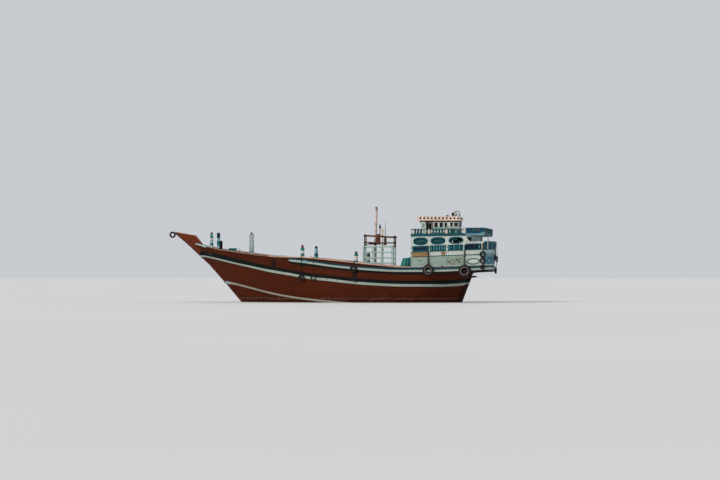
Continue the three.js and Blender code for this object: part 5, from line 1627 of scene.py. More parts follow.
def upper_level():
    p = Piece("upper_deck_boards", "teal_paint", replaces=("upper_deck",), raised=True)
    x0, x1, y = -17.15, GAP_X, 3.97
    mats = [DECK_WOOD, timber("deck_wood_b", (134, 108, 84), grey=0.5)]
    for i, yy in enumerate(np.arange(-3.84, 3.8, 0.2)):
        spans = [(x0 + 0.02, x1 - 0.02)]
        if yy + 0.2 > -3.32 and yy < -2.48:
            spans = [(x0 + 0.02, -14.92), (-14.33, x1 - 0.02)]
        for a, b in spans:
            p.add(box((a, b), (yy + 0.002, yy + 0.198), (7.40, 7.447), 0.004), mats[i % 2])
    hatch = [(-14.9, -3.3), (-14.35, -3.3), (-14.35, -2.5), (-14.9, -2.5)]
    p.add(pierced([(x0 + 0.02, -y + 0.03), (x1 - 0.02, -y + 0.03), (x1 - 0.02, y - 0.03), (x0 + 0.02, y - 0.03)], [hatch], 7.25, 7.40, "xy"), CEILING)
    for x in np.arange(x0 + 0.3, x1 - 0.2, 0.62):
        for a, b in (((-3.85, -3.3), (-2.5, 3.85)) if -14.95 < x < -14.3 else ((-3.85, 3.85),)):
            p.add(beam((x, a, 7.205), (x, b, 7.205), 0.09, 0.09, c=0.01), CEILING)
    for s in (1, -1):
        p.add(box((-15.1, x1), sorted((s * (y - 0.035), s * y)), (7.165, 7.448), 0.01), TEAL_X)
        p.add(box((-15.1, x1), sorted((s * y, s * (y + 0.016))), (7.17, 7.21), 0.008), GREEN_LINE)
        p.add(box((-15.1, x1), sorted((s * y, s * (y + 0.016))), (7.40, 7.445), 0.008), GREEN_LINE)
        p.add(box((x0, -15.1), sorted((s * (y - 0.035), s * y)), (7.165, 7.448), 0.01), PALE_BLUE)
    p.add(box((x1 - 0.035, x1), (-y, y), (7.165, 7.448), 0.01), TEAL_Y)
    p.add(box((x0, x0 + 0.035), (-y + 0.035, y - 0.035), (7.165, 7.448), 0.01), NAVY_Y)
    for xa in (-14.93, -14.35):
        p.add(box((xa, xa + 0.03), (-3.33, -2.47), (7.40, 7.49), 0.006), TEAL_Y)
    # curved brackets under the deck's edge
    for x in (-11.1, -13.06):
        for s in (1, -1):
            arm = [(3.86, 7.165), (3.5, 7.165), (3.56, 7.1), (3.72, 7.0), (3.8, 6.88), (3.86, 6.7)]
            p.add(extrude([(s * a, b) for a, b in arm], x - 0.03, x + 0.03, "yz", 0.006), WHITE_Z)
    p.done()

    p = Piece("upper_rails", "teal_paint", replaces=("upper_rail_port", "upper_rail_starboard"), raised=True)
    start = p.mark()
    y = 3.91
    split = -13.3
    p.add(box((split, GAP_X), (y - 0.05, y + 0.05), (7.93, 8.005), 0.016), TEAL_X)
    p.add(box((-15.1, split), (y - 0.055, y + 0.055), (8.02, 8.1), 0.018), WHITE_P)
    p.add(box((-15.1, split), (y - 0.03, y + 0.03), (7.9, 7.96), 0.01), GREEN_LINE)
    p.add(box((-15.1, GAP_X), (y - 0.045, y + 0.045), (7.452, 7.5), 0.012), TEAL_X)
    for x in np.arange(-9.42, -15.0, -0.33):
        if any(abs(x - q) < 0.26 for q in (-9.24, -11.1, -13.0, -15.0)):
            continue
        aft = x < split
        baluster(p, x, y, 7.5, 7.9 if aft else 7.93, 0.86 if aft else 1.08, GREEN_LINE if aft and int(abs(x) * 3.03) % 2 else WHITE_Z, 9)
    shield = [(0, -0.12), (0.14, 0.05), (0.14, 0.38), (-0.14, 0.38), (-0.14, 0.05)]
    for x in (-9.36, -11.1, -13.0, -14.98):
        k = 1.0 if x > -14.9 else 0.5
        p.add(extrude([(x + a * k, 7.5 + b) for a, b in shield], y - 0.02, y + 0.075, "xz", 0.012), PALE_PINK if -14.9 < x < -10 else WHITE_Z)
        p.add(extrude([(x + a * k * 0.6, 7.56 + b * 0.62) for a, b in shield], y + 0.075, y + 0.088, "xz", 0.006), WHITE_Z)
        p.add(box((x - 0.08, x + 0.08), (y - 0.05, y + 0.05), (7.5, 7.93 if x > split else 8.02), 0.012), WHITE_Z)
    p.add(box((-9.95, -9.17), (y - 0.05, y - 0.02), (7.5, 7.93), 0.006), TEAL_X)
    for k in range(4):
        p.add(box((-9.92 + 0.19 * k, -9.79 + 0.19 * k), (y - 0.02, y - 0.005), (7.56, 7.88), 0.006), STERN_SLAT)
    p.add(box((-9.17, GAP_X), (0.0, 3.86), (7.93, 8.005), 0.014), TEAL_Y)
    p.add(box((-9.165, -9.105), (0.0, 3.86), (7.452, 7.5), 0.01), TEAL_Y)
    for yy in np.arange(0.165, 3.75, 0.33):
        baluster(p, -9.135, yy, 7.5, 7.93, 0.9, WHITE_Z, 9)
    p.mirror(start)
    p.done()

    p = Piece("quarter_panels", "teal_paint", replaces=("quarter_screen",), raised=True)
    start = p.mark()
    a, b, y = -17.15, -15.102, 3.95
    p.add(box((a, b), (y - 0.09, y - 0.012), (7.452, 8.04), 0.008), QUARTER)
    # a pale field below, under a lighter rim that sweeps up to the corner
    sweep_z = lambda x: 7.30 + 0.02 * (b - x) + 0.26 * max(0.0, (b - 0.9 - x) / 1.15) ** 1.6
    curve = [(x, sweep_z(x)) for x in np.linspace(b - 0.02, a + 0.005, 18)]
    p.add(extrude([(b - 0.02, 7.2)] + curve + [(a + 0.005, 7.2)], y - 0.013, y + 0.024, "xz", 0.0), PALE_BLUE)
    rim = [[(x, y - 0.01, z - 0.03), (x, y + 0.03, z - 0.03), (x, y + 0.045, z), (x, y + 0.03, z + 0.045), (x, y - 0.01, z + 0.045)] for x, z in curve]
    p.add(grid(rim, wrap=True, caps=True, flip=True), LIGHT_BLUE)
    p.add(extrude([(x, z + 0.05) for x, z in curve[:12]] + [(curve[11][0], 7.62), (b - 0.02, 7.62)], y - 0.012, y + 0.006, "xz", 0.0), QUARTER)
    p.add(box((a, b), (y - 0.012, y + 0.012), (7.965, 8.0), 0.008), TEAL_X)
    p.add(box((a, b), (y - 0.1, y + 0.02), (8.02, 8.098), 0.016), TEAL_X)
    for x, m in ((-15.98, paint("motif_green", (52, 96, 62), "z", wear=0.4)), (-16.48, paint("motif_brown", (84, 60, 66), "z", wear=0.4))):
        p.add(lathe([(0.13, -0.02), (0.13, 0.004), (0.1, 0.01)], (x, y - 0.012 + 0.006, 7.82), 16, "y"), m, False)
        for i in range(8):
            t = i * math.pi / 4
            p.add(lathe([(0.04, -0.01), (0.04, 0.008), (0.028, 0.014)], (x + 0.18 * math.cos(t), y - 0.006, 7.82 + 0.125 * math.sin(t)), 8, "y"), STERN_SLAT if i % 2 else m, False)
    for x in (b - 0.06, -15.62, a + 0.07):
        p.add(box((x - 0.045, x + 0.045), (y - 0.012, y + 0.012), (7.64, 7.965), 0.008), TEAL_Z)
    # after screen
    p.add(box((a, a + 0.09), (0.0, y - 0.09), (7.452, 8.04), 0.004), QUARTER_Y)
    p.add(box((a - 0.02, a + 0.1), (0.0, y - 0.0), (8.02, 8.098), 0.016), TEAL_Y)
    for yy in np.arange(0.16, 3.9, 0.31):
        p.add(box((a - 0.02, a), (yy - 0.04, yy + 0.04), (7.47, 8.0), 0.008), TEAL_Z)
    p.add(box((a - 0.026, a), (0.0, y), (7.452, 7.5), 0.008), STERN_SLAT)
    p.mirror(start)
    # its lower edge dips between the corners
    low = []
    for yy in np.linspace(-3.93, 3.93, 31):
        d = min(1.0, (3.93 - abs(yy)) / 1.6)
        low.append((yy, 7.452 - 0.30 * math.sin(d * math.pi / 2)))
    ring = [[(a - 0.012, yy, z), (a - 0.012, yy, 7.46), (a + 0.0, yy, 7.46), (a + 0.0, yy, z)] for yy, z in low]
    ring[0] = [(q[0], q[1], min(q[2], 7.46)) for q in ring[0]]
    p.add(grid(ring, wrap=True, caps=True), TEAL_Y)
    p.done()


upper_level()


# ---------------------------------------------------------------- wheelhouse
PALE_TEAL = paint("pale_teal", (112, 170, 168), "x", wear=0.3, dirt=0.4)
PALE_TEAL_Y = paint("pale_teal", (112, 170, 168), "y", wear=0.3, dirt=0.4)
MAUVE = paint("mauve", (124, 96, 100), "z", wear=0.4, dirt=0.4)
# painted shade: this dark green-brown stands for the shadow under the roof's overhang, on the band below it, the slab
# and its beams
SHADE_OLIVE = paint("olive", (66, 66, 46), "x", wear=0.2, dirt=0.4)
SHADE_OLIVE_Y = paint("olive", (66, 66, 46), "y", wear=0.2, dirt=0.4)
# painted shade: dark maroon boards set behind the parapet's holes stand for the shadow seen through them
PARAPET_SHADE = paint("recess", (34, 14, 16), "x", wear=0.1, dirt=0.2)
PARAPET_SHADE_Y = paint("recess", (34, 14, 16), "y", wear=0.1, dirt=0.2)
# painted shade: a greyed bluish tint standing for the wheelhouse's white after wall in shade
AFT_SHADE_LILAC = paint("lilac", (150, 156, 178), "z", wear=0.3, dirt=0.4)
WHITE_Y = paint("white", WHITE, "y", wear=0.3, dirt=0.45, boards=("z", 0.145))


def dark_glass():
    if "dark_glass" in MATS:
        return MATS["dark_glass"]
    n = Nodes("dark_glass")
    here = n.place()
    smear = n.step(n.noise(n.place((1, 1, 0.3)), 9, 5, 0.6), 0.45, 0.75)
    dust = n.step(n.noise(here, 40, 4, 0.6), 0.5, 0.8)
    n.bsdf.inputs["Coat Weight"].default_value = 0.08
    MATS["dark_glass"] = n.finish(n.mix(n.math("MULTIPLY", smear, 0.2), (0.003, 0.009, 0.008), (0.03, 0.04, 0.038)), n.math("ADD", 0.12, n.math("MULTIPLY", dust, 0.25)), gloss=0.22)
    return MATS["dark_glass"]


DARK_GLASS = dark_glass()
HOUSE_WHITE = paint("house_white", (204, 214, 206), "x", wear=0.25, dirt=0.3, boards=("z", 0.145))
FRAME_WHITE = paint("frame_white", (212, 220, 212), "x", wear=0.2, dirt=0.2)
BAR = paint("glazing_bar", (52, 58, 56), "z", wear=0.2, dirt=0.3)
ROOF_RIM = paint("roof_rim", (234, 212, 196), "x", wear=0.3, dirt=0.3)
DOOR_PALE = paint("door_leaf", (196, 220, 208), "z", wear=0.3, dirt=0.3)
HX0, HX1, HY = -14.02, -10.0, 1.05
SIDE_WINDOWS = [(-11.65, -11.27, 8.27), (-12.23, -11.86, 8.27), (-12.69, -12.415, 8.27), (-13.33, -13.03, 8.37), (-13.88, -13.47, 8.37)]


def panes(p, a0, a1, z0, z1, at, cols, rows, depth, frame_w=0.03, m=None, bar=None):
    """A window: frame outside, glass, and glazing bars. at(a, z, d, c) boxes; depth is where the glass lies."""
    m, bar = m or WHITE_P, bar or BAR
    frame_rect(p, a0 - frame_w, a1 + frame_w, z0 - frame_w, z1 + frame_w, frame_w + 0.006, 0.022, m, at)
    p.add(at((a0 - 0.002, a1 + 0.002), (z0 - 0.002, z1 + 0.002), (depth - 0.004, depth + 0.004), 0.001), DARK_GLASS)
    for k in range(1, cols):
        a = a0 + (a1 - a0) * k / cols
        p.add(at((a - 0.009, a + 0.009), (z0, z1), (depth + 0.002, depth + 0.022), 0.003), bar)
    for k in range(1, rows):
        z = z0 + (z1 - z0) * k / rows
        p.add(at((a0, a1), (z - 0.009, z + 0.009), (depth + 0.003, depth + 0.021), 0.003), bar)


def wheelhouse():
    z0, z1 = 7.452, 8.968
    for name, s in (("port", 1), ("starboard", -1)):
        p = Piece("wheelhouse_side_" + name + "_boards", "white_paint", replaces=("wheelhouse_side_" + name,), raised=True)
        a, b = HX0 + 0.0805, HX1 - 0.0805
        outline = [(a, z0), (-10.94, z0), (-10.94, 8.83), (-10.36, 8.83), (-10.36, z0), (b, z0), (b, z1), (a, z1)]
        p.add(pierced(outline, [rect(x0, x1, sill - 0.04, 8.77) for x0, x1, sill in SIDE_WINDOWS], HY - 0.08, HY - 0.012), HOUSE_WHITE)
        for x0, x1 in ((a, -10.96), (-10.34, b)):
            p.add(box((x0, x1), (HY - 0.012, HY + 0.004), (z0, 8.08), 0.005), TEAL_X)
            p.add(box((x0, x1), (HY - 0.012, HY + 0.024), (8.08, 8.215), 0.012), PALE_TEAL)
            p.add(box((x0, x1), (HY - 0.012, HY + 0.016), (z0, 7.54), 0.008), WALE_DARK)
            for k in range(1, int((x1 - x0) / 0.45)):
                x = x0 + (x1 - x0) * k / int((x1 - x0) / 0.45)
                p.add(box((x - 0.02, x + 0.02), (HY + 0.004, HY + 0.014), (7.54, 8.08), 0.005), GREEN_LINE)
        # dark band under the roof: painted shadow
        p.add(box((a, b), (HY - 0.012, HY + 0.03), (8.84, z1), 0.012), SHADE_OLIVE)
        for x0, x1, sill in SIDE_WINDOWS:
            wide = sill < 8.3 and x1 < -11.2
            panes(p, x0, x1, sill - 0.04, 8.77, port_face(HY - 0.012), 1, 1, -0.035, m=FRAME_WHITE)
            p.add(box((x0 - 0.05, x1 + 0.05), (HY - 0.012, HY + 0.03), (sill - 0.10, sill - 0.074), 0.006), WHITE_P)
        # door posts and head
        p.add(box((-11.13, -10.945), (HY - 0.012, HY + 0.026), (7.5, 8.84), 0.012), MAUVE)
        p.add(box((-10.355, -10.29), (HY - 0.012, HY + 0.018), (7.5, 8.84), 0.01), MAUVE)
        p.add(box((-10.945, -10.355), (HY - 0.07, HY + 0.01), (8.8, 8.84), 0.006), MAUVE)
        if s < 0:
            p.v = [v * np.array([1, -1, 1]) for v in p.v]
            p.f = [f[::-1] for f in p.f]
        p.done()

    p = Piece("wheelhouse_front_boards", "white_paint", replaces=("wheelhouse_front",), raised=True)
    holes = [(-0.9, -0.42), (-0.3, 0.3), (0.42, 0.9)]
    p.add(pierced(rect(-HY, HY, z0, z1), [rect(a, b, 8.27, 8.74) for a, b in holes], HX1 - 0.08, HX1 - 0.012, "yz"), WHITE_Y)
    for a, b in holes:
        panes(p, a, b, 8.27, 8.74, front_face(HX1 - 0.012), 2, 1, -0.035)
    p.add(box((HX1 - 0.012, HX1 + 0.004), (-HY, HY), (z0, 8.08), 0.005), TEAL_Y)
    p.add(box((HX1 - 0.012, HX1 + 0.024), (-HY, HY), (8.08, 8.215), 0.012), PALE_TEAL_Y)
    # dark band under the roof: painted shadow
    p.add(box((HX1 - 0.012, HX1 + 0.03), (-HY, HY), (8.84, z1), 0.012), SHADE_OLIVE_Y)
    for y in (-1.02, 1.02, -0.36, 0.36):
        p.add(box((HX1 - 0.012, HX1 + 0.03), (y - 0.028, y + 0.028), (7.5, 8.84), 0.01), MINT_Z)
    # knees under the roof's front overhang
    knee = [(HX1 + 0.03, 8.96)] + [(HX1 + 0.03 + 0.30 * math.cos(t), 8.96 - 0.52 * math.sin(t) + 0.0) for t in np.linspace(0.06, math.pi / 2, 9)]
    for y in (-0.99, 0.99):
        p.add(extrude(knee, y - 0.045, y + 0.045, "xz", 0.008), MINT_Z)
    p.done()

    p = Piece("wheelhouse_aft_boards", "white_paint", replaces=("wheelhouse_aft",), raised=True)
    holes = [(-0.8, -0.15), (0.15, 0.8)]
    aft_face = lambda a, z, d, c: box((HX0 + 0.012 - d[1], HX0 + 0.012 - d[0]), a, z, c)
    # the after wall is painted bluish grey and its lower band navy, shaded copies of the white and teal of the other
    # walls: painted shade
    p.add(pierced(rect(-HY, HY, z0, z1), [rect(a, b, 8.37, 8.74) for a, b in holes], HX0 + 0.012, HX0 + 0.08, "yz"), AFT_SHADE_LILAC)
    for a, b in holes:
        panes(p, a, b, 8.37, 8.74, aft_face, 2, 1, -0.035)
    # navy in place of the teal band: painted shade on the after face
    p.add(box((HX0 - 0.004, HX0 + 0.012), (-HY, HY), (z0, 8.08), 0.005), NAVY_Y)
    p.add(box((HX0 - 0.024, HX0 + 0.012), (-HY, HY), (8.08, 8.215), 0.012), PALE_TEAL_Y)
    # dark band under the roof: painted shadow
    p.add(box((HX0 - 0.03, HX0 + 0.012), (-HY, HY), (8.84, z1), 0.012), SHADE_OLIVE_Y)
    # corner and middle posts in the same bluish grey: painted shade
    for y in (-1.02, 1.02, 0.0):
        p.add(box((HX0 - 0.02, HX0 + 0.012), (y - 0.03, y + 0.03), (7.5, 8.84), 0.01), AFT_SHADE_LILAC)
    p.done()


wheelhouse()


def roof():
    p = Piece("wheelhouse_roof_boards", "white_paint", replaces=("wheelhouse_roof",), raised=True)
    (x0, x1), y, (za, zb), top = (-14.15, -9.42), 1.25, (8.982, 9.13), 9.5
    # the slab's body, dark underneath: painted shade
    p.add(box((x0 + 0.02, x1 - 0.02), (-y + 0.02, y - 0.02), (za, zb - 0.02), 0.006), SHADE_OLIVE)
    for k, yy in enumerate(np.arange(-1.19, 1.15, 0.17)):
        p.add(box((x0 + 0.08, x1 - 0.08), (yy + 0.002, yy + 0.168), (zb - 0.03, zb + 0.005), 0.004), DECK_WOOD if k % 2 else MINT_X)
    for s in (1, -1):
        p.add(box((x0, x1), sorted((s * (y - 0.03), s * y)), (za - 0.001, zb + 0.02), 0.01), ROOF_RIM)
        p.add(box((x0 - 0.0, x1 + 0.0), sorted((s * (y - 0.01), s * (y + 0.02))), (zb - 0.02, zb + 0.02), 0.01), ROOF_RIM)
        # dark board behind the side parapet's holes: painted shade
        p.add(box((x0, x1), sorted((s * (y - 0.055), s * (y - 0.035))), (zb, top - 0.08), 0.004), PARAPET_SHADE)
        holes = []
        for x in np.arange(x0 + 0.21, x1 - 0.1, 0.417):
            holes.append([(x - 0.105, 9.16), (x + 0.105, 9.16), (x + 0.105, 9.30)] + [(x + 0.105 * math.cos(t), 9.30 + 0.1 * math.sin(t)) for t in (0.6, 1.2, math.pi / 2, 1.94, 2.54)] + [(x - 0.105, 9.30)])
        v, f = pierced(rect(x0, x1, zb + 0.02, top - 0.08), holes, y - 0.035, y - 0.005)
        p.add((v * np.array([1, s, 1]), f if s > 0 else [q[::-1] for q in f]), ROOF_RIM)
        p.add(box((x0, x1), sorted((s * (y - 0.065), s * (y + 0.01))), (top - 0.085, top), 0.014), ROOF_RIM)
    for x, s in ((x1, 1), (x0, -1)):
        p.add(box(sorted((x, x - s * 0.03)), (-y + 0.03, y - 0.03), (za - 0.001, zb + 0.02), 0.01), ROOF_RIM)
        # dark board behind the end parapets' holes: painted shade
        p.add(box(sorted((x - s * 0.035, x - s * 0.055)), (-y + 0.055, y - 0.055), (zb, top - 0.08), 0.004), PARAPET_SHADE_Y)
        holes = []
        for yy in np.arange(-y + 0.21, y - 0.1, 0.417):
            holes.append([(yy - 0.075, 9.17), (yy + 0.075, 9.17), (yy + 0.075, 9.29)] + [(yy + 0.075 * math.cos(t), 9.29 + 0.075 * math.sin(t)) for t in (0.6, 1.2, math.pi / 2, 1.94, 2.54)] + [(yy - 0.075, 9.29)])
        lo, hi = sorted((x - s * 0.005, x - s * 0.035))
        # the after parapet is bluish grey, a shaded copy of the cream rim: painted shade
        p.add(pierced(rect(-y + 0.005, y - 0.005, zb + 0.02, top - 0.08), holes, lo, hi, "yz"), ROOF_RIM if s > 0 else AFT_SHADE_BLUE_WHITE)
        p.add(box(sorted((x, x - s * 0.065)), (-y + 0.06, y - 0.06), (top - 0.085, top), 0.014), ROOF_RIM)
    # beams whose ends show under the slab, dark as painted shade
    for x in np.arange(x0 + 0.35, x1 - 0.2, 0.6):
        p.add(beam((x, -y + 0.06, za - 0.028), (x, y - 0.06, za - 0.028), 0.07, 0.055, c=0.008), SHADE_OLIVE_Y)
    p.done()

    # gear kept on the roof: rolled canvas, a lamp, a pale drum in its iron hoop, a stub with a lamp, and a box
    p = Piece("roof_gear", "timber")
    canvas = timber("old_canvas", (104, 100, 70), "y", grey=0.3)
    for x, z, r, w in ((-12.45, 9.26, 0.13, 0.7), (-12.72, 9.25, 0.12, 0.62), (-12.6, 9.46, 0.125, 0.66), (-12.98, 9.24, 0.11, 0.6)):
        path = [(x + 0.012 * math.sin(5 * t), t * w, z + 0.012 * math.cos(7 * t)) for t in np.linspace(-1, 1, 13)]
        p.add(tube(path, [r * (0.8 if k in (0, 12) else 1 + 0.05 * math.sin(k * 2.1)) for k in range(13)], 12), canvas, True)
        for t in (-0.5, 0.45):
            p.add(torus((x, t * w, z), r + 0.012, 0.016, "y", 16, 6), PALE_ROPE, True)
    p.add(lathe([(0.12, 9.1), (0.12, 9.16), (0.05, 9.2), (0.05, 9.5), (0.10, 9.56), (0.115, 9.62), (0.115, 9.8), (0.06, 9.86), (0.02, 9.9)], (-13.2, 0.25, 0), 14), DARK_IRON, True)
    # pale drum, its face turned a little to port
    tilt = Matrix.Translation((-13.62, 0.2, 9.70)) @ Matrix.Rotation(math.radians(18), 4, "X")
    prof = [(0.05, -0.13), (0.18, -0.11), (0.22, -0.04), (0.23, 0.03), (0.21, 0.09), (0.12, 0.13), (0.03, 0.14)]
    p.add(lathe(prof, (0.07, 0, 0), 24, "y"), paint("drum_white", (176, 166, 154), "z", wear=0.25, dirt=0.45), True, tilt)
    p.add(torus((-0.04, 0, 0), 0.36, 0.035, "y", 36, 8), DARK_IRON, True, tilt)
    for a in (-0.5, 0.5):
        p.add(beam((-13.62 + a * 0.5, 0.2, 9.12), (-13.62 + a * 0.35, 0.2, 9.42), 0.05, 0.05), DARK_IRON)
    p.add(box((-13.9, -13.34), (0.08, 0.32), (9.10, 9.17), 0.01), DARK_IRON)
    p.add(lathe([(0.05, 9.1), (0.03, 9.15), (0.03, 9.5), (0.07, 9.54), (0.075, 9.62), (0.03, 9.67)], (-14.0, 0.4, 0), 12), DARK_IRON, True)
    p.add(box((-10.9, -10.3), (-0.4, 0.25), (9.10, 9.30), 0.02), paint("roof_box", (120, 116, 92), "x", wear=0.6, dirt=0.6, boards=("y", 0.16)))
    p.add(lathe([(0.24, 9.12), (0.26, 9.16), (0.24, 9.2), (0.22, 9.24), (0.10, 9.25)], (-11.6, -0.35, 0), 20), PALE_ROPE, True)
    p.done()


roof()


def doors_and_helm():
    def leaf(name, body, x, y, z, out, m, panel):
        p = Piece(name + "_panels", "white_paint", body, replaces=(name,))
        p.add(box((x[0], x[1]), (y[0] + 0.008, y[1] - 0.008), (z[0], z[1]), 0.003), m)
        w = 0.075
        for f0, f1 in (((x[0], x[0] + w), z), ((x[1] - w, x[1]), z), ((x[0] + w, x[1] - w), (z[0], z[0] + 0.1)), ((x[0] + w, x[1] - w), (z[1] - w, z[1])), ((x[0] + w, x[1] - w), (z[0] + 0.56, z[0] + 0.64))):
            p.add(box(f0, (y[0], y[1]), f1, 0.005), m)
        for za, zb in ((z[0] + 0.13, z[0] + 0.53), (z[0] + 0.67, z[1] - w - 0.03)):
            p.add(box((x[0] + w + 0.03, x[1] - w - 0.03), (y[0] + 0.003, y[1] - 0.003), (za, zb), 0.008), panel)
        for zz in (z[0] + 0.15, z[1] - 0.2):
            p.add(box((x[1 if out[0] > 0 else 0] - 0.06, x[1 if out[0] > 0 else 0]) if out[0] > 0 else (x[0], x[0] + 0.06), (y[0] - 0.003, y[1] + 0.003), (zz, zz + 0.05), 0.002), IRON)
        hx = x[0] + 0.05 if out[0] > 0 else x[1] - 0.05
        p.add(lathe([(0.008, -0.028), (0.02, -0.024), (0.02, -0.019), (0.008, -0.016), (0.008, 0.016), (0.02, 0.019), (0.02, 0.024), (0.008, 0.028)], (hx, (y[0] + y[1]) / 2, z[0] + 0.62), 12, "y"), iron("brass", (150, 120, 60), 0.2, 0.9), True)
        p.done()

    leaf("wheelhouse_door_port", "wheelhouse_door_port", (-10.358, -9.818), (1.08, 1.12), (7.53, 8.77), (-1,), DOOR_PALE, MINT_X)
    leaf("wheelhouse_door_starboard", "wheelhouse_door_starboard", (-10.93, -10.37), (-1.03, -0.99), (7.53, 8.77), (1,), MINT_Z, MINT_X)
    p = Piece("cabin_door_planks", "teal_paint", "cabin_door", replaces=("cabin_door",))
    x, y, z = (-9.17, -9.13), (-1.29, -0.51), (3.625, 5.125)
    n = 5
    for k in range(n):
        a, b = y[0] + (y[1] - y[0]) * k / n, y[0] + (y[1] - y[0]) * (k + 1) / n
        p.add(box((x[0] + 0.01, x[1] - 0.01), (a + 0.001, b - 0.001), z, 0.004), TEAL_Z)
    for zz in (3.72, 4.32, 4.92):
        p.add(box((x[1] - 0.012, x[1]), (y[0] + 0.02, y[1] - 0.02), (zz, zz + 0.12), 0.004), TEAL_Y)
        p.add(box((x[0], x[0] + 0.012), (y[0] + 0.02, y[1] - 0.02), (zz, zz + 0.12), 0.004), TEAL_Y)
    p.done()

    p = Piece("helm_stand_panels", "timber", replaces=("helm_stand",))
    p.add(box((-10.8, -10.58), (-0.16, 0.16), (7.50, 8.14), 0.012), timber("varnished", (112, 60, 30), "z", grey=0.05))
    p.add(box((-10.82, -10.56), (-0.18, 0.18), (7.47, 7.56), 0.012), BROWN_Y)
    p.add(box((-10.82, -10.56), (-0.18, 0.18), (8.12, 8.18), 0.014), BROWN_Y)
    for yy in (-0.15, 0.15):
        p.add(box((-10.81, -10.57), (yy - 0.02, yy + 0.02), (7.56, 8.12), 0.006), BROWN_Z)
    p.done()

    p = Piece("helm_wheel_turned", "timber", "helm", replaces=("helm_wheel",))
    wood = timber("wheel_wood", (124, 68, 34), "z", grey=0.05)
    c = (-10.9, 0, 8.22)
    rim = [(0.385, -0.03), (0.425, -0.03), (0.43, 0.0), (0.425, 0.03), (0.385, 0.03), (0.378, 0.0)]
    ang = np.linspace(0, 2 * math.pi, 41)
    ring = [[(c[0] + h, c[1] + r * math.cos(a), c[2] + r * math.sin(a)) for r, h in rim] for a in ang[:-1]]
    ring.append(ring[0])
    p.add(grid(ring, wrap=True), wood)
    for i in range(8):
        a = i * math.pi / 4
        d = np.array([0, -math.cos(a), -math.sin(a)])
        pts = [np.array(c) + d * t for t in (0.03, 0.1, 0.2, 0.3, 0.375, 0.43, 0.445, 0.47, 0.485, 0.5)]
        p.add(tube(pts, [0.018, 0.02, 0.013, 0.019, 0.016, 0.014, 0.016, 0.019, 0.016, 0.008], 8), wood, True)
    prof = [(0.03, -0.06), (0.07, -0.045), (0.075, 0.0), (0.07, 0.035), (0.045, 0.05), (0.03, 0.06)]
    p.add(lathe(prof, (c[0] - 0.0, 0, c[2]), 18, "x"), iron("brass", (150, 120, 60), 0.2, 0.9), True)
    p.done()


doors_and_helm()


def benches():
    p = Piece("upper_deck_benches", "teal_paint", raised=True)
    start = p.mark()
    for xa, xb in ((-10.35, -9.35),):
        p.add(box((xa, xb), (3.3, 3.78), (7.86, 7.90), 0.012), TEAL_X)
        for x in (xa + 0.03, xb - 0.07):
            p.add(box((x, x + 0.04), (3.34, 3.74), (7.45, 7.86), 0.008), TEAL_Z)
        p.add(box((xa + 0.02, xb - 0.02), (3.74, 3.77), (7.47, 7.86), 0.008), TEAL_X)
        p.add(box((xa + 0.02, xb - 0.02), (3.31, 3.34), (7.52, 7.86), 0.008), TEAL_DARK)
        p.add(box((xa, xb), (3.70, 3.76), (7.92, 8.02), 0.012), TEAL_DARK)
    p.mirror(start)
    p.done()


benches()


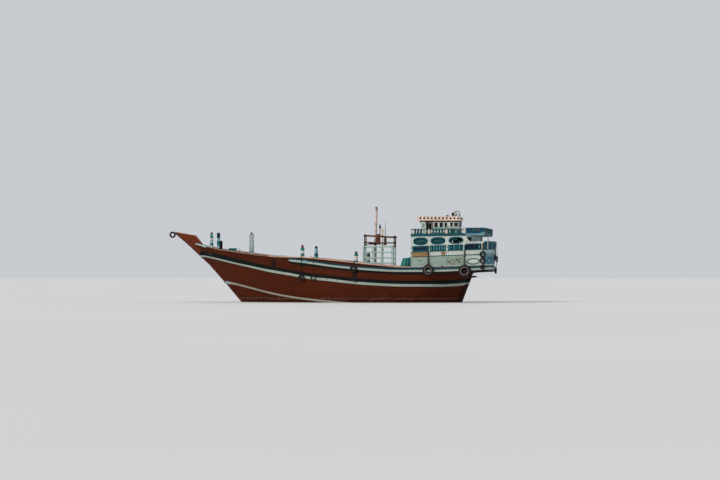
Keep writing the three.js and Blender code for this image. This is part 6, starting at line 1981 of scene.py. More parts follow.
# ---------------------------------------------------------------- stem, keel, rudder, engine
def keel_and_stem():
    p = Piece("keel_timbers", "hull_paint", replaces=("keel",))
    m = paint("keel_paint", (74, 40, 32), wear=0.5, dirt=0.6)
    for k in range(4):
        a, b = -12.98 + k * 5.33, -12.98 + (k + 1) * 5.33
        z = -2.10 if k == 0 else -2.01
        if k == 0:
            p.add(box((a, -11.9), (-0.13, 0.13), (-2.55, -2.112), 0.014), m)
            p.add(box((-11.9, b), (-0.13, 0.13), (-2.55, -2.01), 0.014), m)
        else:
            p.add(box((a + 0.002, b - 0.002), (-0.13, 0.13), (-2.55, -2.01), 0.014), m)
        p.add(beam((b - 0.5, -0.132, -2.5), (b + 0.5 if k < 3 else b + 0.0, -0.132, -2.2), 0.012, 0.03, c=0.002), WALE_DARK)
    p.add(extrude([(8.33, -2.55), (8.9, -2.2), (8.9, -2.0), (8.33, -2.0)], -0.13, 0.13, "xz", 0.012), m)
    p.done()

    p = Piece("stem_timbers", "hull_paint", replaces=("stem",))
    low = [(8.352, -2.55), (8.9, -2.2), (10.63, 0), (12.21, 1.83), (14.32, 4.16), (15.30, 5.045), (14.3, 4.9), (13.3, 3.9), (10, 0.1), (8.5, -2)]
    high = [(15.31, 5.054), (15.76, 5.46), (16.4, 6.06), (17.15, 6.72), (18.09, 7.48), (18.33, 7.73), (18.23, 7.85), (15.93, 7.46), (15.2, 6.58), (15.05, 5.8), (14.31, 4.91)]
    p.add(extrude(low, -0.18, 0.18, "xz", 0.03), RED)
    p.add(extrude(high, -0.17, 0.17, "xz", 0.03), BEAK)
    edge = [(15.2, 4.95), (15.76, 5.46), (16.4, 6.06), (17.15, 6.72), (18.09, 7.48), (18.33, 7.73)]
    inner = [(x - 0.105, z + 0.125) for x, z in edge]
    p.add(extrude(edge + inner[::-1], -0.19, 0.19, "xz", 0.012), paint("stem_edge", (84, 50, 48), wear=0.45, dirt=0.5))
    top = [(18.24, 7.855), (15.93, 7.465), (15.2, 6.585)]
    under = [(15.27, 6.55), (15.97, 7.38), (18.26, 7.765)]
    p.add(extrude(top + under, -0.188, 0.188, "xz", 0.01), paint("stem_top", (128, 72, 52), wear=0.5, dirt=0.4))
    # scarf lines, bolts, and an iron pin through the stem's head
    for (xa, za), (xb, zb) in (((9.6, -1.3), (9.15, -0.75)), ((11.5, 1.0), (11.05, 1.6)), ((13.6, 3.36), (13.1, 3.9)), ((16.9, 6.5), (16.3, 7.1))):
        for s in (1, -1):
            p.add(beam((xa, s * 0.182, za), (xb, s * 0.182, zb), 0.008, 0.022, c=0.002), WALE_DARK)
    for t in np.linspace(0.08, 0.92, 9):
        x, z = np.interp(t, [0, 0.5, 1], [15.6, 16.9, 18.1]), np.interp(t, [0, 0.5, 1], [5.55, 6.75, 7.62])
        for s in (1, -1):
            p.add(lathe([(0.03, -0.006), (0.03, 0.006), (0.016, 0.014)], (x, s * 0.17, z), 10, "y"), IRON, True)
    p.add(lathe([(0.05, -0.2), (0.06, -0.19), (0.06, 0.19), (0.05, 0.2)], (18.12, 0, 7.66), 14, "y"), DARK_IRON, True)
    p.done()


keel_and_stem()


def counter_block():
    """Timbers that close the corner between the sternpost's head, the planking and the overhang."""
    p = Piece("counter_timbers", "hull_paint")
    # a darker copy of the hull's red: painted shade under the overhang
    m = paint("counter_red", (52, 22, 13), "x", wear=0.4, dirt=0.5)
    p.add(extrude([(-14.7, 2.75), (-14.92, 2.75), (-15.28, 2.98), (-15.40, 3.12), (-15.46, 3.42), (-14.5, 3.42), (-14.5, 2.75)], -0.35, 0.35, "xz", 0.02), m)
    for s_ in (1, -1):
        lo, hi = sorted((s_ * 0.345, s_ * 1.1))
        p.add(extrude([(-14.4, 3.05), (-15.1, 3.12), (-15.34, 3.3), (-15.36, 3.42), (-14.4, 3.42)], lo, hi, "xz", 0.02), m)
        p.add(beam((-15.2, s_ * 0.36, 3.08), (-14.75, s_ * 0.36, 2.86), 0.04, 0.1, c=0.01), WALE_DARK)
    p.done()


counter_block()


def below_water():
    slope = 2400 / 6050
    post_x = lambda z: -12.9 - slope * (z + 2.1)
    lead = lambda z: post_x(z) - 0.06
    p = Piece("rudder_planks", "hull_paint", "rudder", replaces=("rudder",))
    m = paint("rudder_paint", (70, 34, 26), "z", wear=0.5, dirt=0.6)
    after = [(lead(-2.08) - 1.15, -2.18), (lead(-1.2) - 1.0, -1.0), (lead(-0.1) - 0.42, -0.1), (lead(2.1) - 0.4, 2.1), (lead(2.75) - 0.4, 2.75)]
    levels = np.array([z for _, z in after])
    aft_x = lambda z: float(np.interp(z, levels, [x for x, _ in after]))
    for k in range(3):
        ring_f = [(lead(z) + (aft_x(z) - lead(z)) * k / 3, z) for z in (-2.08 - 0.033 * k, -1.0, -0.1, 2.1, 2.75)]
        ring_a = [(lead(z) + (aft_x(z) - lead(z)) * (k + 1) / 3, z) for z in (-2.08 - 0.033 * (k + 1), -1.0, -0.1, 2.1, 2.75)]
        p.add(extrude([(a - 0.001, b) for a, b in ring_f] + [(a + 0.001, b) for a, b in ring_a[::-1]], -0.07 + 0.008 * k, 0.07 - 0.008 * k, "xz", 0.01), m)
    p.add(extrude([(lead(2.7) + 0.0, 2.7), (lead(2.95), 2.95), (lead(2.95) - 0.04, 2.952), (-15.85, 2.9), (-15.85, 2.76), (lead(2.7) - 0.4, 2.7)], -0.065, 0.065, "xz", 0.012), m)
    w = float(WALE(-15.0))
    for lo, hi, mm in ((w - 0.14, w + 0.138, PALE_RAIL), (w + 0.142, min(w + 0.50, 2.74), WALE_DARK)):
        if hi > lo:
            p.add(extrude([(lead(lo) - 0.01, lo), (lead(hi) - 0.01, hi), (lead(hi) - 0.37, hi), (lead(lo) - 0.37, lo)], -0.079, 0.079, "xz", 0.004), mm)
    for z in (-1.6, -0.5, 0.7, 1.9):
        a, b = lead(z) - 0.0, max(aft_x(z) + 0.12, lead(z) - 0.85)
        for s in (1, -1):
            p.add(box((b, a - 0.20), sorted((s * 0.055, s * 0.082)), (z - 0.05, z + 0.05), 0.008), IRON)
            for q in np.linspace(a - 0.25, b + 0.08, 4):
                p.add(lathe([(0.022, -0.003), (0.022, 0.004), (0.012, 0.009)], (q, s * 0.082, z), 8, "y"), DARK_IRON)
    p.done()

    p = Piece("sternpost_timber", "hull_paint")
    zs = (-2.03, 3.22)
    # a darker copy of the hull's red: painted shade under the overhang
    m = paint("post_red", (56, 24, 14), "z", wear=0.5, dirt=0.5)
    p.add(extrude([(post_x(zs[0]) + 0.25, zs[0]), (post_x(zs[0]) - 0.02, zs[0]), (post_x(zs[1]) - 0.02, zs[1]), (post_x(zs[1]) + 0.25, zs[1])], -0.115, 0.115, "xz", 0.012), m)
    for s_ in (1, -1):
        lo, hi = sorted((s_ * 0.109, s_ * 0.128))
        p.add(extrude([(post_x(zs[0]) + 0.2, zs[0]), (post_x(zs[0]) - 0.165, zs[0]), (post_x(2.7) - 0.165, 2.7), (post_x(2.7) + 0.2, 2.7)], lo, hi, "xz", 0.005), m)
        for z in (-1.72, -0.62, 0.58, 1.78):
            p.add(box((post_x(z) - 0.16, post_x(z) + 0.5), sorted((s_ * 0.122, s_ * 0.142)), (z - 0.045, z + 0.045), 0.006), IRON)
    p.done()

    p = Piece("propeller_blades", "bronze", "propeller", replaces=("propeller",))
    bronze = iron("prop_bronze", (150, 112, 60), 0.15, 0.9)
    c = np.array([-12.18, 0.0, -1.27])
    p.add(lathe([(0.02, -0.2), (0.07, -0.185), (0.10, -0.14), (0.115, -0.05), (0.115, 0.08), (0.10, 0.18), (0.055, 0.2), (0.055, 0.42)], c, 28, "x"), bronze, True)
    for i in range(4):
        base = i * math.pi / 2 + 0.4
        P = []
        for t in np.linspace(0, 1, 10):
            r = 0.07 + 0.61 * t
            w = 0.175 * math.sin(math.pi * (0.16 + 0.74 * t)) ** 0.6 * (1 if t < 0.9 else 0.62)
            pitch = math.radians(58 - 30 * t)
            th = 0.026 * (1 - t) + 0.006
            row = []
            for u, k in ((-1, 0), (-0.6, 0.8), (0, 1), (0.6, 0.8), (1, 0), (0.6, -0.2), (0, -0.25), (-0.6, -0.2)):
                along, off = u * w, k * th
                ax, tan = along * math.sin(pitch) + off * math.cos(pitch), along * math.cos(pitch) - off * math.sin(pitch)
                ang = base + tan / max(r, 0.09) * 0.9
                row.append(c + (ax, -r * math.sin(ang), r * math.cos(ang)))
            P.append(row)
        p.add(grid(P, wrap=True, caps=True), bronze, True)
    p.done()

    p = Piece("engine_parts", "engine_iron", replaces=("engine",))
    green = paint("engine_green", (62, 92, 74), "x", rough=0.45, wear=0.5, under=lin((60, 52, 46)), dirt=0.6)
    for s in (1, -1):
        p.add(box((-12.0, -10.1), sorted((s * 0.3, s * 0.44)), (-0.38, -0.24), 0.012), BROWN_X)
    p.add(box((-11.55, -10.35), (-0.3, 0.3), (-0.24, 0.1), 0.03), green)
    p.add(box((-11.5, -10.4), (-0.25, 0.25), (0.1, 0.52), 0.03), green)
    p.add(box((-11.5, -10.4), (-0.2, 0.2), (0.54, 0.68), 0.03), green)
    for k in range(6):
        x = -11.4 + 0.18 * k
        p.add(box((x - 0.07, x + 0.07), (-0.14, 0.14), (0.66, 0.78), 0.02), green)
        p.add(tube([(x, 0.16, 0.62), (x, 0.26, 0.60), (x, 0.32, 0.54)], 0.028, 8), DARK_IRON, True)
        p.add(tube([(x, -0.16, 0.72), (x, -0.28, 0.66), (x, -0.3, 0.4)], 0.009, 6), iron("brass", (150, 120, 60), 0.2, 0.9), True)
    p.add(tube([(-11.5, 0.34, 0.54), (-10.4, 0.34, 0.54)], 0.06, 12), DARK_IRON, True)
    p.add(tube([(-11.5, 0.34, 0.54), (-11.66, 0.34, 0.58), (-11.72, 0.34, 0.7), (-11.72, 0.34, 0.88)], 0.06, 12), DARK_IRON, True)
    p.add(lathe([(0.3, -0.08), (0.36, -0.06), (0.36, 0.06), (0.3, 0.08)], (-11.64, 0, 0.02), 32, "x"), green, True)
    p.add(box((-12.0, -11.72), (-0.2, 0.2), (-0.24, 0.2), 0.03), green)
    p.add(box((-10.35, -10.22), (-0.2, 0.2), (0.0, 0.5), 0.02), DARK_IRON)
    p.add(lathe([(0.08, -0.04), (0.1, -0.03), (0.1, 0.03), (0.08, 0.04)], (-10.18, 0, -0.02), 24, "x"), DARK_IRON, True)
    for y in (-0.36,):
        p.add(tube([(-11.2, y, 0.25), (-10.7, y, 0.25)], 0.09, 14), green, True)
    p.done()


below_water()


# ---------------------------------------------------------------- posts, capstan, mast
POST_RED = paint("post_tip", (96, 44, 34), "z", wear=0.35, dirt=0.3)
POST_TEAL = paint("post_teal", (12, 116, 112), "z", wear=0.3, dirt=0.3)
POST_DARK = paint("post_dark", (18, 58, 66), "z", wear=0.3, dirt=0.3)
POST_BLUE = paint("post_blue", (122, 176, 190), "z", wear=0.3, dirt=0.35)
POST_PALE = paint("post_pale", (190, 186, 178), "z", wear=0.35, dirt=0.35)
POST_GREEN = paint("post_green", (60, 150, 130), "z", wear=0.3, dirt=0.35)
POST_NAVY = paint("post_navy", (20, 34, 58), "z", wear=0.3, dirt=0.3)
POST_YELLOW = paint("post_foot", (188, 182, 150), "z", wear=0.35, dirt=0.35)


def banded_post(p, x, y, foot, r, bands):
    """bands: (top height, radius share, material), from the foot up; each has rounded shoulders."""
    z = foot
    for top, k, m in bands:
        c = min(0.03, 0.25 * (top - z))
        q = r * k
        p.add(lathe([(q * 0.86, z), (q, z + c), (q * 1.0, (z + top) / 2), (q, top - c), (q * 0.86, top)], (x, y, 0), 16), m, True)
        p.add(lathe([(q * 0.7, z - 0.01), (q * 1.06, z - 0.004), (q * 1.06, z + 0.012), (q * 0.7, z + 0.018)], (x, y, 0), 16), POST_DARK, True)
        z = top
    return z


def bitts():
    z0 = float(deck_z(13.8)) - 0.03
    for name, y, bands in (("bow_post_port", 1.19, [(6.0, 0.8, MINT_Z), (6.16, 1.45, POST_PALE), (6.32, 1.22, POST_PALE), (6.53, 1.05, POST_TEAL), (6.81, 0.92, POST_BLUE), (7.14, 1.0, POST_PALE), (7.37, 0.9, POST_TEAL), (7.56, 0.8, POST_GREEN), (7.76, 0.66, POST_RED)]),
                           ("bow_post_starboard", -1.19, [(6.0, 0.8, MINT_Z), (6.14, 1.4, POST_PALE), (6.28, 1.2, POST_BLUE), (6.46, 1.0, POST_BLUE), (6.8, 1.02, POST_TEAL), (7.19, 0.92, POST_BLUE), (7.42, 0.95, POST_DARK), (7.76, 1.0, POST_DARK)])):
        p = Piece(name + "_turned", "mint_paint", replaces=(name,))
        x = 13.8 if y > 0 else 13.6
        z = banded_post(p, x, y, z0, 0.194, bands)
        p.add(lathe([(0.05, z - 0.01), (0.07, z + 0.01), (0.05, z + 0.035), (0.01, z + 0.05)], (x, y, 0), 14), bands[-1][2], True)
        p.done()
    z0 = float(deck_z(2.89)) - 0.03
    for name, x, y, top, bands in (
            ("waist_post_fore_port", 2.89, 3.85, 6.3, [(4.89, 0.9, POST_YELLOW), (5.14, 1.0, POST_YELLOW), (5.33, 1.04, POST_TEAL), (5.71, 0.94, POST_PALE), (5.965, 1.0, POST_TEAL), (6.25, 0.66, POST_RED)]),
            ("waist_post_fore_starboard", 2.89, -3.85, 6.3, [(4.9, 0.9, POST_GREEN), (5.22, 1.0, POST_GREEN), (5.41, 1.04, POST_DARK), (6.0, 0.92, POST_BLUE), (6.25, 0.7, POST_NAVY)]),
            ("waist_post_aft_port", -3.1, 3.99, 5.6, [(4.15, 0.9, POST_PALE), (4.4, 0.95, POST_PALE), (4.56, 1.04, POST_TEAL), (5.1, 0.9, POST_PALE), (5.35, 1.0, POST_TEAL), (5.55, 0.66, POST_RED)]),
            ("waist_post_aft_starboard", -3.1, -3.99, 5.6, [(4.4, 0.92, POST_PALE), (4.6, 1.04, POST_TEAL), (5.1, 0.9, POST_PALE), (5.3, 1.0, POST_DARK), (5.55, 0.7, POST_RED)])):
        p = Piece(name + "_turned", "mint_paint", replaces=(name,))
        s = 1 if y > 0 else -1
        z = banded_post(p, x, y, float(deck_z(x)) - 0.03, 0.212, bands)
        p.add(lathe([(0.07, z - 0.01), (0.09, z + 0.012), (0.06, z + 0.035), (0.01, z + 0.05)], (x, y, 0), 14), bands[-1][2], True)
        p.done()

    p = Piece("samson_post_faces", "mint_paint", replaces=("samson_post",))
    z0 = float(deck_z(9.5)) - 0.03
    samson = paint("samson_blue", (150, 172, 178), "z", wear=0.35, dirt=0.35)
    p.add(box((9.27, 9.73), (-0.19, 0.19), (z0, 6.9), 0.03), samson)
    p.add(box((9.33, 9.67), (-0.16, 0.16), (6.9, 7.1), 0.02), POST_PALE)
    p.add(box((9.27, 9.73), (-0.19, 0.19), (7.1, 7.5), 0.035), samson)
    p.add(box((9.31, 9.47), (-0.17, 0.17), (7.5, 7.68), 0.03), samson)
    p.add(box((9.53, 9.69), (-0.17, 0.17), (7.5, 7.62), 0.03), POST_PALE)
    p.add(lathe([(0.07, 7.6), (0.085, 7.66), (0.09, 7.73), (0.07, 7.79), (0.02, 7.82)], (9.5, 0, 0), 14), POST_NAVY, True)
    for z, m in ((5.6, POST_TEAL), (6.9, POST_PALE)):
        p.add(box((9.258, 9.742), (-0.202, 0.202), (z, z + 0.07), 0.012), m)
    for s in (1, -1):
        p.add(box((9.47, 9.53), sorted((s * 0.186, s * 0.2)), (z0 + 0.3, 7.4), 0.006), POST_PALE)
    p.add(beam((9.5, -0.2, 7.3), (9.5, 0.2, 7.3), 0.05, 0.05, c=0.015), IRON)
    p.done()

    p = Piece("capstan_turned", "iron", "capstan", replaces=("capstan",))
    black = paint("capstan_black", (16, 16, 18), "z", rough=0.4, wear=0.3, under=lin((92, 62, 44)), dirt=0.2)
    z0 = float(deck_z(13.0)) + 0.06
    p.add(lathe([(0.25, z0), (0.26, z0 + 0.05), (0.24, z0 + 0.12), (0.19, z0 + 0.2), (0.145, z0 + 0.3), (0.12, 5.5), (0.118, 6.1), (0.125, 6.45), (0.15, 6.6), (0.18, 6.68), (0.186, 6.74), (0.16, 6.79), (0.10, 6.81), (0.085, 6.83), (0.06, 6.87)], (13.0, 0, 0), 24), black, True)
    for i in range(8):
        a = i * math.pi / 4
        P = [(13.0 + r * math.cos(a), r * math.sin(a), z) for r, z in ((0.235, z0 + 0.14), (0.175, z0 + 0.26), (0.135, 5.5), (0.128, 6.1), (0.142, 6.5))]
        p.add(sweep(P, [(-0.018, -0.02), (0.018, -0.02), (0.018, 0.016), (0.008, 0.022), (-0.008, 0.022), (-0.018, 0.016)], up=(math.cos(a), math.sin(a), 0)), black)
    p.done()


bitts()


def bar_cap(p, x, y, z, r, m):
    p.add(lathe([(r * 0.9, z), (r, z + 0.01), (r * 0.8, z + 0.03), (r * 0.2, z + 0.04)], (x, y, 0), 12), m, True)


def masts():
    p = Piece("mast_pole", "bare_pole", replaces=("mast",))
    pole = timber("mast_wood", (222, 198, 186), "z", grey=0.4)
    pale = timber("mast_foot", (232, 208, 196), "z", grey=0.2)
    z0 = float(deck_z(-4.5)) - 0.03
    path = [(-4.5 - 0.06 * t, 0.006 * math.sin(7 * t), z0 + (6.6 - z0) * t) for t in np.linspace(0, 1, 7)]
    p.add(tube(path, np.linspace(0.172, 0.14, 7), 16), pale, True)
    path = [(-4.56 - 0.1 * t + 0.012 * math.sin(5 * t), 0.01 * math.sin(4 * t), 6.5 + (10.48 - 6.5) * t) for t in np.linspace(0, 1, 15)]
    p.add(tube(path, np.linspace(0.124, 0.098, 15), 14), pole, True)
    p.add(lathe([(0.08, 10.36), (0.115, 10.38), (0.12, 10.46), (0.12, 10.52), (0.06, 10.54)], (-4.66, 0, 0), 14), DARK_IRON, True)
    p.add(box((-4.79, -4.63), (-0.03, 0.03), (10.28, 10.44), 0.015), DARK_IRON)
    for z in (6.56, 6.72, 8.6, 10.2):
        for k in range(4):
            zz = z + 0.034 * k
            t = (zz - 6.5) / 3.98
            p.add(torus((-4.56 - 0.1 * t + 0.012 * math.sin(5 * t), 0, zz), 0.130 - 0.026 * t, 0.016, "z", 18, 6), PALE_ROPE, True)
    p.add(torus((-4.5, 0, z0 + 0.1), 0.185, 0.03, "z", 24, 8), IRON, True)
    p.add(rope([(-4.80, 0.0, 10.33), (-4.74, 0.06, 8.5), (-4.70, 0.12, 6.9), (-4.66, 0.18, 4.6)], 0.014, 0.12), ROPE, True)
    p.add(box((-4.7, -4.6), (0.12, 0.22), (4.5, 4.62), 0.015), BROWN_Z)
    p.done()


masts()


def rack():
    p = Piece("deck_rack_bars", "mint_paint", replaces=("deck_rack",))
    m_x, m_y, m_z = (paint("rack_mint", (162, 192, 186), a, wear=0.3, dirt=0.3) for a in "xyz")
    brown_x, brown_y, brown_z = (timber("rack_brown", (84, 60, 42), a, grey=0.15) for a in "xyz")
    X = (-6.74, -3.45)
    Y = (0.45, 1.6)
    for i, z in enumerate((4.33, 4.89, 5.50, 6.13)):
        for y in Y:
            s = 1 if y > 1 else -1
            # a plank in two lengths, nailed outside the posts, their ends lapping at the third
            p.add(beam((X[0] - 0.08, y + s * 0.047, z - 0.004), (-5.43, y + s * 0.047, z), 0.034, 0.145, c=0.008), m_x)
            p.add(beam((-5.425, y + s * 0.045, z), (X[1] + 0.05, y + s * 0.045, z + 0.008), 0.034, 0.145, c=0.008), m_x)
            for x in (-6.64, -5.47, -4.53, -3.49):
                p.add(lathe([(0.012, 0.0), (0.012, 0.004), (0.006, 0.006)], (x, y + s * 0.0645, z + 0.03), 6, "y"), IRON)
        for x in X:
            p.add(beam((x, Y[0] - 0.03, z), (x, Y[1] + 0.03, z), 0.04, 0.12, c=0.01), m_y)
    for x in (-6.64, -5.47, -4.53, -3.49):
        for y in Y:
            s = 1 if y > 1 else -1
            lo, hi = sorted((y - s * 0.055, y + s * 0.028))
            p.add(box((x - 0.06, x + 0.06), (lo, hi), (float(deck_z(x)) - 0.02, 6.21), 0.012), m_z)
            bar_cap(p, x, y - s * 0.012, 6.21, 0.05, m_z)
    for y in Y:
        s = 1 if y > 1 else -1
        q = y - s * 0.1
        # the brown frame: legs inside the pale posts, two rails, sloping a little aft
        for x, top in ((-3.6, 7.33), (-5.83, 7.2), (-6.9, 7.12)):
            p.add(box((x - 0.06, x + 0.06), (q - 0.04, q + 0.04), (6.05 if x != -5.83 else 6.3, top), 0.012), brown_z)
            if x != -5.83:
                p.add(box((x - 0.05, x + 0.05), (q - 0.035, q + 0.035), (float(deck_z(x)) - 0.02, 6.05), 0.012), m_z)
        p.add(beam((-7.04, q, 7.14), (-3.5, q, 7.36), 0.09, 0.18, c=0.014), brown_x)
        p.add(beam((-6.98, q, 6.53), (-3.52, q, 6.59), 0.06, 0.13, c=0.012), brown_x)
    for x, z in ((-3.6, 7.45), (-5.5, 7.33), (-6.9, 7.25)):
        p.add(beam((x, Y[0] - 0.05, z - 0.02), (x, Y[1] + 0.05, z - 0.02), 0.09, 0.1, c=0.012), brown_y)
    for x, z in ((-3.6, 6.68), (-5.83, 6.64), (-6.9, 6.62)):
        p.add(beam((x, Y[0], z), (x, Y[1], z), 0.07, 0.09, c=0.012), brown_y)
    # a shelf in the middle of it, with a standing board, the lantern, and the staffs
    dark = timber("shelf_dark", (34, 28, 24), "x", grey=0.08)
    for k in range(5):
        y = 0.52 + 0.205 * k
        p.add(box((-5.86, -3.56), (y, y + 0.198), (6.37, 6.41), 0.006), dark)
    for x in (-5.8, -4.7, -3.66):
        p.add(beam((x, 0.45, 6.33), (x, 1.6, 6.33), 0.07, 0.08, c=0.01), brown_y)
    black = paint("shelf_black", (16, 18, 18), "y", wear=0.3, dirt=0.3)
    for x in (-5.12, -4.86, -4.6, -4.36, -4.13):
        p.add(box((x - 0.09, x + 0.09), (0.62, 1.5), (6.41, 6.58), 0.03), black)
    board = timber("standing_board", (112, 62, 40), "z", grey=0.1)
    for k in range(3):
        a = -5.27 + 0.138 * k
        p.add(box((a, a + 0.134), (1.08, 1.12), (6.45, 7.56 - 0.03 * k), 0.006), board)
    for z in (6.85, 7.3):
        p.add(box((-5.29, -4.84), (1.05, 1.085), (z, z + 0.08), 0.006), board)
    ochre = timber("lamp_post_wood", (184, 140, 70), "z", grey=0.1)
    p.add(tube([(-5.53, 1.0, 5.3), (-5.535, 1.0, 6.6), (-5.53, 1.01, 8.13)], 0.05, 10), ochre, True)
    p.add(beam((-5.53, 0.45, 5.5), (-5.53, 1.6, 5.5), 0.06, 0.09, c=0.01), m_y)
    p.add(tube([(-5.24, 1.0, 6.34), (-5.24, 1.0, 8.16)], [0.052, 0.044], 10), brown_z, True)
    p.add(lathe([(0.04, 8.12), (0.10, 8.16), (0.125, 8.24), (0.12, 8.33), (0.06, 8.39), (0.03, 8.41)], (-5.24, 1.0, 0), 16), DARK_IRON, True)
    p.add(lathe([(0.03, 8.39), (0.075, 8.41), (0.085, 8.5), (0.07, 8.58), (0.02, 8.61)], (-5.24, 1.0, 0), 14), paint("lamp_blue", (84, 112, 146), "z", wear=0.2), True)
    p.add(tube([(-5.77, 0.6, 6.36), (-5.77, 0.6, 7.6), (-5.76, 0.6, 8.76)], [0.036, 0.032, 0.022], 8), timber("staff", (118, 102, 90), "z"), True)
    p.add(tube([(-5.77, 0.6, 8.0), (-5.53, 0.99, 7.9)], 0.012, 6), IRON, True)
    # lashings where the frame crosses the pale posts
    for x in (-3.6, -6.9):
        for y in (0.55, 1.5):
            for z in (6.53, 7.26):
                for k in range(3):
                    p.add(tube([(x - 0.075, y - 0.052, z + 0.03 * k), (x + 0.075, y - 0.052, z + 0.03 * k), (x + 0.075, y + 0.052, z + 0.03 * k), (x - 0.075, y + 0.052, z + 0.03 * k), (x - 0.075, y - 0.05, z + 0.03 * k)], 0.013, 6), ROPE)
    p.done()

    # ladder up the poop's front
    p = Piece("poop_ladder_steps", "stair_paint", replaces=("poop_ladder",))
    st = paint("stair_bright", (16, 166, 138), "x", wear=0.25, dirt=0.2)
    st_y = paint("stair_bright", (16, 166, 138), "y", wear=0.25, dirt=0.2)
    for y in (1.5, 2.34):
        p.add(extrude([(-7.46, 3.30), (-7.9, 3.315), (-9.04, 4.95), (-8.62, 4.95)], y, y + 0.06, "xz", 0.01), st)
        for x, z in ((-7.72, 3.5), (-8.25, 4.24), (-8.72, 4.86)):
            p.add(lathe([(0.022, -0.004), (0.022, 0.004), (0.012, 0.009)], (x, y + (0.062 if y > 2 else -0.002), z), 8, "y"), IRON)
    low, top = np.array([-7.5, -7.86, -8.0, -8.3, -8.42, -8.75, -9.06]), np.array([-7.98, -8.24, -8.34, -8.55, -8.62, -8.84, -9.06])
    boards = [paint(name, rgb, "z", wear=0.3, dirt=0.25) for name, rgb in (("side_a", (24, 128, 112)), ("side_b", (104, 150, 160)), ("side_c", (14, 104, 88)), ("side_d", (70, 116, 124)), ("side_e", (20, 84, 90)), ("side_f", (22, 100, 100)))]
    for y in (1.5, 2.365):
        for k, m in enumerate(boards):
            p.add(extrude([(low[k] - 0.004, 3.31), (low[k + 1] + 0.004, 3.31), (top[k + 1] + 0.004, 4.86 + 0.03 * (k % 2)), (top[k] - 0.004, 4.84 + 0.03 * (k % 3))], y + 0.012, y + 0.036, "xz", 0.005), m)
    for i in range(6):
        t = (i + 0.6) / 6.1
        x, z = -7.76 - 1.13 * t, 3.33 + 1.57 * t
        p.add(box((x - 0.13, x + 0.11), (1.56, 2.34), (z - 0.022, z + 0.022), 0.008), st_y)
        p.add(box((x + 0.07, x + 0.11), (1.56, 2.34), (z - 0.09, z - 0.02), 0.006), st_y)
    p.done()


rack()


def covers():
    z = 4.5361
    wood = timber("cover_planks", (128, 96, 70), "y", grey=0.45)
    for name, s in (("port", 1), ("starboard", -1)):
        p = Piece("cargo_hatch_" + name + "_planks", "deck_wood", "cargo_hatch_" + name, replaces=("cargo_hatch_" + name,))
        n = 34
        for k in range(n):
            a, b = -1.79 + 7.48 * k / n, -1.79 + 7.48 * (k + 1) / n
            p.add(box((a + 0.002, b - 0.002), sorted((s * 0.008, s * 1.588)), (z + 0.022, z + 0.058), 0.005), wood)
        for y in (0.1, 0.8, 1.42):
            p.add(box((-1.78, 5.68), sorted((s * y, s * (y + 0.1))), (z + 0.001, z + 0.022), 0.004), BROWN_X)
        for x in (-1.2, 0.7, 3.2, 5.1):
            p.add(box((x - 0.035, x + 0.035), sorted((s * 0.05, s * 1.588)), (z + 0.058, z + 0.069), 0.003), IRON)
        p.done()
    p = Piece("fore_hatch_lid_boards", "teal_paint", "fore_hatch_lid", replaces=("fore_hatch_lid",))
    for k in range(8):
        a, b = 10.97 + 1.56 * k / 8, 10.97 + 1.56 * (k + 1) / 8
        p.add(box((a + 0.001, b - 0.001), (-0.73, 0.73), (5.572, 5.618), 0.006), TEAL_Y if k % 3 else POST_TEAL)
    for y in (-0.55, 0.43):
        p.add(box((11.0, 12.5), (y, y + 0.12), (5.618, 5.64), 0.006), MINT_X)
    p.add(torus((11.1, 0, 5.632), 0.05, 0.007, "z", 16, 6), IRON, True)
    p.done()


def bow_gear():
    # a teal box beside the fore hatch, with a short spar leaning on it
    p = Piece("bow_gear_box", "teal_paint")
    z = float(deck_z(11.0)) - 0.1
    for k in range(4):
        a, b = 11.02 + 0.8 * k / 4, 11.02 + 0.8 * (k + 1) / 4
        for y in (0.84, 1.155):
            p.add(box((a + 0.001, b - 0.001), (y, y + 0.035), (z, 5.93), 0.005), TEAL_Z if k % 2 else POST_TEAL)
    for x in (11.02, 11.785):
        p.add(box((x, x + 0.035), (0.876, 1.154), (z, 5.93), 0.005), TEAL_Z)
    for k in range(3):
        p.add(box((10.98, 11.86), (0.80 + 0.146 * k + 0.002, 0.80 + 0.146 * (k + 1) - 0.002), (5.93, 6.0), 0.008), POST_TEAL if k != 1 else TEAL_X)
    for x in (11.1, 11.7):
        p.add(box((x, x + 0.05), (0.82, 1.22), (6.0, 6.012), 0.003), IRON)
    p.add(tube([(10.93, 1.0, 6.07), (10.4, 0.93, 5.56), (9.86, 0.86, 5.03)], 0.05, 12), POST_PALE, True)
    p.add(tube([(10.9, 0.62, 5.98), (10.3, 0.5, 5.5), (9.8, 0.36, 5.02)], 0.035, 10), CAP_WOOD, True)
    p.done()


covers()
bow_gear()


# ---------------------------------------------------------------- tyres, ropes and small things
TYRE = rubber("tyre_rubber", (19, 18, 19), 0.15)
WORN = rubber("tyre_worn", (122, 104, 98), 0.5)
DARK_ROPE = rope_mat("dark_rope", (40, 36, 32))


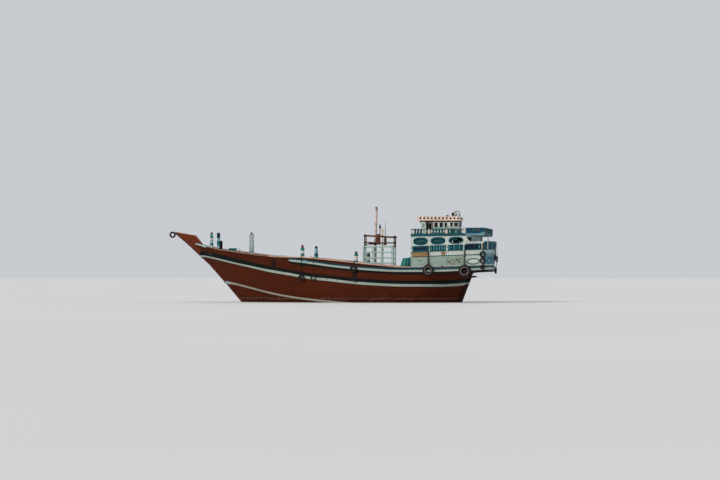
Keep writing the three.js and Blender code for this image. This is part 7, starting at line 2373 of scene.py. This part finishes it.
def tyre(p, centre, R, r, along="y", lugs=26, turn=0.0, worn=False, n=44, sag=0.0):
    """An old tyre: hollow, with beads, sidewalls and a blocky tread. along is its axle."""
    w = r * 0.92
    ring = [(R - r * 0.95, w * 0.62), (R - r * 0.55, w * 0.93), (R - r * 0.1, w * 1.0), (R + r * 0.45, w * 0.9), (R + r * 0.82, w * 0.72), (R + r * 0.90, w * 0.3), (R + r * 0.91, 0)]
    outer = ring + [(a, -b) for a, b in ring[-2::-1]]
    inside = [(R - r * 0.86, -w * 0.5), (R - r * 0.4, -w * 0.72), (R + r * 0.3, -w * 0.7), (R + r * 0.68, -w * 0.3), (R + r * 0.68, w * 0.3), (R + r * 0.3, w * 0.7), (R - r * 0.4, w * 0.72), (R - r * 0.86, w * 0.5)]
    loop = outer + inside
    ang = np.linspace(0, 2 * math.pi, n + 1)
    C = np.array(centre, float)
    if along == "y":
        ex, ez, ey = np.array([1.0, 0, 0]), np.array([0, 0, 1.0]), np.array([0, 1.0, 0])
    elif along == "x":
        ex, ez, ey = np.array([0, 1.0, 0]), np.array([0, 0, 1.0]), np.array([1.0, 0, 0])
    else:
        ey = np.array(along, float)
        ey /= np.linalg.norm(ey)
        ez = np.array([0, 0, 1.0])
        ex = np.cross(ey, ez)
        ex /= np.linalg.norm(ex)
        ez = np.cross(ex, ey)
    if turn:
        ex, ey = math.cos(turn) * ex + math.sin(turn) * ey, math.cos(turn) * ey - math.sin(turn) * ex

    def at(rad, off, a):
        stretch = 1 + sag * max(0.0, -math.sin(a)) - 0.4 * sag * abs(math.cos(a))
        return C + ex * rad * math.cos(a) * (1 - 0.5 * sag) + ez * rad * math.sin(a) * stretch + ey * off

    P = [[at(a, b, t) for a, b in loop] for t in ang[:-1]]
    P.append(P[0])
    p.add(grid(P, wrap=True, flip=np.dot(np.cross(ex, ez), ey) > 0), TYRE, True)
    if worn:
        for side_ in (1, -1):
            P = [[at(R - r * 0.50, side_ * w * 0.88, t), at(R - r * 0.46, side_ * w * 1.00, t), at(R - r * 0.20, side_ * w * 1.04, t), at(R - r * 0.15, side_ * w * 0.93, t)] for t in ang[:-1]]
            P.append(P[0])
            p.add(grid(P, wrap=True), WORN, True)
    for i in range(lugs):
        for off in (-0.5, 0.5):
            a = 2 * math.pi * (i + (0.25 if off > 0 else -0.25)) / lugs
            u, v = math.cos(a), math.sin(a)
            d = 2 * math.pi / lugs * 0.36
            q = []
            for rad in (R + r * 0.8, R + r):
                for aa in (a - d, a + d):
                    for o in (off * w * 1.5 if rad < R + r * 0.9 else off * w * 1.3, off * 0.2 * w):
                        q.append(at(rad, o, aa))
            faces = [[0, 1, 3, 2], [4, 6, 7, 5], [0, 4, 5, 1], [2, 3, 7, 6], [0, 2, 6, 4], [1, 5, 7, 3]]
            if off < 0:
                faces = [f[::-1] for f in faces]
            p.add((np.array(q), faces), TYRE)


def strap(p, points, r=0.02, m=None):
    p.add(rope(points, r, 0.07), m or DARK_ROPE, True)


def fenders():
    p = Piece("stem_fender", "tyre_rubber", replaces=("stem_tyre",))
    tyre(p, (18.63, 0, 7.55), 0.27, 0.096, "y", 22, n=40)
    for k, a in enumerate((-0.5, 0.0, 0.5)):
        x0 = 18.33 + 0.06
        loop = [(x0 - 0.06 + 0.11 * math.cos(t), 0.1 * math.sin(t), 7.66 + 0.1 * a + 0.02 * math.sin(2 * t)) for t in np.linspace(0, 2 * math.pi, 13)]
        strap(p, loop, 0.014)
    strap(p, [(18.36, 0.1, 7.7), (18.2, 0.19, 7.72), (18.1, 0.2, 7.66)], 0.014)
    strap(p, [(18.36, -0.1, 7.7), (18.2, -0.19, 7.72), (18.1, -0.2, 7.66)], 0.014)
    p.done()

    for name, x in (("fore", -11.03), ("aft", -15.0)):
        for word, s in (("port", 1), ("starboard", -1)):
            p = Piece("tyre_" + name + "_" + word + "_hung", "tyre_rubber", replaces=("tyre_" + name + "_" + word,))
            y = s * 4.195
            if name == "fore":
                tyre(p, (x, s * 4.222, 3.53), 0.437, 0.168, "y", 24, worn=True, n=52, sag=0.02)
            else:
                lift_ = 0.0 if s > 0 else 0.4
                tyre(p, (x, s * 4.25, 3.44 + lift_), 0.475 if s > 0 else 0.437, 0.2 if s > 0 else 0.168, "y", 26, worn=True, n=52, sag=0.02)
                # a dark rubber disc closes the tyre's hole: painted shade seen through it
                lo, hi = sorted((s * 4.10, s * 4.14))
                p.add(lathe([(0.02, lo), (0.30, lo), (0.32, (lo + hi) / 2), (0.30, hi), (0.02, hi)], (x, 0, 3.44 + lift_), 28, "y"), TYRE, True)
            up_ = 0.4 if name == "aft" and s < 0 else 0.0
            for d in (-0.026, 0.026):
                strap(p, [(x + d, s * 4.2, 4.02 + up_), (x + d, s * 4.36, 3.98 + up_), (x + d * 1.2, s * 4.33, 4.10 + up_), (x + d, s * 4.12, 4.5 + 0.5 * up_), (x + d, s * 4.07, 5.2), (x + d * 0.8, s * 4.06, 5.9), (x + d * 0.8, s * 4.01, 6.14)], 0.026)
                strap(p, [(x + d, s * 4.08, 4.0 + up_), (x + d, s * 4.04, 4.12 + up_), (x + d, s * 4.07, 4.4 + up_)], 0.024)
            for z in (4.55, 5.35):
                p.add(torus((x, s * 4.1, z), 0.075, 0.02, "z", 16, 6), DARK_ROPE, True)
            p.done()
    for word, s in (("port", 1), ("starboard", -1)):
        p = Piece("quarter_tyres_" + word + "_hung", "tyre_rubber", replaces=("quarter_tyres_" + word,))
        y = s * 4.065
        for z in (5.22, 4.56):
            tyre(p, (-16.95, y, z), 0.265, 0.088, "y", 20, n=36)
        for d in (-0.02, 0.02):
            strap(p, [(-16.95 + d, y + s * 0.07, 5.40), (-16.95 + d, y + s * 0.05, 5.6), (-16.95 + d, y, 6.1), (-16.95 + d, y - s * 0.05, 6.43)], 0.022)
            strap(p, [(-16.95 + d, y + s * 0.07, 4.76), (-16.95 + d, y + s * 0.06, 4.9), (-16.95 + d, y + s * 0.07, 5.05)], 0.022)
        p.done()

    # a third small tyre below the pair on each quarter, over the rail
    p = Piece("low_quarter_tyres", "tyre_rubber")
    start = p.mark()
    tyre(p, (-16.95, 4.145, 3.86), 0.195, 0.075, "y", 18, n=32)
    for d in (-0.02, 0.02):
        strap(p, [(-16.95 + d, 4.2, 4.02), (-16.95 + d, 4.15, 4.2), (-16.95 + d, 4.13, 4.34)], 0.02)
    p.mirror(start)
    p.done()

    # more tyres round the stern, hung edge to the side
    p = Piece("stern_fenders", "tyre_rubber")
    for q, z, top in ((1.0, 4.57, 6.4), (-1.6, 4.45, 6.4)):
        x, y, nx, ny = outline_at(q, 0.125)
        tyre(p, (x, y, z + 0.33), 0.27, 0.088, (nx, ny, 0), 20, n=36)
        for d in (-0.025, 0.025):
            strap(p, [(x, y + d, z + 0.52), (x - 0.02 + 0.02, y + d, z + 0.8), (x + 0.06, y + d, top + 0.2)], 0.02)
    x, y, nx, ny = outline_at(0.35, 0.13)
    tyre(p, (x + 0.03, y, 3.52), 0.25, 0.115, (nx, ny, 0), 20, n=34)
    strap(p, [(x - 0.02, y + 0.02, 3.70), (x - 0.03, y + 0.02, 4.2), (x + 0.01, y + 0.02, 4.98), (x + 0.06, y + 0.02, 6.4)], 0.022)
    strap(p, [(x - 0.02, y - 0.03, 3.70), (x - 0.04, y - 0.05, 3.95), (x - 0.06, y - 0.09, 4.4), (x - 0.02, y - 0.1, 4.98), (x + 0.06, y - 0.1, 6.4)], 0.018)
    p.done()


fenders()


def on_side(px, py):
    """Where the line of sight of a picture point meets the port side."""
    k = (px - 360) / 2000
    y = 4.1
    for _ in range(12):
        x = -(2.78 + 0.1736 * y + k * (222.2 - 0.9848 * y)) / (0.9848 + 0.1736 * k)
        depth = 222.2 + 0.1736 * x - 0.9848 * y
        z = 2.9 + (276 - py) * depth / 2000
        y = float(side(x, min(z, float(cap_z(x)) - 0.05)))
    return x, y, z


def hung_rings():
    p = Piece("hung_rings", "tyre_rubber")
    for px, py, dia, (tx, tz) in ((301.7, 277.9, 6.5, (2.95, 5.15)), (313.6, 277.7, 5.7, (2.2, 4.85)), (353.8, 268.6, 7.0, (-3.05, 4.55)), (354.6, 279.3, 5.0, (-3.15, 4.5))):
        x, y, z = on_side(px, py)
        thick = {301.7: 0.10, 313.6: 0.06, 353.8: 0.11, 354.6: 0.10}[px]
        R = dia * 0.056 - thick
        out = 0.10 + thick
        tilt = 0.0
        c = (x, y + out, z)
        path = [(x + (R + 0.012 * math.sin(3 * t)) * math.cos(t), y + out + 0.02 * math.sin(2 * t) - 0.05 * math.sin(t) * 0.4, z + (R + 0.015 * math.cos(2 * t)) * math.sin(t)) for t in np.linspace(0, 2 * math.pi, 31)[:-1]]
        rings = []
        P = np.array(path)
        n = len(P)
        for i in range(n):
            t = P[(i + 1) % n] - P[i - 1]
            t /= np.linalg.norm(t)
            u = np.array([0, 1.0, 0])
            v = np.cross(t, u)
            v /= np.linalg.norm(v)
            rings.append([P[i] + thick * (math.cos(a) * u + math.sin(a) * v) for a in np.arange(8) * math.pi / 4])
        rings.append(rings[0])
        p.add(grid(rings, wrap=True, flip=True), TYRE, True)
        # its rope, over the rails to the post
        top = float(cap_z(x)) + 0.02
        pts = [(x, y + out, z + R)]
        steps = np.linspace(z + R + 0.15, top, 7)
        for zz in steps:
            yy = float(side(x, min(zz, top - 0.08)))
            rail = 0.15 if RUB(x) - 0.05 < zz < RUB(x) + 0.42 or WALE(x) - 0.1 < zz < WALE(x) + 0.45 else 0.06
            pts.append((x, yy + rail + 0.03, zz))
        pts.append((x, float(side(x, top - 0.08)) - 0.05, top + 0.05))
        pts.append((x + (tx - x) * 0.8, 3.9, max(top + 0.1, tz)))
        strap(p, pts, 0.03 if px in (301.7, 353.8) else 0.018)
    p.done()

    # small oval ring on the rub rail's forward end, and pale boards left on the cap
    p = Piece("side_details", "white_paint")
    x, y, z = on_side(304.9, 261.8)
    start = p.mark()
    yy = y + 0.125
    ring_frame(p, [(a, yy, b) for a, b in superellipse(x, z, 0.20, 0.13, 28, 2.2)], (0, 1, 0), 0.06, 0.03, POST_BLUE, back=0.04)
    p.add(lathe([(0.09, -0.01), (0.08, 0.015), (0.03, 0.028)], (x, yy, z), 18, "y", 0.8), PALE_RAIL, True)
    p.mirror(start)
    for xa, xb in ((6.42, 5.86), (5.36, 4.60)):
        pts = []
        for x in (xa, xb):
            pts.append((x, float(cap_y(x)) - 0.12, float(cap_z(x)) + 0.055))
        p.add(beam(pts[0], pts[1], 0.22, 0.05, c=0.008), WHITE_X)
        p.add(beam((pts[0][0] - 0.06, pts[0][1] - 0.02, pts[0][2] + 0.045), (pts[1][0] + 0.09, pts[1][1] - 0.03, pts[1][2] + 0.045), 0.16, 0.035, c=0.008), WHITE_X)
    p.done()


hung_rings()


# ---------------------------------------------------------------- floor and end
def floor():
    bm = bmesh.new()
    r = 2600
    v = [bm.verts.new((x, y, 0)) for x, y in ((-r, -r), (r, -r), (r, r), (-r, r))]
    bm.faces.new(v)
    mesh = bpy.data.meshes.new("floor")
    bm.to_mesh(mesh)
    bm.free()
    o = bpy.data.objects.new("floor", mesh)
    SCENE.collection.objects.link(o)
    n = Nodes("studio_floor")
    mesh.materials.append(n.finish(n.mix(n.step(n.noise(n.place(), 0.02, 3, 0.5), 0.3, 0.7), (0.66, 0.665, 0.66), (0.69, 0.69, 0.685)), 0.75))


floor()
